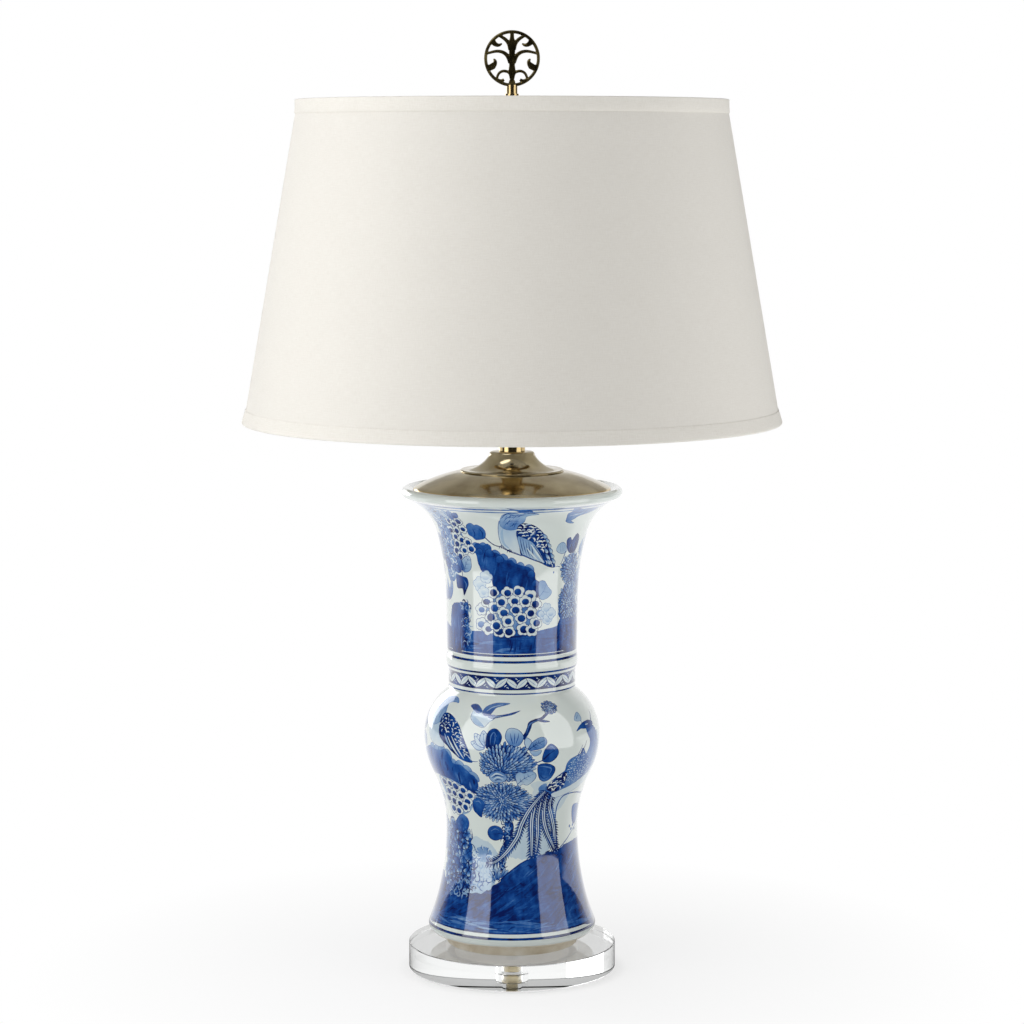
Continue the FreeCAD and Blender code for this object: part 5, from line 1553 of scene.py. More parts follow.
    def lower_rocks(self) -> None:
        """The hill, its washes, the trunk and the ferns under the belly."""
        b = self.brush
        hill = [
            (-96, 22.7), (-50, 22.6), (0, 22.6), (50, 22.6), (97, 22.7), (97, 90), (89.5, 92), (65.4, 93),
            (51.3, 91.4), (42.1, 88.7), (34.3, 88.4), (27.2, 86.6), (18.5, 84.9), (12.2, 81.8), (6.2, 78.6),
            (-3.6, 71.2), (-11.2, 64.1), (-17, 60.8), (-24.7, 56.7), (-38.9, 55), (-47, 58), (-54.4, 56), (-62, 58),
            (-75, 60), (-96, 62)
        ]
        b.area(hill, 0.9, 0.78, rough=0.4)
        b.area(
            [
                (-96, 22.7), (-50, 22.6), (0, 22.6), (50, 22.6), (97, 22.7), (97, 31), (50, 33), (20, 29), (-20, 34),
                (-60, 31), (-96, 33)
            ],
            0.55, 0.84, rough=0.5
        )
        b.streaks([(-96, 26), (97, 26), (97, 58), (-96, 58)], 150, 2.0, 30.0, (0.7, 1.0), (1.0, 3.0))
        b.streaks(hill, 260, 36.0, 24.0, (0.7, 1.0), (1.0, 3.2))
        b.streaks(
            [(4, 68), (34, 86), (90, 88), (90, 66), (40, 68), (8, 58)], 46, 38.0, 16.0, (0.55, 0.75), (0.5, 1.4)
        )
        b.streaks([(-96, 24.8), (97, 24.8), (97, 33), (-96, 33)], 70, 1.0, 26.0, (0.5, 0.84), (0.9, 2.6))
        b.streaks([(-50, 24.8), (-8, 24.8), (-10, 33), (-50, 34)], 18, 1.0, 16.0, (0.3, 0.6), (1.2, 2.8))
        b.line(
            [(-11.2, 64.6), (-3.6, 71.8), (6.2, 79.2), (12.2, 82.4), (18.5, 85.3), (27.2, 87), (34.3, 89)], 0.97, 0.9,
            1.2, 1.0
        )
        b.line([(46, 90), (56, 96), (66, 102), (78, 107)], 0.75, 0.9, 0.6)
        for angle, height in ((15, 77), (26, 80), (48, 83), (53, 74), (60, 66), (8, 62), (40, 84)):
            b.stroke(Spot(angle, height), [(-4, -1), (-1, 1.4), (1.5, -0.6), (4, 1.2)], 0.98, 0.3, 1.7, 0.3)
        wash = [
            (-67, 176), (-60.7, 174.7), (-54.6, 175), (-49, 176.5), (-44.7, 173), (-42.8, 166), (-36.5, 165.5),
            (-32.9, 162.3), (-29.5, 158.6), (-25.5, 154.8), (-25.4, 148.4), (-27.5, 140.6), (-32.5, 141),
            (-37.4, 143.5), (-42.3, 147), (-49.2, 148.9), (-57.4, 150.4), (-68, 151), (-80, 150), (-92, 148),
            (-92, 166), (-80, 172)
        ]
        b.bumps(
            [(-64, 175), (-58, 174), (-52, 175), (-47, 173), (-42, 166), (-37, 165), (-32, 161), (-28, 156)], 4.4,
            (0.5, 0.3)
        )
        b.area(wash, 0.84, 0.5, rough=0.5)
        b.streaks(wash, 90, 80.0, 9.0, (0.5, 0.95), (0.9, 2.4))
        b.area(
            [
                (14, 150), (22, 152), (32, 150), (44, 144), (52, 139), (46, 128), (38, 118), (36, 96), (30, 88),
                (2, 84), (-6, 96), (8, 118), (16, 136)
            ],
            0.12, 0.07, rough=1.0
        )
        b.area([(20, 147), (24, 150), (30, 147), (36, 142), (33, 134), (27, 137), (21, 141)], 0.62, 0.4, rough=0.5)
        b.area([(-38, 98), (-24, 98), (-12, 88), (-14, 64), (-24, 55), (-44, 56)], 0.2, 0.1, rough=1.0)
        self.brush.line(
            [
                (-4.6, 118.5), (-2.2, 111.6), (-3.8, 104.2), (-3.4, 98.1), (-7.3, 91), (-8.2, 87), (-7.7, 81),
                (-9.6, 74)
            ],
            1.0, 7.6, 8.0, 6.6, 6.4, 5.4, 4.6
        )
        self.brush.line(
            [(-4.6, 118), (-2.4, 111.6), (-4, 104.2), (-3.6, 98.1), (-7.4, 91), (-8.3, 87), (-7.9, 81), (-9.6, 75)],
            0.66, 6.2, 6.6, 5.2, 4.8, 3.6, 2.6
        )
        b.bramble([(-8, 118), (0, 118), (1, 100), (-4, 90), (-6, 74), (-12, 74), (-9, 92)], 2.6, 0.95, 0.3, 0.98)
        b.dab(Spot(-2.4, 97), [(-3.4, 0), (-1, 3), (3, 2.4), (3.8, -2), (0, -3.6)], 0.86, 0.7, 0.95)
        for angle, height, turn in (
            (-13, 66, 75), (-13, 66, 100), (-12, 66, 55), (-11, 66, 88), (-9, 68, 70), (-14, 65, 122), (-8, 69, 50)
        ):
            b.petal(Spot(angle, height, turn), (0, 0), (b.hand.uniform(7, 12), 0), 1.8, 0.6, 0.2, 0.85)
        self.ferns()

    def ferns(self) -> None:
        """The tall bush at the left and the ferns at its foot."""
        b = self.brush
        bush = [(-70, 106), (-50, 108), (-39, 101), (-36, 88), (-32, 74), (-36, 58), (-54, 50), (-68, 60), (-74, 84)]
        b.area(bush, 0.8, 0.7, rough=0.9)
        b.rosettes(bush, 7.6)
        b.bramble(bush, 8.5, 0.97, 0.9, 0.95)
        b.bramble([(-60, 66), (-36, 68), (-30, 58), (-40, 50), (-60, 50)], 4.2, 0.98, 0.3, 0.9)
        b.area([(-33, 90), (-28, 93), (-22, 93), (-17.6, 89), (-19, 83), (-25, 80), (-31, 84)], 0.3, 0.45)
        for angle, height, turn in (
            (-29, 88, 120), (-25, 90, 80), (-21, 88, 50), (-27, 84, 160), (-23, 84, 20), (-31, 85, 180)
        ):
            b.stroke(
                Spot(angle, height, turn), [(0, 0), (2.6, 1.6), (5, 0.4), (4.4, -1.6), (2.6, -1)], 0.1, 0.4, 1.1, 0.3
            )
            b.stroke(Spot(angle, height, turn + 30), [(0.4, 0), (3, 1.4), (5, 0)], 0.76, 0.3, 0.7, 0.2)
        b.bramble([(-34, 78), (-18, 78), (-15, 64), (-25, 57), (-35, 58)], 4.2, 0.4, 0.62, 0.78, 0.3)
        for angle in (-28, -25, -22, -19):
            b.stroke(
                Spot(angle, 82), [(0, 0), (b.hand.uniform(-2, 2), -9), (b.hand.uniform(-2, 3), -19)], 0.2, 0.5, 1.0,
                0.2
            )

    def lower_flowers(self) -> None:
        """Mums, leaves and florets on the belly."""
        b = self.brush
        b.line(
            [
                (6.9, 190), (9.7, 194.9), (11.6, 199.5), (12.7, 202.7), (16.7, 204.7), (21.2, 205.8), (24.3, 207.9),
                (28.2, 211.2)
            ],
            0.92, 3.0, 2.8, 3.2, 2.4, 2.2, 2.6
        )
        b.line([(18.6, 204.6), (23.5, 203.4), (26.8, 203)], 0.9, 2.2, 2.4, 0.8)
        b.line([(9.5, 194.6), (12.4, 202), (20, 205.4)], 0.5, 0.2, 0.9, 0.2)
        b.mum(Spot(29.6, 213.6), 7.4, 6.6, (0, -1.0), 13)
        for spot, grow, ink, far in (
            (Spot(-18, 182, 160), 1.0, 0.26, 0.1),
            (Spot(-18, 183, 130), 1.1, 0.16, 0.08),
            (Spot(-17.6, 184, 98), 1.0, 0.3, 0.12),
        ):
            b.leaf(spot, 12.5 * grow, 7.5, ink, far, 0.62, 2)
        bud = [
            (-17, 184.7), (-16.8, 191.6), (-14.9, 196.5), (-11.9, 198.3), (-9.4, 197.3), (-6.9, 193), (-7.3, 188),
            (-9.9, 183), (-13, 182), (-16.2, 182)
        ]
        b.area(bud, 0.95, 0.82, 0.98, 0.3)
        b.stroke(Spot(-11.8, 190), [(-3, -5), (-2.6, 2), (0, 5.6), (2.2, 2)], 0.46, 0.2, 0.8, 0.2)
        b.stroke(Spot(-11.8, 190), [(0, -6), (1.2, 0), (0.4, 4)], 0.55, 0.2, 0.7, 0.2)
        b.area(
            [
                (-4.2, 192.1), (-2.7, 197.9), (0.8, 198.8), (4.7, 196.9), (7.3, 192), (5.4, 186.2), (2.3, 184.3),
                (-1.8, 186.2)
            ],
            0.5, 0.16, 0.78, 0.4
        )
        for x in (-2.6, 0.4, 3.2):
            b.stroke(Spot(1.4, 191), [(x * 0.4, -5), (x, 0), (x * 1.2, 4)], 0.74, 0.3, 0.7, 0.2)
        b.area([(8.1, 187.1), (9.3, 190.9), (11.8, 189.2), (12.4, 186), (9.9, 181.7)], 0.16, 0.2, 0.8, 0.4)
        b.area(
            [(10.7, 181.1), (13.1, 186.9), (18, 190.5), (21.6, 190.2), (22.8, 186.2), (20.2, 182.5), (15.4, 180.8)],
            0.52, 0.34, 0.8, 0.4
        )
        b.line([(11, 181.4), (16, 185.4), (21.6, 188.4)], 0.88, 0.7, 0.3)
        for x in (0.0, 3.0, 6.0):
            b.stroke(Spot(13.4 + x * 0.55, 183.4 + x * 0.42), [(0, 0), (1.2, 3.0)], 0.85, 0.6, 0.2)
            b.stroke(Spot(14.2 + x * 0.6, 183.6 + x * 0.42), [(0, 0), (2.2, -1.4)], 0.85, 0.6, 0.2)
        b.area([(11.5, 179.6), (15.4, 179.3), (18.8, 180.4), (18.3, 177.4), (14.7, 175.5)], 0.34, 0.2, 0.76, 0.3)
        b.mum(Spot(-3.4, 169.6), 24.5, 17.5, (-5.6, -9.2), 42)
        b.line([(14, 169), (17.4, 170), (20.4, 171.4)], 0.8, 1.0, 0.8)
        b.line([(13, 168.5), (16, 168), (19, 166.6)], 0.8, 0.9, 0.7)
        for marks in (
            [
                (20.3, 171.1), (21.1, 178.3), (23.5, 183.1), (26.1, 184.5), (29.4, 181.5), (31.1, 177.1),
                (29.2, 172.2), (25, 169.4)
            ],
            [
                (17.3, 164.1), (18.4, 167.6), (23.4, 168), (28.5, 164.9), (29.7, 160.7), (27.3, 154.6), (23, 152.2),
                (19.2, 155.5)
            ],
        ):
            b.area(marks, 0.66, 0.74, 0.92, 0.5)
        b.line([(20.8, 172), (24.6, 176.4), (29, 179.6)], 0.96, 1.6, 0.4)
        b.line([(23.4, 182), (26.6, 182.4), (29, 179)], 0.45, 0.3, 1.0, 0.3)
        b.line([(18.6, 166), (23, 165.4), (27, 163), (26, 158)], 0.46, 0.3, 1.2, 1.0, 0.3)
        b.line([(19.6, 158), (22, 155), (25.6, 156)], 0.9, 0.3, 1.4, 0.3)
        b.mum(Spot(-7.6, 134.6), 25.0, 19.5, (-0.6, 0.6), 46)
        curl = [(-15.5, 158), (-11, 162.4), (-5.5, 160.6), (-3.6, 156), (-7, 152.6), (-13, 152.4)]
        b.area(curl, 0.3, 0.46, 0.84, 0.45)
        b.line([(-14.4, 157), (-10.4, 160.2), (-5.6, 158.4)], 0.08, 0.4, 1.6, 0.4)
        b.line([(-13, 154.6), (-9.6, 157), (-6, 155.2)], 0.08, 0.4, 1.4, 0.4)
        b.line([(-14, 155.8), (-10, 158.8), (-5.2, 156.8)], 0.86, 0.3, 0.9, 0.3)
        b.line([(-12, 153.4), (-9.4, 155), (-7, 153.8)], 0.86, 0.3, 0.9, 0.3)
        pale = [
            (3.3, 153.1), (2.4, 158.5), (4.8, 161.6), (8, 160.3), (10.4, 161.6), (14.5, 161.2), (16.4, 157.8),
            (15, 153.6), (11, 149.6), (7.5, 150.8), (5.1, 148.7)
        ]
        b.area(pale, 0.1, 0.3, 0.74, 0.4)
        b.line([(3.6, 150), (8, 155.4), (14.4, 159.4)], 0.74, 0.6, 0.3)
        for angle, height, x in ((6, 153, 3), (8.5, 155.6, 3), (11, 157.4, 2.4)):
            b.stroke(Spot(angle, height), [(0, 0), (-0.4, x)], 0.7, 0.5, 0.2)
            b.stroke(Spot(angle, height), [(0, 0), (x, -0.8)], 0.7, 0.5, 0.2)
        b.area(
            [(-66, 150), (-50, 150), (-36, 143), (-31, 134), (-38, 122), (-52, 118), (-62, 126), (-68, 140)], 0.3, 0.3
        )
        for angle, height in (
            (-61, 146), (-53.5, 145.5), (-47.2, 144), (-40.3, 141.5), (-34.6, 137.5), (-58, 138), (-51, 137),
            (-44.6, 135.8), (-38, 131.5), (-62, 131), (-55, 129.5), (-48, 128.6), (-41.5, 126), (-58, 122.6),
            (-50, 121.6)
        ):
            b.floret(Spot(angle, height), 4.9, 0.92, 0.88)
        b.area(
            [
                (-32.3, 132.9), (-27.6, 136), (-23, 132.9), (-23.1, 128.5), (-25.2, 124), (-26.4, 119), (-30, 121.3),
                (-33.2, 125.2)
            ],
            0.82, 0.64, 0.9, 0.4
        )
        b.stroke(Spot(-28, 129), [(-2.6, 3.4), (0.6, 4.4), (2.8, 2)], 0.42, 0.2, 1.0, 0.2)
        b.area(
            [
                (-54, 114), (-48, 118.5), (-42, 117), (-39.7, 112.8), (-41, 107.6), (-46.7, 103.8), (-53, 104.4),
                (-57.1, 109)
            ],
            0.7, 0.56, 0.76, 0.3
        )
        for turn in range(0, 360, 40):
            b.petal(Spot(-48, 111, turn), (1.4, 0), (6.2, 0), 2.2, 0.82, 0.5)
        b.round_leaf(Spot(-14.4, 105.9), 6.6)
        b.line([(-9.4, 105.6), (-5.6, 104.6)], 0.9, 1.4, 1.0)
        b.area([(61, 123), (68, 124.6), (75, 122), (76, 113), (72, 107), (65, 109)], 0.7, 0.56, 0.8, 0.3)
        for angle, height in ((60, 106), (63, 103), (66, 106), (70, 102)):
            b.dab(Spot(angle, height), [(-1.4, 0), (0, 1.6), (1.5, 0), (0, -1.4)], 0.7, 0.5)
        b.round_leaf(Spot(84, 150), 6.0)
        b.round_leaf(Spot(92, 160), 5.4)
        b.leaf(Spot(86, 164, 80), 14, 8, 0.5, 0.25, 0.76)
        b.mum(Spot(92, 184), 12, 11, (0, -2), 20)
        b.mum(Spot(-84, 196), 11, 9.5, (0, -2), 18)
        b.leaf(Spot(-80, 186, -60), 13, 8, 0.6, 0.4, 0.8)
        b.leaf(Spot(-88, 186, -115), 13, 8, 0.4, 0.2, 0.75)
        b.line([(-84, 188), (-86, 176), (-84, 168)], 0.85, 1.2, 1.6)
        for angle, height in ((-78, 140), (-85, 143), (-74, 131), (-82, 133), (-90, 135), (-78, 123), (-86, 125)):
            b.floret(Spot(angle, height), 4.2, 0.86, 0.76)
        b.mum(Spot(-80, 100), 13, 14, (0, -3), 22)
        b.leaf(Spot(-78, 84, 60), 14, 8, 0.6, 0.35, 0.8)
        b.leaf(Spot(-80, 82, 120), 14, 8, 0.45, 0.25, 0.8)

    def lower_birds(self) -> None:
        """The perched bird, the swallow and the long-tailed bird."""
        b = self.brush
        belly = [
            (-68, 198), (-69.5, 189.3), (-65.4, 182), (-58, 178.4), (-50, 179), (-51.4, 184.7), (-54.8, 190),
            (-56.5, 198)
        ]
        b.area(belly, 0.06, 0.2, 0.7, 0.35)
        neck = [
            (-64.1, 217), (-59.8, 218.6), (-54.2, 219), (-49.6, 217.8), (-46.6, 215.2), (-50, 215.4), (-54.6, 214.8),
            (-57, 213), (-56, 210.3), (-54.8, 206.4), (-55.4, 203), (-56.9, 199.5), (-61.9, 195.7), (-67, 195.4),
            (-69.4, 201.2), (-68.6, 207.2)
        ]
        b.area(neck, 0.3, 0.46, 0.66, 0.3)
        b.streaks(
            [(-66, 214), (-58, 217), (-57, 208), (-58, 199), (-66, 198)], 12, 80.0, 8.0, (0.28, 0.6), (0.6, 1.3)
        )
        b.line([(-64, 217.4), (-67, 219.6)], 0.6, 0.8, 0.2)
        b.dab(Spot(-53.4, 217.2), [(-0.6, 0), (0, 0.6), (0.6, 0), (0, -0.6)], 0.9)
        wing = [
            (-55.6, 205.7), (-50.3, 206.3), (-45, 204.3), (-40.4, 201), (-37.1, 197), (-34.5, 191.7), (-31.3, 184.2),
            (-28.8, 177.4), (-27.6, 171.3), (-26.8, 168.8), (-30.8, 168.9), (-35.9, 170.9), (-39.4, 174),
            (-43.3, 176.9), (-46.1, 180.3), (-49.7, 182.7), (-53.9, 186.4), (-55.9, 190.9), (-56.9, 196.8),
            (-57.1, 201.5)
        ]
        b.area(wing, 0.86, 0.9, 0.92, 0.3)
        b.scales(
            [
                (-55.6, 205), (-45, 203.5), (-37.5, 197), (-31.8, 184), (-28, 171), (-30, 170), (-36, 178),
                (-40, 186), (-46, 190), (-56, 194)
            ],
            2.9, 0.04
        )
        b.line([(-46.5, 188.5), (-41.6, 180), (-36.4, 172.4)], 0.05, 0.5, 1.8, 0.5)
        b.line([(-43, 189), (-38, 180), (-33, 171.4)], 0.08, 0.5, 1.6, 0.5)
        b.line([(-49.6, 190), (-46.6, 184), (-42.6, 178.2)], 0.3, 0.5, 1.8, 0.5)
        for index in range(5):
            b.line([(-39 + 1.9 * index, 190 - 3.6 * index), (-35.2 + 1.6 * index, 188 - 3.6 * index)], 0.08, 0.9, 0.4)
        b.line([(-28, 170), (-25, 169.6), (-22.6, 170)], 0.8, 0.6, 0.6, 0.3)
        body = [
            (-33.4, 214.4), (-32, 215.7), (-28.3, 215.9), (-24.7, 213.8), (-22, 211), (-17.4, 210.2), (-14.5, 208.4),
            (-12.6, 206.1), (-15.7, 203.7), (-19.3, 199), (-23.8, 200.1), (-27.4, 202.3), (-30, 206), (-29.9, 210.7),
            (-29.8, 213.2)
        ]
        b.area(body, 0.05, 0.3, 0.74, 0.35)
        b.area(
            [
                (-33.4, 214.2), (-32, 215.6), (-28.3, 215.8), (-24.7, 213.8), (-22.4, 210.6), (-26, 209.4),
                (-29.6, 211.6)
            ],
            0.66, 0.74
        )
        b.area([(-29.6, 207), (-27, 206.6), (-22, 203), (-19, 199.4), (-23.8, 200.3), (-27.4, 202.6)], 0.34, 0.24)
        b.area(
            [
                (-22, 210.6), (-20.5, 214.3), (-16.4, 216.7), (-10.8, 217.9), (-1.6, 217.6), (-6.6, 216),
                (-12, 214.4), (-14.2, 211.6), (-16.4, 208.6), (-20, 208)
            ],
            0.8, 0.5, 0.86, 0.25
        )
        b.line([(-19, 211.4), (-15, 214.6), (-7, 216.8)], 0.2, 0.4, 0.9, 0.2)
        b.area(
            [
                (-18.2, 209.4), (-11.1, 208.8), (-4.3, 209.8), (1.7, 211.4), (6.4, 212.4), (0.9, 209.4),
                (-5.9, 207.8), (-11.8, 206.4), (-15.8, 206)
            ],
            0.84, 0.74
        )
        b.line([(-16.4, 207.6), (-12, 207.4), (-6.5, 208.6)], 0.3, 0.3, 0.8, 0.2)
        self.long_tail()

    def long_tail(self) -> None:
        """The long-tailed bird at the right with its trailing feathers."""
        b = self.brush
        b.line(
            [
                (84.8, 135.9), (75.1, 133.1), (63, 135.6), (53.2, 136.8), (44, 135.3), (39.8, 127.5), (39.5, 116.9),
                (39.2, 106)
            ],
            0.78, 1.6, 1.2, 1.0, 1.2, 0.9
        )
        b.line([(75, 133.4), (73, 127), (74.6, 122)], 0.75, 0.9, 0.4)
        lines = [
            [(33, 139), (31.8, 128.7), (35, 119.5), (38.6, 108.6), (39.6, 100.3), (41.3, 87)],
            [(27.9, 142), (26.9, 128.2), (27.9, 116.3), (31.4, 105.5), (36.5, 95.6), (40.7, 87.9)],
            [(25.4, 142), (22.6, 129.7), (21.9, 116.9), (22.4, 105.4), (21.4, 94.2), (20.1, 85)],
            [(24.4, 142), (19.6, 132.1), (17.2, 121.5), (16.8, 111), (17.2, 100.6), (17, 90.5), (16.9, 84)],
            [
                (27, 144), (20.3, 135.3), (13.6, 125), (8.1, 113.5), (5.3, 104.2), (1.6, 98.1), (-3.4, 91.1),
                (-9.4, 84.8), (-15.4, 80.6), (-22.6, 79.6)
            ],
        ]
        for marks in lines:
            self.feather(marks)
        breast = [
            (73, 188), (80, 182), (84, 172), (84, 158), (76, 148), (62, 141.5), (48, 137.6), (35.6, 135.6),
            (31.6, 139), (36, 141), (50.6, 144.9), (64, 151), (72, 160), (76, 172)
        ]
        b.area(breast, 0.06, 0.14, 0.55, 0.3)
        neck = [
            (58.3, 193.6), (63, 194), (67.5, 193.4), (71.5, 189), (75.5, 180), (78, 170), (76, 160), (70, 157),
            (60, 159), (54.6, 167.4), (57.6, 171.2), (61, 176.5), (61.4, 182.8), (58.8, 188.3)
        ]
        b.area(neck, 0.46, 0.62, 0.7, 0.3)
        b.streaks(neck, 30, 78.0, 11.0, (0.34, 0.86), (0.6, 1.5))
        body = [
            (53.2, 177), (57.8, 170), (68, 162), (69.6, 153.6), (60, 149.4), (50.4, 145.5), (39.8, 142.2),
            (31.4, 140.6), (25.4, 144), (28.8, 151.2), (33.9, 156.2), (38.2, 159.8), (39, 165.5), (41.7, 169.4),
            (46.7, 171.3), (50.5, 172.4)
        ]
        b.area(body, 0.5, 0.6, 0.8, 0.3)
        b.scales(
            [(53, 175), (57, 169), (66, 160), (66, 154), (52, 147.6), (42, 149), (40, 158), (41, 166), (46.7, 169.6)],
            2.3, 0.14
        )
        b.area(
            [(27.6, 149), (33.9, 156), (40, 158.4), (42, 150), (39.8, 143), (32.4, 141.2), (26.4, 144)], 0.95, 0.95
        )
        b.scales(
            [(27.8, 149), (33.9, 155.4), (39.6, 157.6), (41.4, 150), (39.6, 143.6), (32.4, 142), (27, 144.2)], 3.0,
            0.0, 0.62
        )
        b.line([(51, 172), (54.4, 177), (57.4, 183)], 0.8, 1.0, 0.3)
        b.line([(48, 171.4), (50.6, 175.6), (52.6, 180)], 0.75, 0.9, 0.3)
        head = [
            (47.4, 192.4), (51.8, 196.4), (57, 198.3), (63.4, 198.6), (68.6, 196.4), (67, 193.6), (61, 193),
            (55.8, 193), (52, 193.8)
        ]
        b.area(head, 0.72, 0.84, 0.9, 0.25)
        b.line([(57.4, 195.9), (61.6, 195.9)], 0.1, 0.5, 1.3, 0.4)
        b.dab(Spot(57.6, 195.9), [(-0.5, 0), (0, 0.5), (0.5, 0), (0, -0.5)], 0.97)
        b.line([(66, 196), (69, 200.4), (71.5, 206)], 0.88, 1.6, 1.0, 0.2)
        b.line([(55.4, 196.4), (54, 199.6), (53.4, 202)], 0.75, 0.6, 0.5)
        b.area([(47.9, 201), (50.1, 205), (53.5, 206.8), (55.2, 203.4), (54.2, 200)], 0.2, 0.3, 0.72, 0.3)
        b.line([(50, 202), (52.6, 204.6)], 0.66, 0.5, 0.3)

    def feather(self, marks: Marks) -> None:
        """A long feather with a barbed dark edge and a pale quill."""
        b = self.brush
        line = flow(self.canvas.at(marks), step=2.6)
        along = np.gradient(line, axis=0)
        along /= np.linalg.norm(along, axis=1, keepdims=True)
        side = np.stack([-along[:, 1], along[:, 0]], axis=1)
        self.canvas.fill(ribbon(line, 3.0, 6.4, 7.0, 6.0, 3.4), 0.3)
        for index in range(1, len(line) - 1):
            for hand in (1, -1):
                root = line[index] + side[index] * hand * 1.2
                tip = line[index] + side[index] * hand * b.hand.uniform(4.0, 5.6) + along[index] * 2.4
                self.canvas.fill(
                    ribbon(np.array([root, (root + tip) / 2, tip]), 1.7, 1.3, 0.3), b.hand.uniform(0.8, 0.98)
                )
        self.canvas.fill(ribbon(line, 2.4, 4.0, 4.2, 3.8, 2.4), 0.9)
        self.canvas.fill(ribbon(line[1:-1], 1.2, 2.6, 2.8, 2.4, 1.0), 0.08)
        self.canvas.fill(ribbon(line[1:-1], 0.5, 0.9, 0.8, 0.4), 0.8)

    def rings(self) -> None:
        """The rings on foot, band and mouth, and the leaf band."""
        b, c = self.brush, self.canvas
        c.band(7.1, 11.5, -1.0)
        for low, high, ink in (
            (17.2, 19.2, 0.95),
            (22.0, 23.2, 0.9),
            (224.0, 225.2, 0.8),
            (227.9, 239.4, 0.95),
            (241.5, 243.1, 0.9),
            (250.8, 252.8, 0.92),
            (256.1, 258.2, 0.92),
            (380.9, 381.8, 0.5),
            (383.3, 384.7, 0.62),
        ):
            c.band(low, high, ink)
        across = 38
        for index in range(across):
            lean, mirror = (38.0, 1) if index % 2 else (142.0, -1)
            spot = Spot(360.0 * index / across, 233.65, lean)
            b.dab(
                spot, [(-6.8, 0.0), (-2.8, 2.1), (1.6, 2.3), (6.8, 0.2), (2.4, -2.0), (-2.0, -2.1)], 0.04, None, 0.97,
                0.4
            )
            b.stroke(spot, [(-5.0, 0.0), (4.6, 0.2)], 0.4, 0.2, 0.5, 0.2)
            beside = Spot(spot.angle + 180.0 / across, 233.65)
            for x, y, turn in ((-0.8, 3.6, 0.5), (0.9, 2.0, -0.8), (-1.0, -2.2, 0.9), (0.8, -3.8, -0.4)):
                curl = [(x - 1.0, y - turn * mirror), (x, y + 0.3), (x + 1.1, y + turn * mirror)]
                b.stroke(beside, curl, 0.08, 0.3, 0.9, 0.3)


# ---- the lamp's assemblies


@dataclass
class Base(Assembly):
    """The clear disc with its bumpers, and the steel in its recess."""

    disc_radius: float = 89.0
    recess_radius: float = 9.2
    recess_depth: float = 8.0
    bore_radius: float = 5.6
    polish: float = 0.6
    bumper_radius: float = 5.0
    bumper_circle: float = 72.0
    bumper_gap: float = 0.03

    def build(self) -> None:
        """Turns the disc and its bumpers."""
        disc = Span.of("base_disc")
        low, high = disc.low.z, disc.high.z
        outline = [
            (self.recess_radius, low),
            (self.disc_radius, low),
            (self.disc_radius, high),
            (self.bore_radius, high),
            (self.bore_radius, low + self.recess_depth),
            (self.recess_radius, low + self.recess_depth),
        ]
        piece = Bench.lathe("clear_disc", outline, steps=256)
        Bench.round_corners(piece, self.polish)
        self.keep(piece, CLEAR, Body.LAMP, ["base_disc"])
        top = low - self.bumper_gap
        dome = [
            (0.0, 0.0), (3.4, 0.0), (4.3, 0.3), (4.85, 0.9), (self.bumper_radius, 1.6), (self.bumper_radius, top),
            (0.0, top)
        ]
        offset = self.bumper_circle / math.sqrt(2)
        first = Bench.lathe("bumper_domes", dome, steps=32, centre=(offset, offset), closed=False)
        others = [
            Bench.copy(first, f"bumper_{index}", (x, y, 0.0))
            for index, (x, y) in enumerate(((-2 * offset, 0.0), (0.0, -2 * offset), (-2 * offset, -2 * offset)))
        ]
        self.keep(Bench.join("bumper_domes", [first, *others]), SOFT_CLEAR, Body.LAMP, ["base_bumpers"])
        self.dress(SPUN_BRASS, "base_washer", "base_nut", "lamp_pipe")


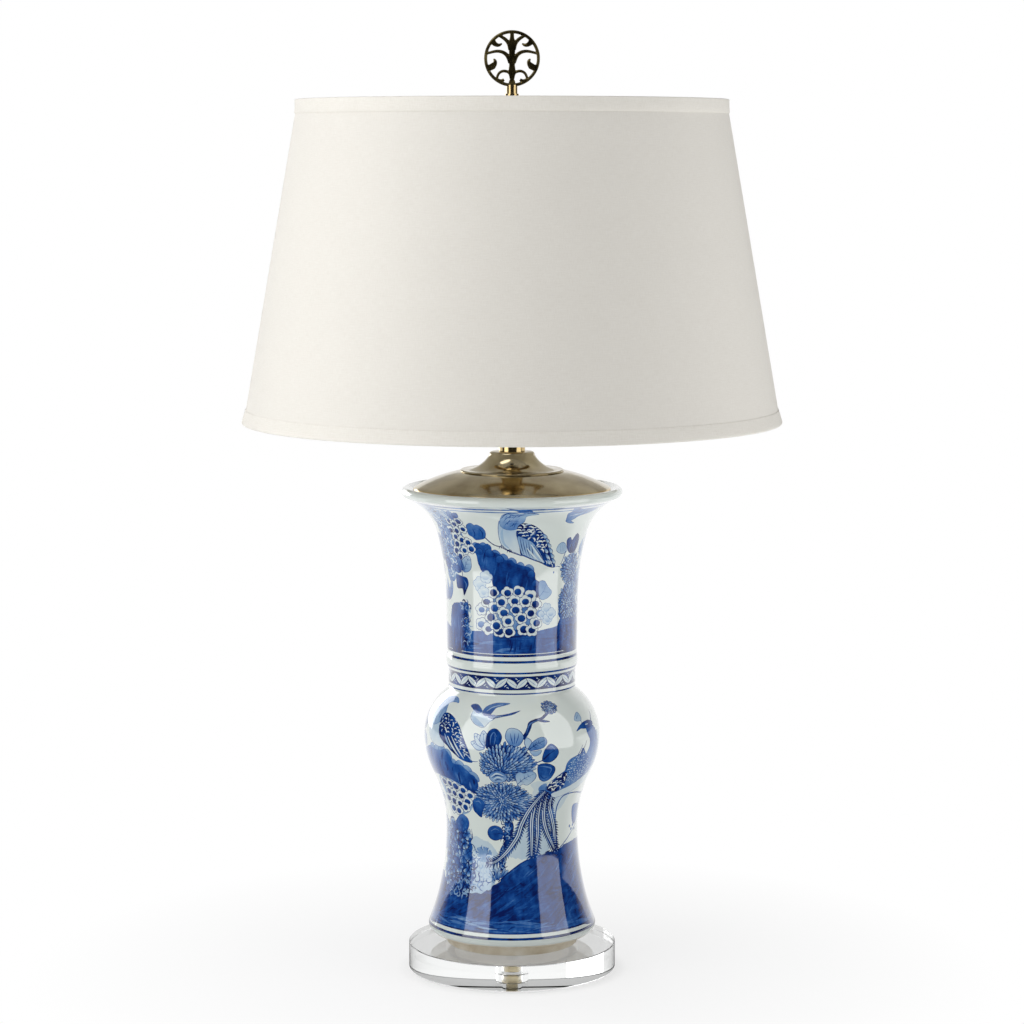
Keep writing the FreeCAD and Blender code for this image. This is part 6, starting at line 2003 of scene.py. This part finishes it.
@dataclass
class Vase(Assembly):
    """The painted porcelain vase."""

    wall: float = 6.0
    inlet_radius: float = 5.6
    inlet_height: float = 30.0
    mouth_ledge: float = 79.0
    waist_height: float = 101.0

    def side(self, wall: float, fineness: float) -> Pen:
        """The side from foot to flare, a wall's thickness inside the outer face."""
        foot = Pen([(56.4 - wall, self.waist_height)], (0.0, -1.0), fineness)
        foot.arc(72.0, 17.0) if wall == 0 else foot.arc(64.0, 23.0)
        pen = Pen(foot.points[::-1], (0.0, 1.0), fineness)
        pen.arc(56.4 + 18.9 * 0.61 - wall, 101.0 + 80.5 * 0.61).arc(75.3 - wall, 181.5).arc(54.4 - wall, 221.5)
        pen.line(54.4 - wall, 239.0, 5.0).arc_over((56.2 - wall, 245.5), (55.4 - wall, 252.0))
        pen.line(56.2 - wall, 296.0, 6.0)
        pen.heading = (0.0, 1.0)
        return pen.arc(63.8 - wall, 355.0)

    def face(self, fineness: float) -> list[Point]:
        """The whole outer face, from the foot ring to the crest of the lip."""
        low = Pen([(57.5, 7.0)], fineness=fineness)
        low.line(64.0, 9.0, 2.0).arc_over((64.0 + 8 * math.sqrt(0.5), 17.0 - 8 * math.sqrt(0.5)), (72.0, 17.0))
        side = self.side(0.0, fineness)
        side.arc(84.6, 382.6).line(91.2, 386.2, 3.0).arc_over((94.3, 390.3), (89.8, 394.5))
        return low.points + side.points[1:]

    def build(self) -> None:
        """Paints, wraps and joins the vase."""
        level = Span.of("vase").low.z
        profile = Profile(self.face(0.001))
        rows = profile.run_at(Profile(self.face(0.08)).height)
        rows[-1] = profile.run[-1]
        canvas = Canvas(profile, rows, level)
        Composition(canvas).paint()
        canvas.cut(self.inlet_radius, self.inlet_height)
        outer = canvas.mesh("painted_vase", True)
        below = [point for point in self.side(self.wall, 0.2).points if point[1] <= self.waist_height]
        inner_profile = Profile(below)
        inner = Canvas(inner_profile, inner_profile.run, level)
        inner.cut(self.inlet_radius, self.inlet_height)
        lining = inner.mesh("lower_lining", False)
        rings = [face.profile.wrap(face.hole, level) for face in (canvas, inner)]
        count = len(rings[0])
        quads = [(k, (k + 1) % count, count + (k + 1) % count, count + k) for k in range(count)]
        tube = Bench.sheet("inlet", np.concatenate(rings).tolist(), [], quads)
        tube.data.materials.append(FOOT_CLAY.material())
        upper = [point for point in self.side(self.wall, 0.2).points if point[1] >= self.waist_height]
        ledge = Pen([(89.8, 394.5), (85.0, 391.6), (self.mouth_ledge, 391.6)])
        lip_in = Pen(upper, (0.0, 1.0), 0.05)
        lip_in.heading = (63.8 - upper[-1][0], 1.0)
        strip = Bench.lathe(
            "mouth", ledge.points + lip_in.line(self.mouth_ledge, 391.6).points[-2::-1], COLUMNS, level=level,
            closed=False
        )
        strip.data.materials.append(GLAZE.material())
        bottom = [
            (64.0, 23.0), (58.0, 13.0), (6.5, 13.0), (6.5, 7.0), (49.0, 7.0), (49.0, 0.4), (49.4, 0.0), (55.6, 0.0),
            (56.1, 0.4), (57.5, 7.0)
        ]
        foot = Bench.lathe("foot", bottom, COLUMNS, level=level, closed=False)
        foot.data.materials.append(FOOT_CLAY.material())
        vase = Bench.join("painted_vase", [outer, lining, tube, strip, foot])
        Bench.take(vase)
        bpy.ops.object.mode_set(mode="EDIT")
        bpy.ops.mesh.select_mode(type="VERT")
        bpy.ops.mesh.select_all(action="DESELECT")
        bpy.ops.mesh.select_non_manifold()
        bpy.ops.mesh.remove_doubles(threshold=2e-6)
        bpy.ops.mesh.select_all(action="SELECT")
        bpy.ops.mesh.normals_make_consistent(inside=False)
        bpy.ops.object.mode_set(mode="OBJECT")
        Bench.smooth(vase, 40.0)
        self.polish(vase, profile, level)
        self.keep(vase, GLAZE, Body.LAMP, ["vase"])
        self.dress(BLACK_BUSH, "cord_bushing")

    def polish(self, vase: bpy.types.Object, profile: Profile, level: float) -> None:
        """Gives the turned face the normals of its true curve."""
        mesh = vase.data
        corners = len(mesh.loops)
        normals = np.empty(corners * 3)
        mesh.corner_normals.foreach_get("vector", normals)
        normals = normals.reshape(-1, 3)
        vertex = np.empty(corners, np.int32)
        mesh.loops.foreach_get("vertex_index", vertex)
        places = np.empty(len(mesh.vertices) * 3)
        mesh.vertices.foreach_get("co", places)
        places = places.reshape(-1, 3)[vertex] / MM
        totals = np.empty(len(mesh.polygons), np.int32)
        mesh.polygons.foreach_get("loop_total", totals)
        turned = np.zeros(len(mesh.polygons), bool)
        mesh.attributes["turned"].data.foreach_get("value", turned)
        rows = np.repeat(turned, totals)
        normals[rows] = profile.normals(places[rows], level)
        mesh.normals_split_custom_set(normals.tolist())


@dataclass
class Cap(Assembly):
    """The two tiers of spun brass in the vase's mouth, and the tube that stands on them."""

    hole: float = 5.25
    sheet: float = 1.2
    flat: float = 46.0
    crown: Point = (65.1, 10.3)

    def build(self) -> None:
        """Spins both tiers with their rolled edges."""
        lid, bell = Span.of("vase_cap"), Span.of("cap_collar")
        radius, height = lid.high.x, lid.high.z - lid.low.z
        pen = Pen([(radius - 1.2, 0.0)])
        pen.line(radius - 0.4, 0.0).arc_over((radius, 0.6), (radius - 0.1, 1.2)).line(radius - 1.2, 2.5)
        pen.arc_over(self.crown, (self.flat, height)).line(self.hole, height)
        pen.line(self.hole, height - self.sheet).line(self.flat, height - self.sheet)
        pen.arc_over((self.crown[0], self.crown[1] - self.sheet), (radius - 2.4, 1.3))
        piece = Bench.lathe("cap_dome", pen.points, steps=256, level=lid.low.z, corner=30.0)
        self.keep(piece, SPUN_BRASS, Body.LAMP, ["vase_cap"])
        piece.data.materials.append(POLISHED_BRASS.material())
        for polygon in piece.data.polygons:
            if math.hypot(polygon.center.x, polygon.center.y) > (radius - 0.9) * MM:
                polygon.material_index = 1
        radius, height = bell.high.x, bell.high.z - bell.low.z
        pen = Pen([(radius - 1.2, 0.0)])
        pen.line(radius - 0.3, 0.0).arc_over((radius, 0.55), (radius - 0.2, 1.15)).line(radius - 1.2, 1.8)
        pen.arc_over((25.6, 6.8), (19.4, height - 2.8)).arc_over((18.6, height - 0.8), (16.6, height))
        pen.line(self.hole, height).line(self.hole, height - self.sheet).line(16.6, height - self.sheet)
        pen.line(18.2, height - 4.0).arc_over((24.4, 5.6), (radius - 2.4, 0.6))
        piece = Bench.lathe("cap_bell", pen.points, steps=192, level=bell.low.z, corner=30.0)
        self.keep(piece, SPUN_BRASS, Body.LAMP, ["cap_collar"])
        self.dress(POLISHED_BRASS, "neck_tube", "neck_ring")


@dataclass
class Shade(Assembly):
    """The tapered drum: linen on a stiff sheet, tape trims, rings and arms."""

    top_radius: float = 179.7
    bottom_radius: float = 226.9
    cloth: float = 0.7
    backing: float = 0.5
    seam_width: float = 11.0
    trim_height: float = 11.0
    tape: float = 0.7
    steps: int = 288
    slope: float = field(init=False)

    def __post_init__(self) -> None:
        """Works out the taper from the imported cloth."""
        cloth = Span.of("shade_fabric")
        self.low, self.high = cloth.low.z, cloth.high.z
        self.slope = (self.bottom_radius - self.top_radius) / (self.high - self.low)

    def radius(self, level: float) -> float:
        """Outside radius of the cloth at a level."""
        return self.top_radius + self.slope * (self.high - level)

    def chart(self, piece: bpy.types.Object) -> None:
        """Lays a map in metres over a piece: the way round it, and the way up."""
        mesh = piece.data
        chart = mesh.uv_layers.new(name="cloth")
        count = len(mesh.loops)
        corners = np.empty(count, np.int32)
        mesh.loops.foreach_get("vertex_index", corners)
        places = np.empty(len(mesh.vertices) * 3)
        mesh.vertices.foreach_get("co", places)
        places = places.reshape(-1, 3)[corners]
        angle = np.arctan2(-places[:, 0], -places[:, 1])
        for polygon in mesh.polygons:
            run = slice(polygon.loop_start, polygon.loop_start + polygon.loop_total)
            part = angle[run]
            if part.max() - part.min() > math.pi:
                part[part < 0] += TURN
        mean_radius = 0.5 * (self.top_radius + self.bottom_radius) * MM
        reach = np.hypot(places[:, 0], places[:, 1])
        up = places[:, 2] + reach * 0.5
        chart.data.foreach_set("uv", np.stack([angle * mean_radius, up], axis=1).ravel())

    def build(self) -> None:
        """Makes the cloth with its lap, the trims and the wire."""
        rows = 14
        pen = Pen([(self.radius(self.low), self.low)])
        pen.line(self.top_radius, self.high, (self.high - self.low) / rows)
        inner = [(radius - self.cloth, level) for radius, level in reversed(pen.points)]
        cloth = Bench.lathe("linen_cover", pen.points + inner, steps=self.steps)
        for vertex in cloth.data.vertices:
            reach = math.hypot(vertex.co.x, vertex.co.y)
            off_seam = abs(math.atan2(vertex.co.x, vertex.co.y)) * reach / MM
            if off_seam < self.seam_width * 0.5 and reach / MM > self.radius(vertex.co.z / MM) - 0.1:
                vertex.co.xy *= (reach + 0.5 * MM) / reach
        self.chart(cloth)
        self.keep(cloth, LINEN, Body.SHADE, ["shade_fabric"])
        top = self.trim("top_tape", True)
        bottom = self.trim("bottom_tape", False)
        self.keep(top, TAPE, Body.SHADE, ["shade_top_trim"])
        self.keep(bottom, TAPE, Body.SHADE, ["shade_bottom_trim"])
        self.dress(STYRENE, "shade_liner")
        self.dress(WHITE_ENAMEL, "shade_top_ring", "shade_bottom_ring")
        self.dress(POLISHED_BRASS, "spider_arms", "spider_washer")

    def trim(self, name: str, at_top: bool) -> bpy.types.Object:
        """A tape folded over an edge of the shade.

        Args:
            name: The piece's name.
            at_top: Whether it is the top edge.

        Returns:
            The tape.
        """
        tape, rise = self.tape, self.trim_height
        if at_top:
            edge = self.high
            face = self.top_radius + 2.2
            lower = self.radius(edge - rise)
            inside = self.top_radius - self.cloth - self.backing
            pen = Pen([(lower, edge - rise + 0.2)])
            pen.line(lower + tape * 0.6, edge - rise).line(lower + tape, edge - rise + 0.5)
            pen.line(face, edge - rise * 0.5).line(face, edge - 0.5)
            pen.arc_over((face - 0.35, edge + 0.5), (face - 1.2, edge + tape))
            pen.line(inside - tape + 0.4, edge + tape).line(inside - tape, edge + 0.2)
            pen.line(
                inside - tape, edge - 1.0
            ).line(inside, edge - 1.0).line(inside, edge).line(self.top_radius, edge)
            return self.chart_tape(Bench.lathe(name, pen.points, steps=self.steps, corner=50.0))
        edge = self.low
        upper = self.radius(edge + rise)
        inside = self.bottom_radius - self.cloth - self.backing
        tail = inside - 3.4 - self.slope * 5.0
        pen = Pen([(upper, edge + rise - 0.2), (upper + tape * 0.6, edge + rise)])
        pen.line(upper + tape, edge + rise - 0.5).line(self.bottom_radius + 1.6, edge + 1.2)
        pen.arc_over((self.bottom_radius + 1.7, edge), (self.bottom_radius + 1.0, edge - tape))
        pen.line(tail - tape, edge - tape).line(tail - tape, edge + 5.0).line(tail, edge + 5.0).line(tail, edge)
        pen.line(self.bottom_radius, edge)
        return self.chart_tape(Bench.lathe(name, pen.points, steps=self.steps, corner=50.0))

    def chart_tape(self, piece: bpy.types.Object) -> bpy.types.Object:
        """Lays the cloth's map over a tape and returns it."""
        self.chart(piece)
        return piece


@dataclass
class Socket(Assembly):
    """The socket with its fluted switch knob."""

    knob_radius: float = 6.5
    flutes: int = 18

    def build(self) -> None:
        """Turns and flutes the knob, and dresses the rest."""
        knob = Span.of("switch_knob")
        length = knob.high.y - knob.low.y
        centre = (knob.low.z + knob.high.z) * 0.5
        bore, depth = 2.3, length - 3.0
        pen = Pen([(bore, 0.0), (self.knob_radius - 1.2, 0.0)])
        pen.arc_over((self.knob_radius - 0.35, 0.35), (self.knob_radius, 1.2))
        pen.line(self.knob_radius, length - 1.6, 0.9)
        pen.arc_over((self.knob_radius - 0.5, length - 0.5), (self.knob_radius - 1.7, length))
        pen.line(self.knob_radius - 2.6, length - 0.35).line(0.0, length - 0.35).line(0.0, depth).line(bore, depth)
        piece = Bench.lathe("fluted_knob", pen.points, steps=self.flutes * 6)
        for vertex in piece.data.vertices:
            reach = math.hypot(vertex.co.x, vertex.co.y) / MM
            if reach > self.knob_radius - 0.4 and 1.4 * MM < vertex.co.z < (length - 1.8) * MM:
                turn = math.atan2(vertex.co.y, vertex.co.x)
                vertex.co.xy *= 1 - 0.09 * max(0.0, math.cos(self.flutes * turn)) ** 2
        swing = Matrix.Rotation(math.pi / 2, 4, "X")
        piece.data.transform(Matrix.Translation((0.0, knob.high.y * MM, centre * MM)) @ swing)
        Bench.smooth(piece, 35.0)
        self.keep(piece, BLACK_RESIN, Body.SWITCH, ["switch_knob"])
        self.dress(POLISHED_BRASS, "socket_cap", "socket_shell", "socket_contact", "terminal_screws", "switch_shaft")
        self.dress(STEEL, "socket_set_screw")
        self.dress(FIBRE, "socket_liner")
        self.dress(BLACK_RESIN, "socket_core")
        self.dress(ALUMINIUM, "socket_screw_shell")


@dataclass
class Harp(Assembly):
    """The harp with its saddle, nut and sleeves."""

    def build(self) -> None:
        """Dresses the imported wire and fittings."""
        self.dress(POLISHED_BRASS, "harp_saddle", "saddle_nut", "harp_wire", "harp_stud")
        self.dress(POLISHED_BRASS, "harp_sleeve_right", "harp_sleeve_left")


@dataclass
class Bulb(Assembly):
    """The bulb, with a threaded base."""

    radius: float = 12.9
    taper: float = 3.0
    sheet: float = 0.4
    pitch: float = 3.6
    groove: float = 0.035 * 0.9

    def build(self) -> None:
        """Rolls the thread into the base and dresses the rest."""
        base = Span.of("bulb_base")
        height = base.high.z - base.low.z
        pen = Pen([(0.0, 0.0), (9.0, 0.0), (self.radius, self.taper)])
        pen.line(self.radius, height, 0.45).line(self.radius - self.sheet, height)
        pen.line(self.radius - self.sheet, self.taper + self.sheet).line(9.0, self.sheet).line(0.0, self.sheet)
        piece = Bench.lathe("threaded_base", pen.points, steps=72, level=base.low.z, closed=False)
        for vertex in piece.data.vertices:
            rise = vertex.co.z / MM - base.low.z
            reach = math.hypot(vertex.co.x, vertex.co.y)
            if reach / MM > self.radius - 0.05 and self.taper + 0.5 < rise < height - 3.0:
                turn = math.atan2(vertex.co.y, vertex.co.x)
                wave = 0.5 - 0.5 * math.cos(TURN * rise / self.pitch - turn)
                vertex.co.xy *= 1 - self.groove * wave
        self.keep(piece, ALUMINIUM, Body.BULB, ["bulb_base"])
        self.dress(FROST, "bulb_glass", "bulb_stem")
        self.dress(STEEL, "bulb_tip", "bulb_filament")
        self.dress(DARK_GLASS, "bulb_insulator")


TREE = (
    (((0, 0.97), (0, 0.85), (0, 0.7)), 1.54, 1.95),
    (((0, 0.74), (0, 0.66), (0, 0.56)), 2.05, 3.17),
    (((0, 0.6), (0, 0.4), (0, 0.1)), 3.46, 2.32),
    (((0, 0.14), (0, -0.1), (0, -0.34)), 2.43, 2.44),
    (((0, -0.3), (0, -0.42), (0, -0.58)), 2.56, 3.17),
    (((0, -0.52), (0, -0.66), (0, -0.95)), 3.33, 1.22),
    (((0.06, 0.34), (0.09, 0.48), (0.15, 0.61), (0.27, 0.73), (0.4, 0.81), (0.5, 0.86)), 2.05, 1.1),
    (((0.73, 0.64), (0.68, 0.57), (0.6, 0.51), (0.5, 0.49), (0.43, 0.52), (0.38, 0.56)), 2.56, 0.61),
    (
        (
            (0.06, -0.16), (0.12, 0.0), (0.185, 0.12), (0.28, 0.2), (0.39, 0.25), (0.54, 0.275), (0.72, 0.25),
            (0.93, 0.19)
        ),
        1.92, 1.04
    ),
    (((0.93, -0.34), (0.86, -0.35), (0.79, -0.33), (0.7, -0.27)), 2.43, 2.68),
    (((0.73, -0.29), (0.66, -0.22), (0.63, -0.13), (0.65, -0.06), (0.7, -0.02)), 2.69, 0.61),
    (
        (
            (0.03, -0.6), (0.11, -0.52), (0.23, -0.475), (0.345, -0.47), (0.46, -0.52), (0.53, -0.61), (0.56, -0.7),
            (0.58, -0.79)
        ),
        1.28, 1.04
    ),
    (((0.56, -0.8), (0.46, -0.84), (0.38, -0.84), (0.3, -0.79)), 1.41, 1.22),
)


@dataclass
class Finial(Assembly):
    """The turned foot and the cast, pierced medallion with its scrolled tree."""

    rim_width: float = 2.1
    rim_inset: float = 0.68
    rim_swell: float = 1.35
    hub_radius: float = 0.085
    hub_depth: float = 0.89
    hub_swell: float = 0.9
    thickness: float = 3.4
    grain: float = 0.24

    def build(self) -> None:
        """Casts the medallion and dresses the foot."""
        span = Span.of("finial_medallion")
        radius = (span.high.x - span.low.x) * 0.5
        middle = (span.high.z + span.low.z) * 0.5
        reach = radius - self.rim_width * self.rim_inset
        half = self.rim_width * 0.5
        rim = [(math.sin(turn), math.cos(turn)) for turn in np.linspace(0, TURN, 33)[:-1]]
        size = self.hub_radius
        hub = [(size * math.sin(turn), size * math.cos(turn) - self.hub_depth) for turn in np.linspace(0, TURN, 13)[:-1]]
        pieces = [
            self.strand(0, rim, reach, half * self.rim_swell, half * self.rim_swell, True),
            self.strand(99, hub, reach, half * self.hub_swell, half * self.hub_swell, True),
        ]
        for index, (points, start, end) in enumerate(TREE, start=1):
            for side in (1, -1) if points[0][0] or points[-1][0] else (1,):
                run = [(side * across, up) for across, up in points]
                pieces.append(self.strand(index, run, reach, start * half, end * half, False))
        cast = Bench.join("pierced_medallion", pieces)
        cast.data.transform(Matrix.Translation((0.0, 0.0, middle * MM)))
        Bench.modify(cast, "REMESH", mode="VOXEL", voxel_size=self.grain * MM)
        Bench.modify(cast, "SMOOTH", factor=0.5, iterations=3)
        flat = self.thickness * 0.5 * MM
        for vertex in cast.data.vertices:
            vertex.co.y = math.copysign(min(abs(vertex.co.y) * 1.25, flat), vertex.co.y)
        cast.data.materials.clear()
        Bench.smooth(cast, 60.0)
        self.keep(cast, CAST_BRASS, Body.FINIAL, ["finial_medallion"])
        self.dress(POLISHED_BRASS, "finial_base")

    def strand(
        self, index: int, points: list[Point], reach: float, start: float, end: float, closed: bool
    ) -> bpy.types.Object:
        """A round strand through points of the medallion's face.

        Args:
            index: A number for its name.
            points: The points, as shares of the reach.
            reach: The radius that a share of one stands for.
            start: Its half width at the start.
            end: Its half width at the end.
            closed: Whether it is a ring.

        Returns:
            The strand as a mesh.
        """
        line = bpy.data.curves.new(f"strand_{index}", "CURVE")
        line.dimensions = "3D"
        line.bevel_depth = MM
        line.bevel_resolution = 5
        line.use_fill_caps = True
        spline = line.splines.new("NURBS")
        spline.points.add(len(points) - 1)
        for place, (across, up) in enumerate(points):
            share = place / (len(points) - 1)
            spline.points[place].co = (across * reach * MM, 0.0, up * reach * MM, 1.0)
            spline.points[place].radius = start + (end - start) * share
        spline.order_u = min(3, len(points))
        spline.use_cyclic_u = closed
        spline.use_endpoint_u = not closed
        spline.resolution_u = 8
        piece = bpy.data.objects.new(f"strand_{index}", line)
        bpy.context.scene.collection.objects.link(piece)
        Bench.take(piece)
        bpy.ops.object.convert(target="MESH")
        return piece


@dataclass
class Studio:
    """Floor, lights and camera."""

    camera_place: tuple[float, float, float] = (0.0, -2.5799, 0.7008)
    camera_pitch: float = 6.7316
    lens: float = 107.2266
    fill: float = 0.08
    dark_room: float = 0.03

    def build(self) -> None:
        """Sets the studio up."""
        self.floor()
        self.world()
        self.light("left_box", (-0.7, -0.566, 0.66), (0.0, 0.0, 0.66), (0.6, 1.3), 5.3)
        self.light("right_box", (0.802, -0.409, 0.66), (0.0, 0.0, 0.66), (0.7, 1.3), 4.7)
        self.light("back_box", (-1.3, 1.8, 0.9), (0.0, 0.0, 0.5), (1.2, 1.6), 13.0)
        self.light("top_box", (-0.9, -0.6, 2.1), (0.0, 0.0, 0.5), (1.2, 1.2), 13.0)
        eye = bpy.data.cameras.new("camera")
        eye.lens = self.lens
        eye.sensor_width = 36.0
        camera = bpy.data.objects.new("camera", eye)
        camera.location = self.camera_place
        camera.rotation_euler = (math.radians(90.0 - self.camera_pitch), 0.0, 0.0)
        bpy.context.scene.collection.objects.link(camera)
        bpy.context.scene.camera = camera
        bpy.context.scene.view_settings.view_transform = "Standard"

    def light(
        self,
        name: str,
        place: tuple[float, float, float],
        target: tuple[float, float, float],
        size: tuple[float, float],
        power: float,
    ) -> None:
        """Adds a soft box.

        Args:
            name: Its name.
            place: Where it stands.
            target: What it points at.
            size: Its width and height in metres.
            power: Its power in watts.
        """
        lamp = bpy.data.lights.new(name, "AREA")
        lamp.shape = "RECTANGLE"
        lamp.size, lamp.size_y = size
        lamp.energy = power
        stand = bpy.data.objects.new(name, lamp)
        stand.location = place
        stand.rotation_euler = (Vector(target) - Vector(place)).to_track_quat("-Z", "Y").to_euler()
        bpy.context.scene.collection.objects.link(stand)

    def floor(self) -> None:
        """A pale floor that fades to white away from the lamp and keeps its shadow, with painted shade: a painted
        contact shadow round the disc, a painted shadow where it is seen through the disc, and a painted dark
        reflection in front of the lamp.
        """
        Bench.clear()
        bpy.ops.mesh.primitive_grid_add(x_subdivisions=8, y_subdivisions=8, size=16.0, location=(0.0, 0.0, 0.0))
        floor = bpy.context.object
        floor.name = "floor"
        shader = Shader("pale_floor")
        shader.set(Base_Color=paint("F1F1F1"), Roughness=0.65, Specular_IOR_Level=0.2)
        glow = shader.tree.nodes.new("ShaderNodeEmission")
        glow.inputs["Color"].default_value = (1.0, 1.0, 1.0, 1.0)
        blend = shader.tree.nodes.new("ShaderNodeMixShader")
        away = shader.node("VectorMath", {"operation": "LENGTH"}, {0: shader.place()}, "Value")
        # Painted contact shadow, partly real: the white glow is cut back under and just round the disc, so the floor's
        # rendered shade shows darker there.
        under = shader.node(
            "MapRange", values={"Value": away, "From Min": 0.06, "From Max": 0.1, "To Min": -0.5, "To Max": 0.0}
        )
        fade = under + shader.node(
            "MapRange", values={"Value": away, "From Min": 0.1, "From Max": 0.42, "To Min": 0.8}
        )
        through = shader.node("LightPath", output="Is Transmission Ray")
        mirrored = (shader.node("LightPath", output="Is Glossy Ray") - through).clipped()
        # Painted dark reflection: in reflections the floor in front of the lamp shows nearly black, brightening to
        # full glow 0.3 m behind the lamp's axis.
        front = shader.node("SeparateXYZ", values={0: shader.place()}, output="Y")
        painted_dark_reflection = shader.node("MapRange", values={"Value": front, "From Min": 0.0, "From Max": 0.3, "To Min": 0.03})
        soft = shader.node("LightPath", output="Is Diffuse Ray")
        # Painted shadow: seen through the clear disc, the floor near the lamp glows only half as bright, as if it lay
        # in the lamp's shadow.
        painted_shadow_seen_through = shader.node("MapRange", values={"Value": away, "From Min": 0.12, "From Max": 0.5, "To Min": 0.5})
        shader.feed(glow.inputs["Strength"], 1 - mirrored * (1 - painted_dark_reflection) - through * (1 - painted_shadow_seen_through) - soft * 0.28)
        shader.feed(blend.inputs[0], shader.maths("MAXIMUM", shader.maths("MAXIMUM", fade, mirrored), through * 0.92))
        shader.tree.links.new(shader.surface.outputs[0], blend.inputs[1])
        shader.tree.links.new(glow.outputs[0], blend.inputs[2])
        output = next(node for node in shader.tree.nodes if node.type == "OUTPUT_MATERIAL")
        shader.tree.links.new(blend.outputs[0], output.inputs["Surface"])
        floor.data.materials.append(shader.material)

    def world(self) -> None:
        """A white surround for the camera, for reflections and through clear pieces; soft light for the rest."""
        world = bpy.data.worlds.new("surround")
        world.use_nodes = True
        tree = world.node_tree
        tree.nodes.clear()
        shader = Shader.of_world(tree)
        camera = shader.node("LightPath", output="Is Camera Ray")
        through = shader.node("LightPath", output="Is Transmission Ray")
        mirrored = shader.node("LightPath", output="Is Glossy Ray")
        way = shader.node("TexCoord", output="Generated")
        back = shader.node("SeparateXYZ", values={0: way}, output="Y")
        high = shader.node("SeparateXYZ", values={0: way}, output="Z")
        behind = shader.maths(
            "MAXIMUM",
            shader.node("MapRange", values={"Value": back, "From Min": 0.42, "From Max": 0.8}),
            shader.node("MapRange", values={"Value": high, "From Min": 0.5, "From Max": 0.95, "To Max": 0.45}),
        )
        seen = shader.maths("MAXIMUM", camera, through)
        room = mirrored * (behind * (1 - self.dark_room) + self.dark_room) + (1 - mirrored) * self.fill
        strength = seen + (1 - seen) * room
        light = tree.nodes.new("ShaderNodeBackground")
        output = tree.nodes.new("ShaderNodeOutputWorld")
        shader.feed(light.inputs["Color"], (1.0, 1.0, 1.0, 1.0))
        shader.feed(light.inputs["Strength"], strength)
        tree.links.new(light.outputs[0], output.inputs["Surface"])
        bpy.context.scene.world = world


def main() -> None:
    """Builds the lamp and the studio."""
    logging.basicConfig(level=logging.INFO, format="%(name)s %(message)s")
    for part in (Base(), Vase(), Cap(), Harp(), Socket(), Bulb(), Shade(), Finial(), Studio()):
        LOG.info("building %s", type(part).__name__)
        part.build()


if __name__ == "__main__":
    main()
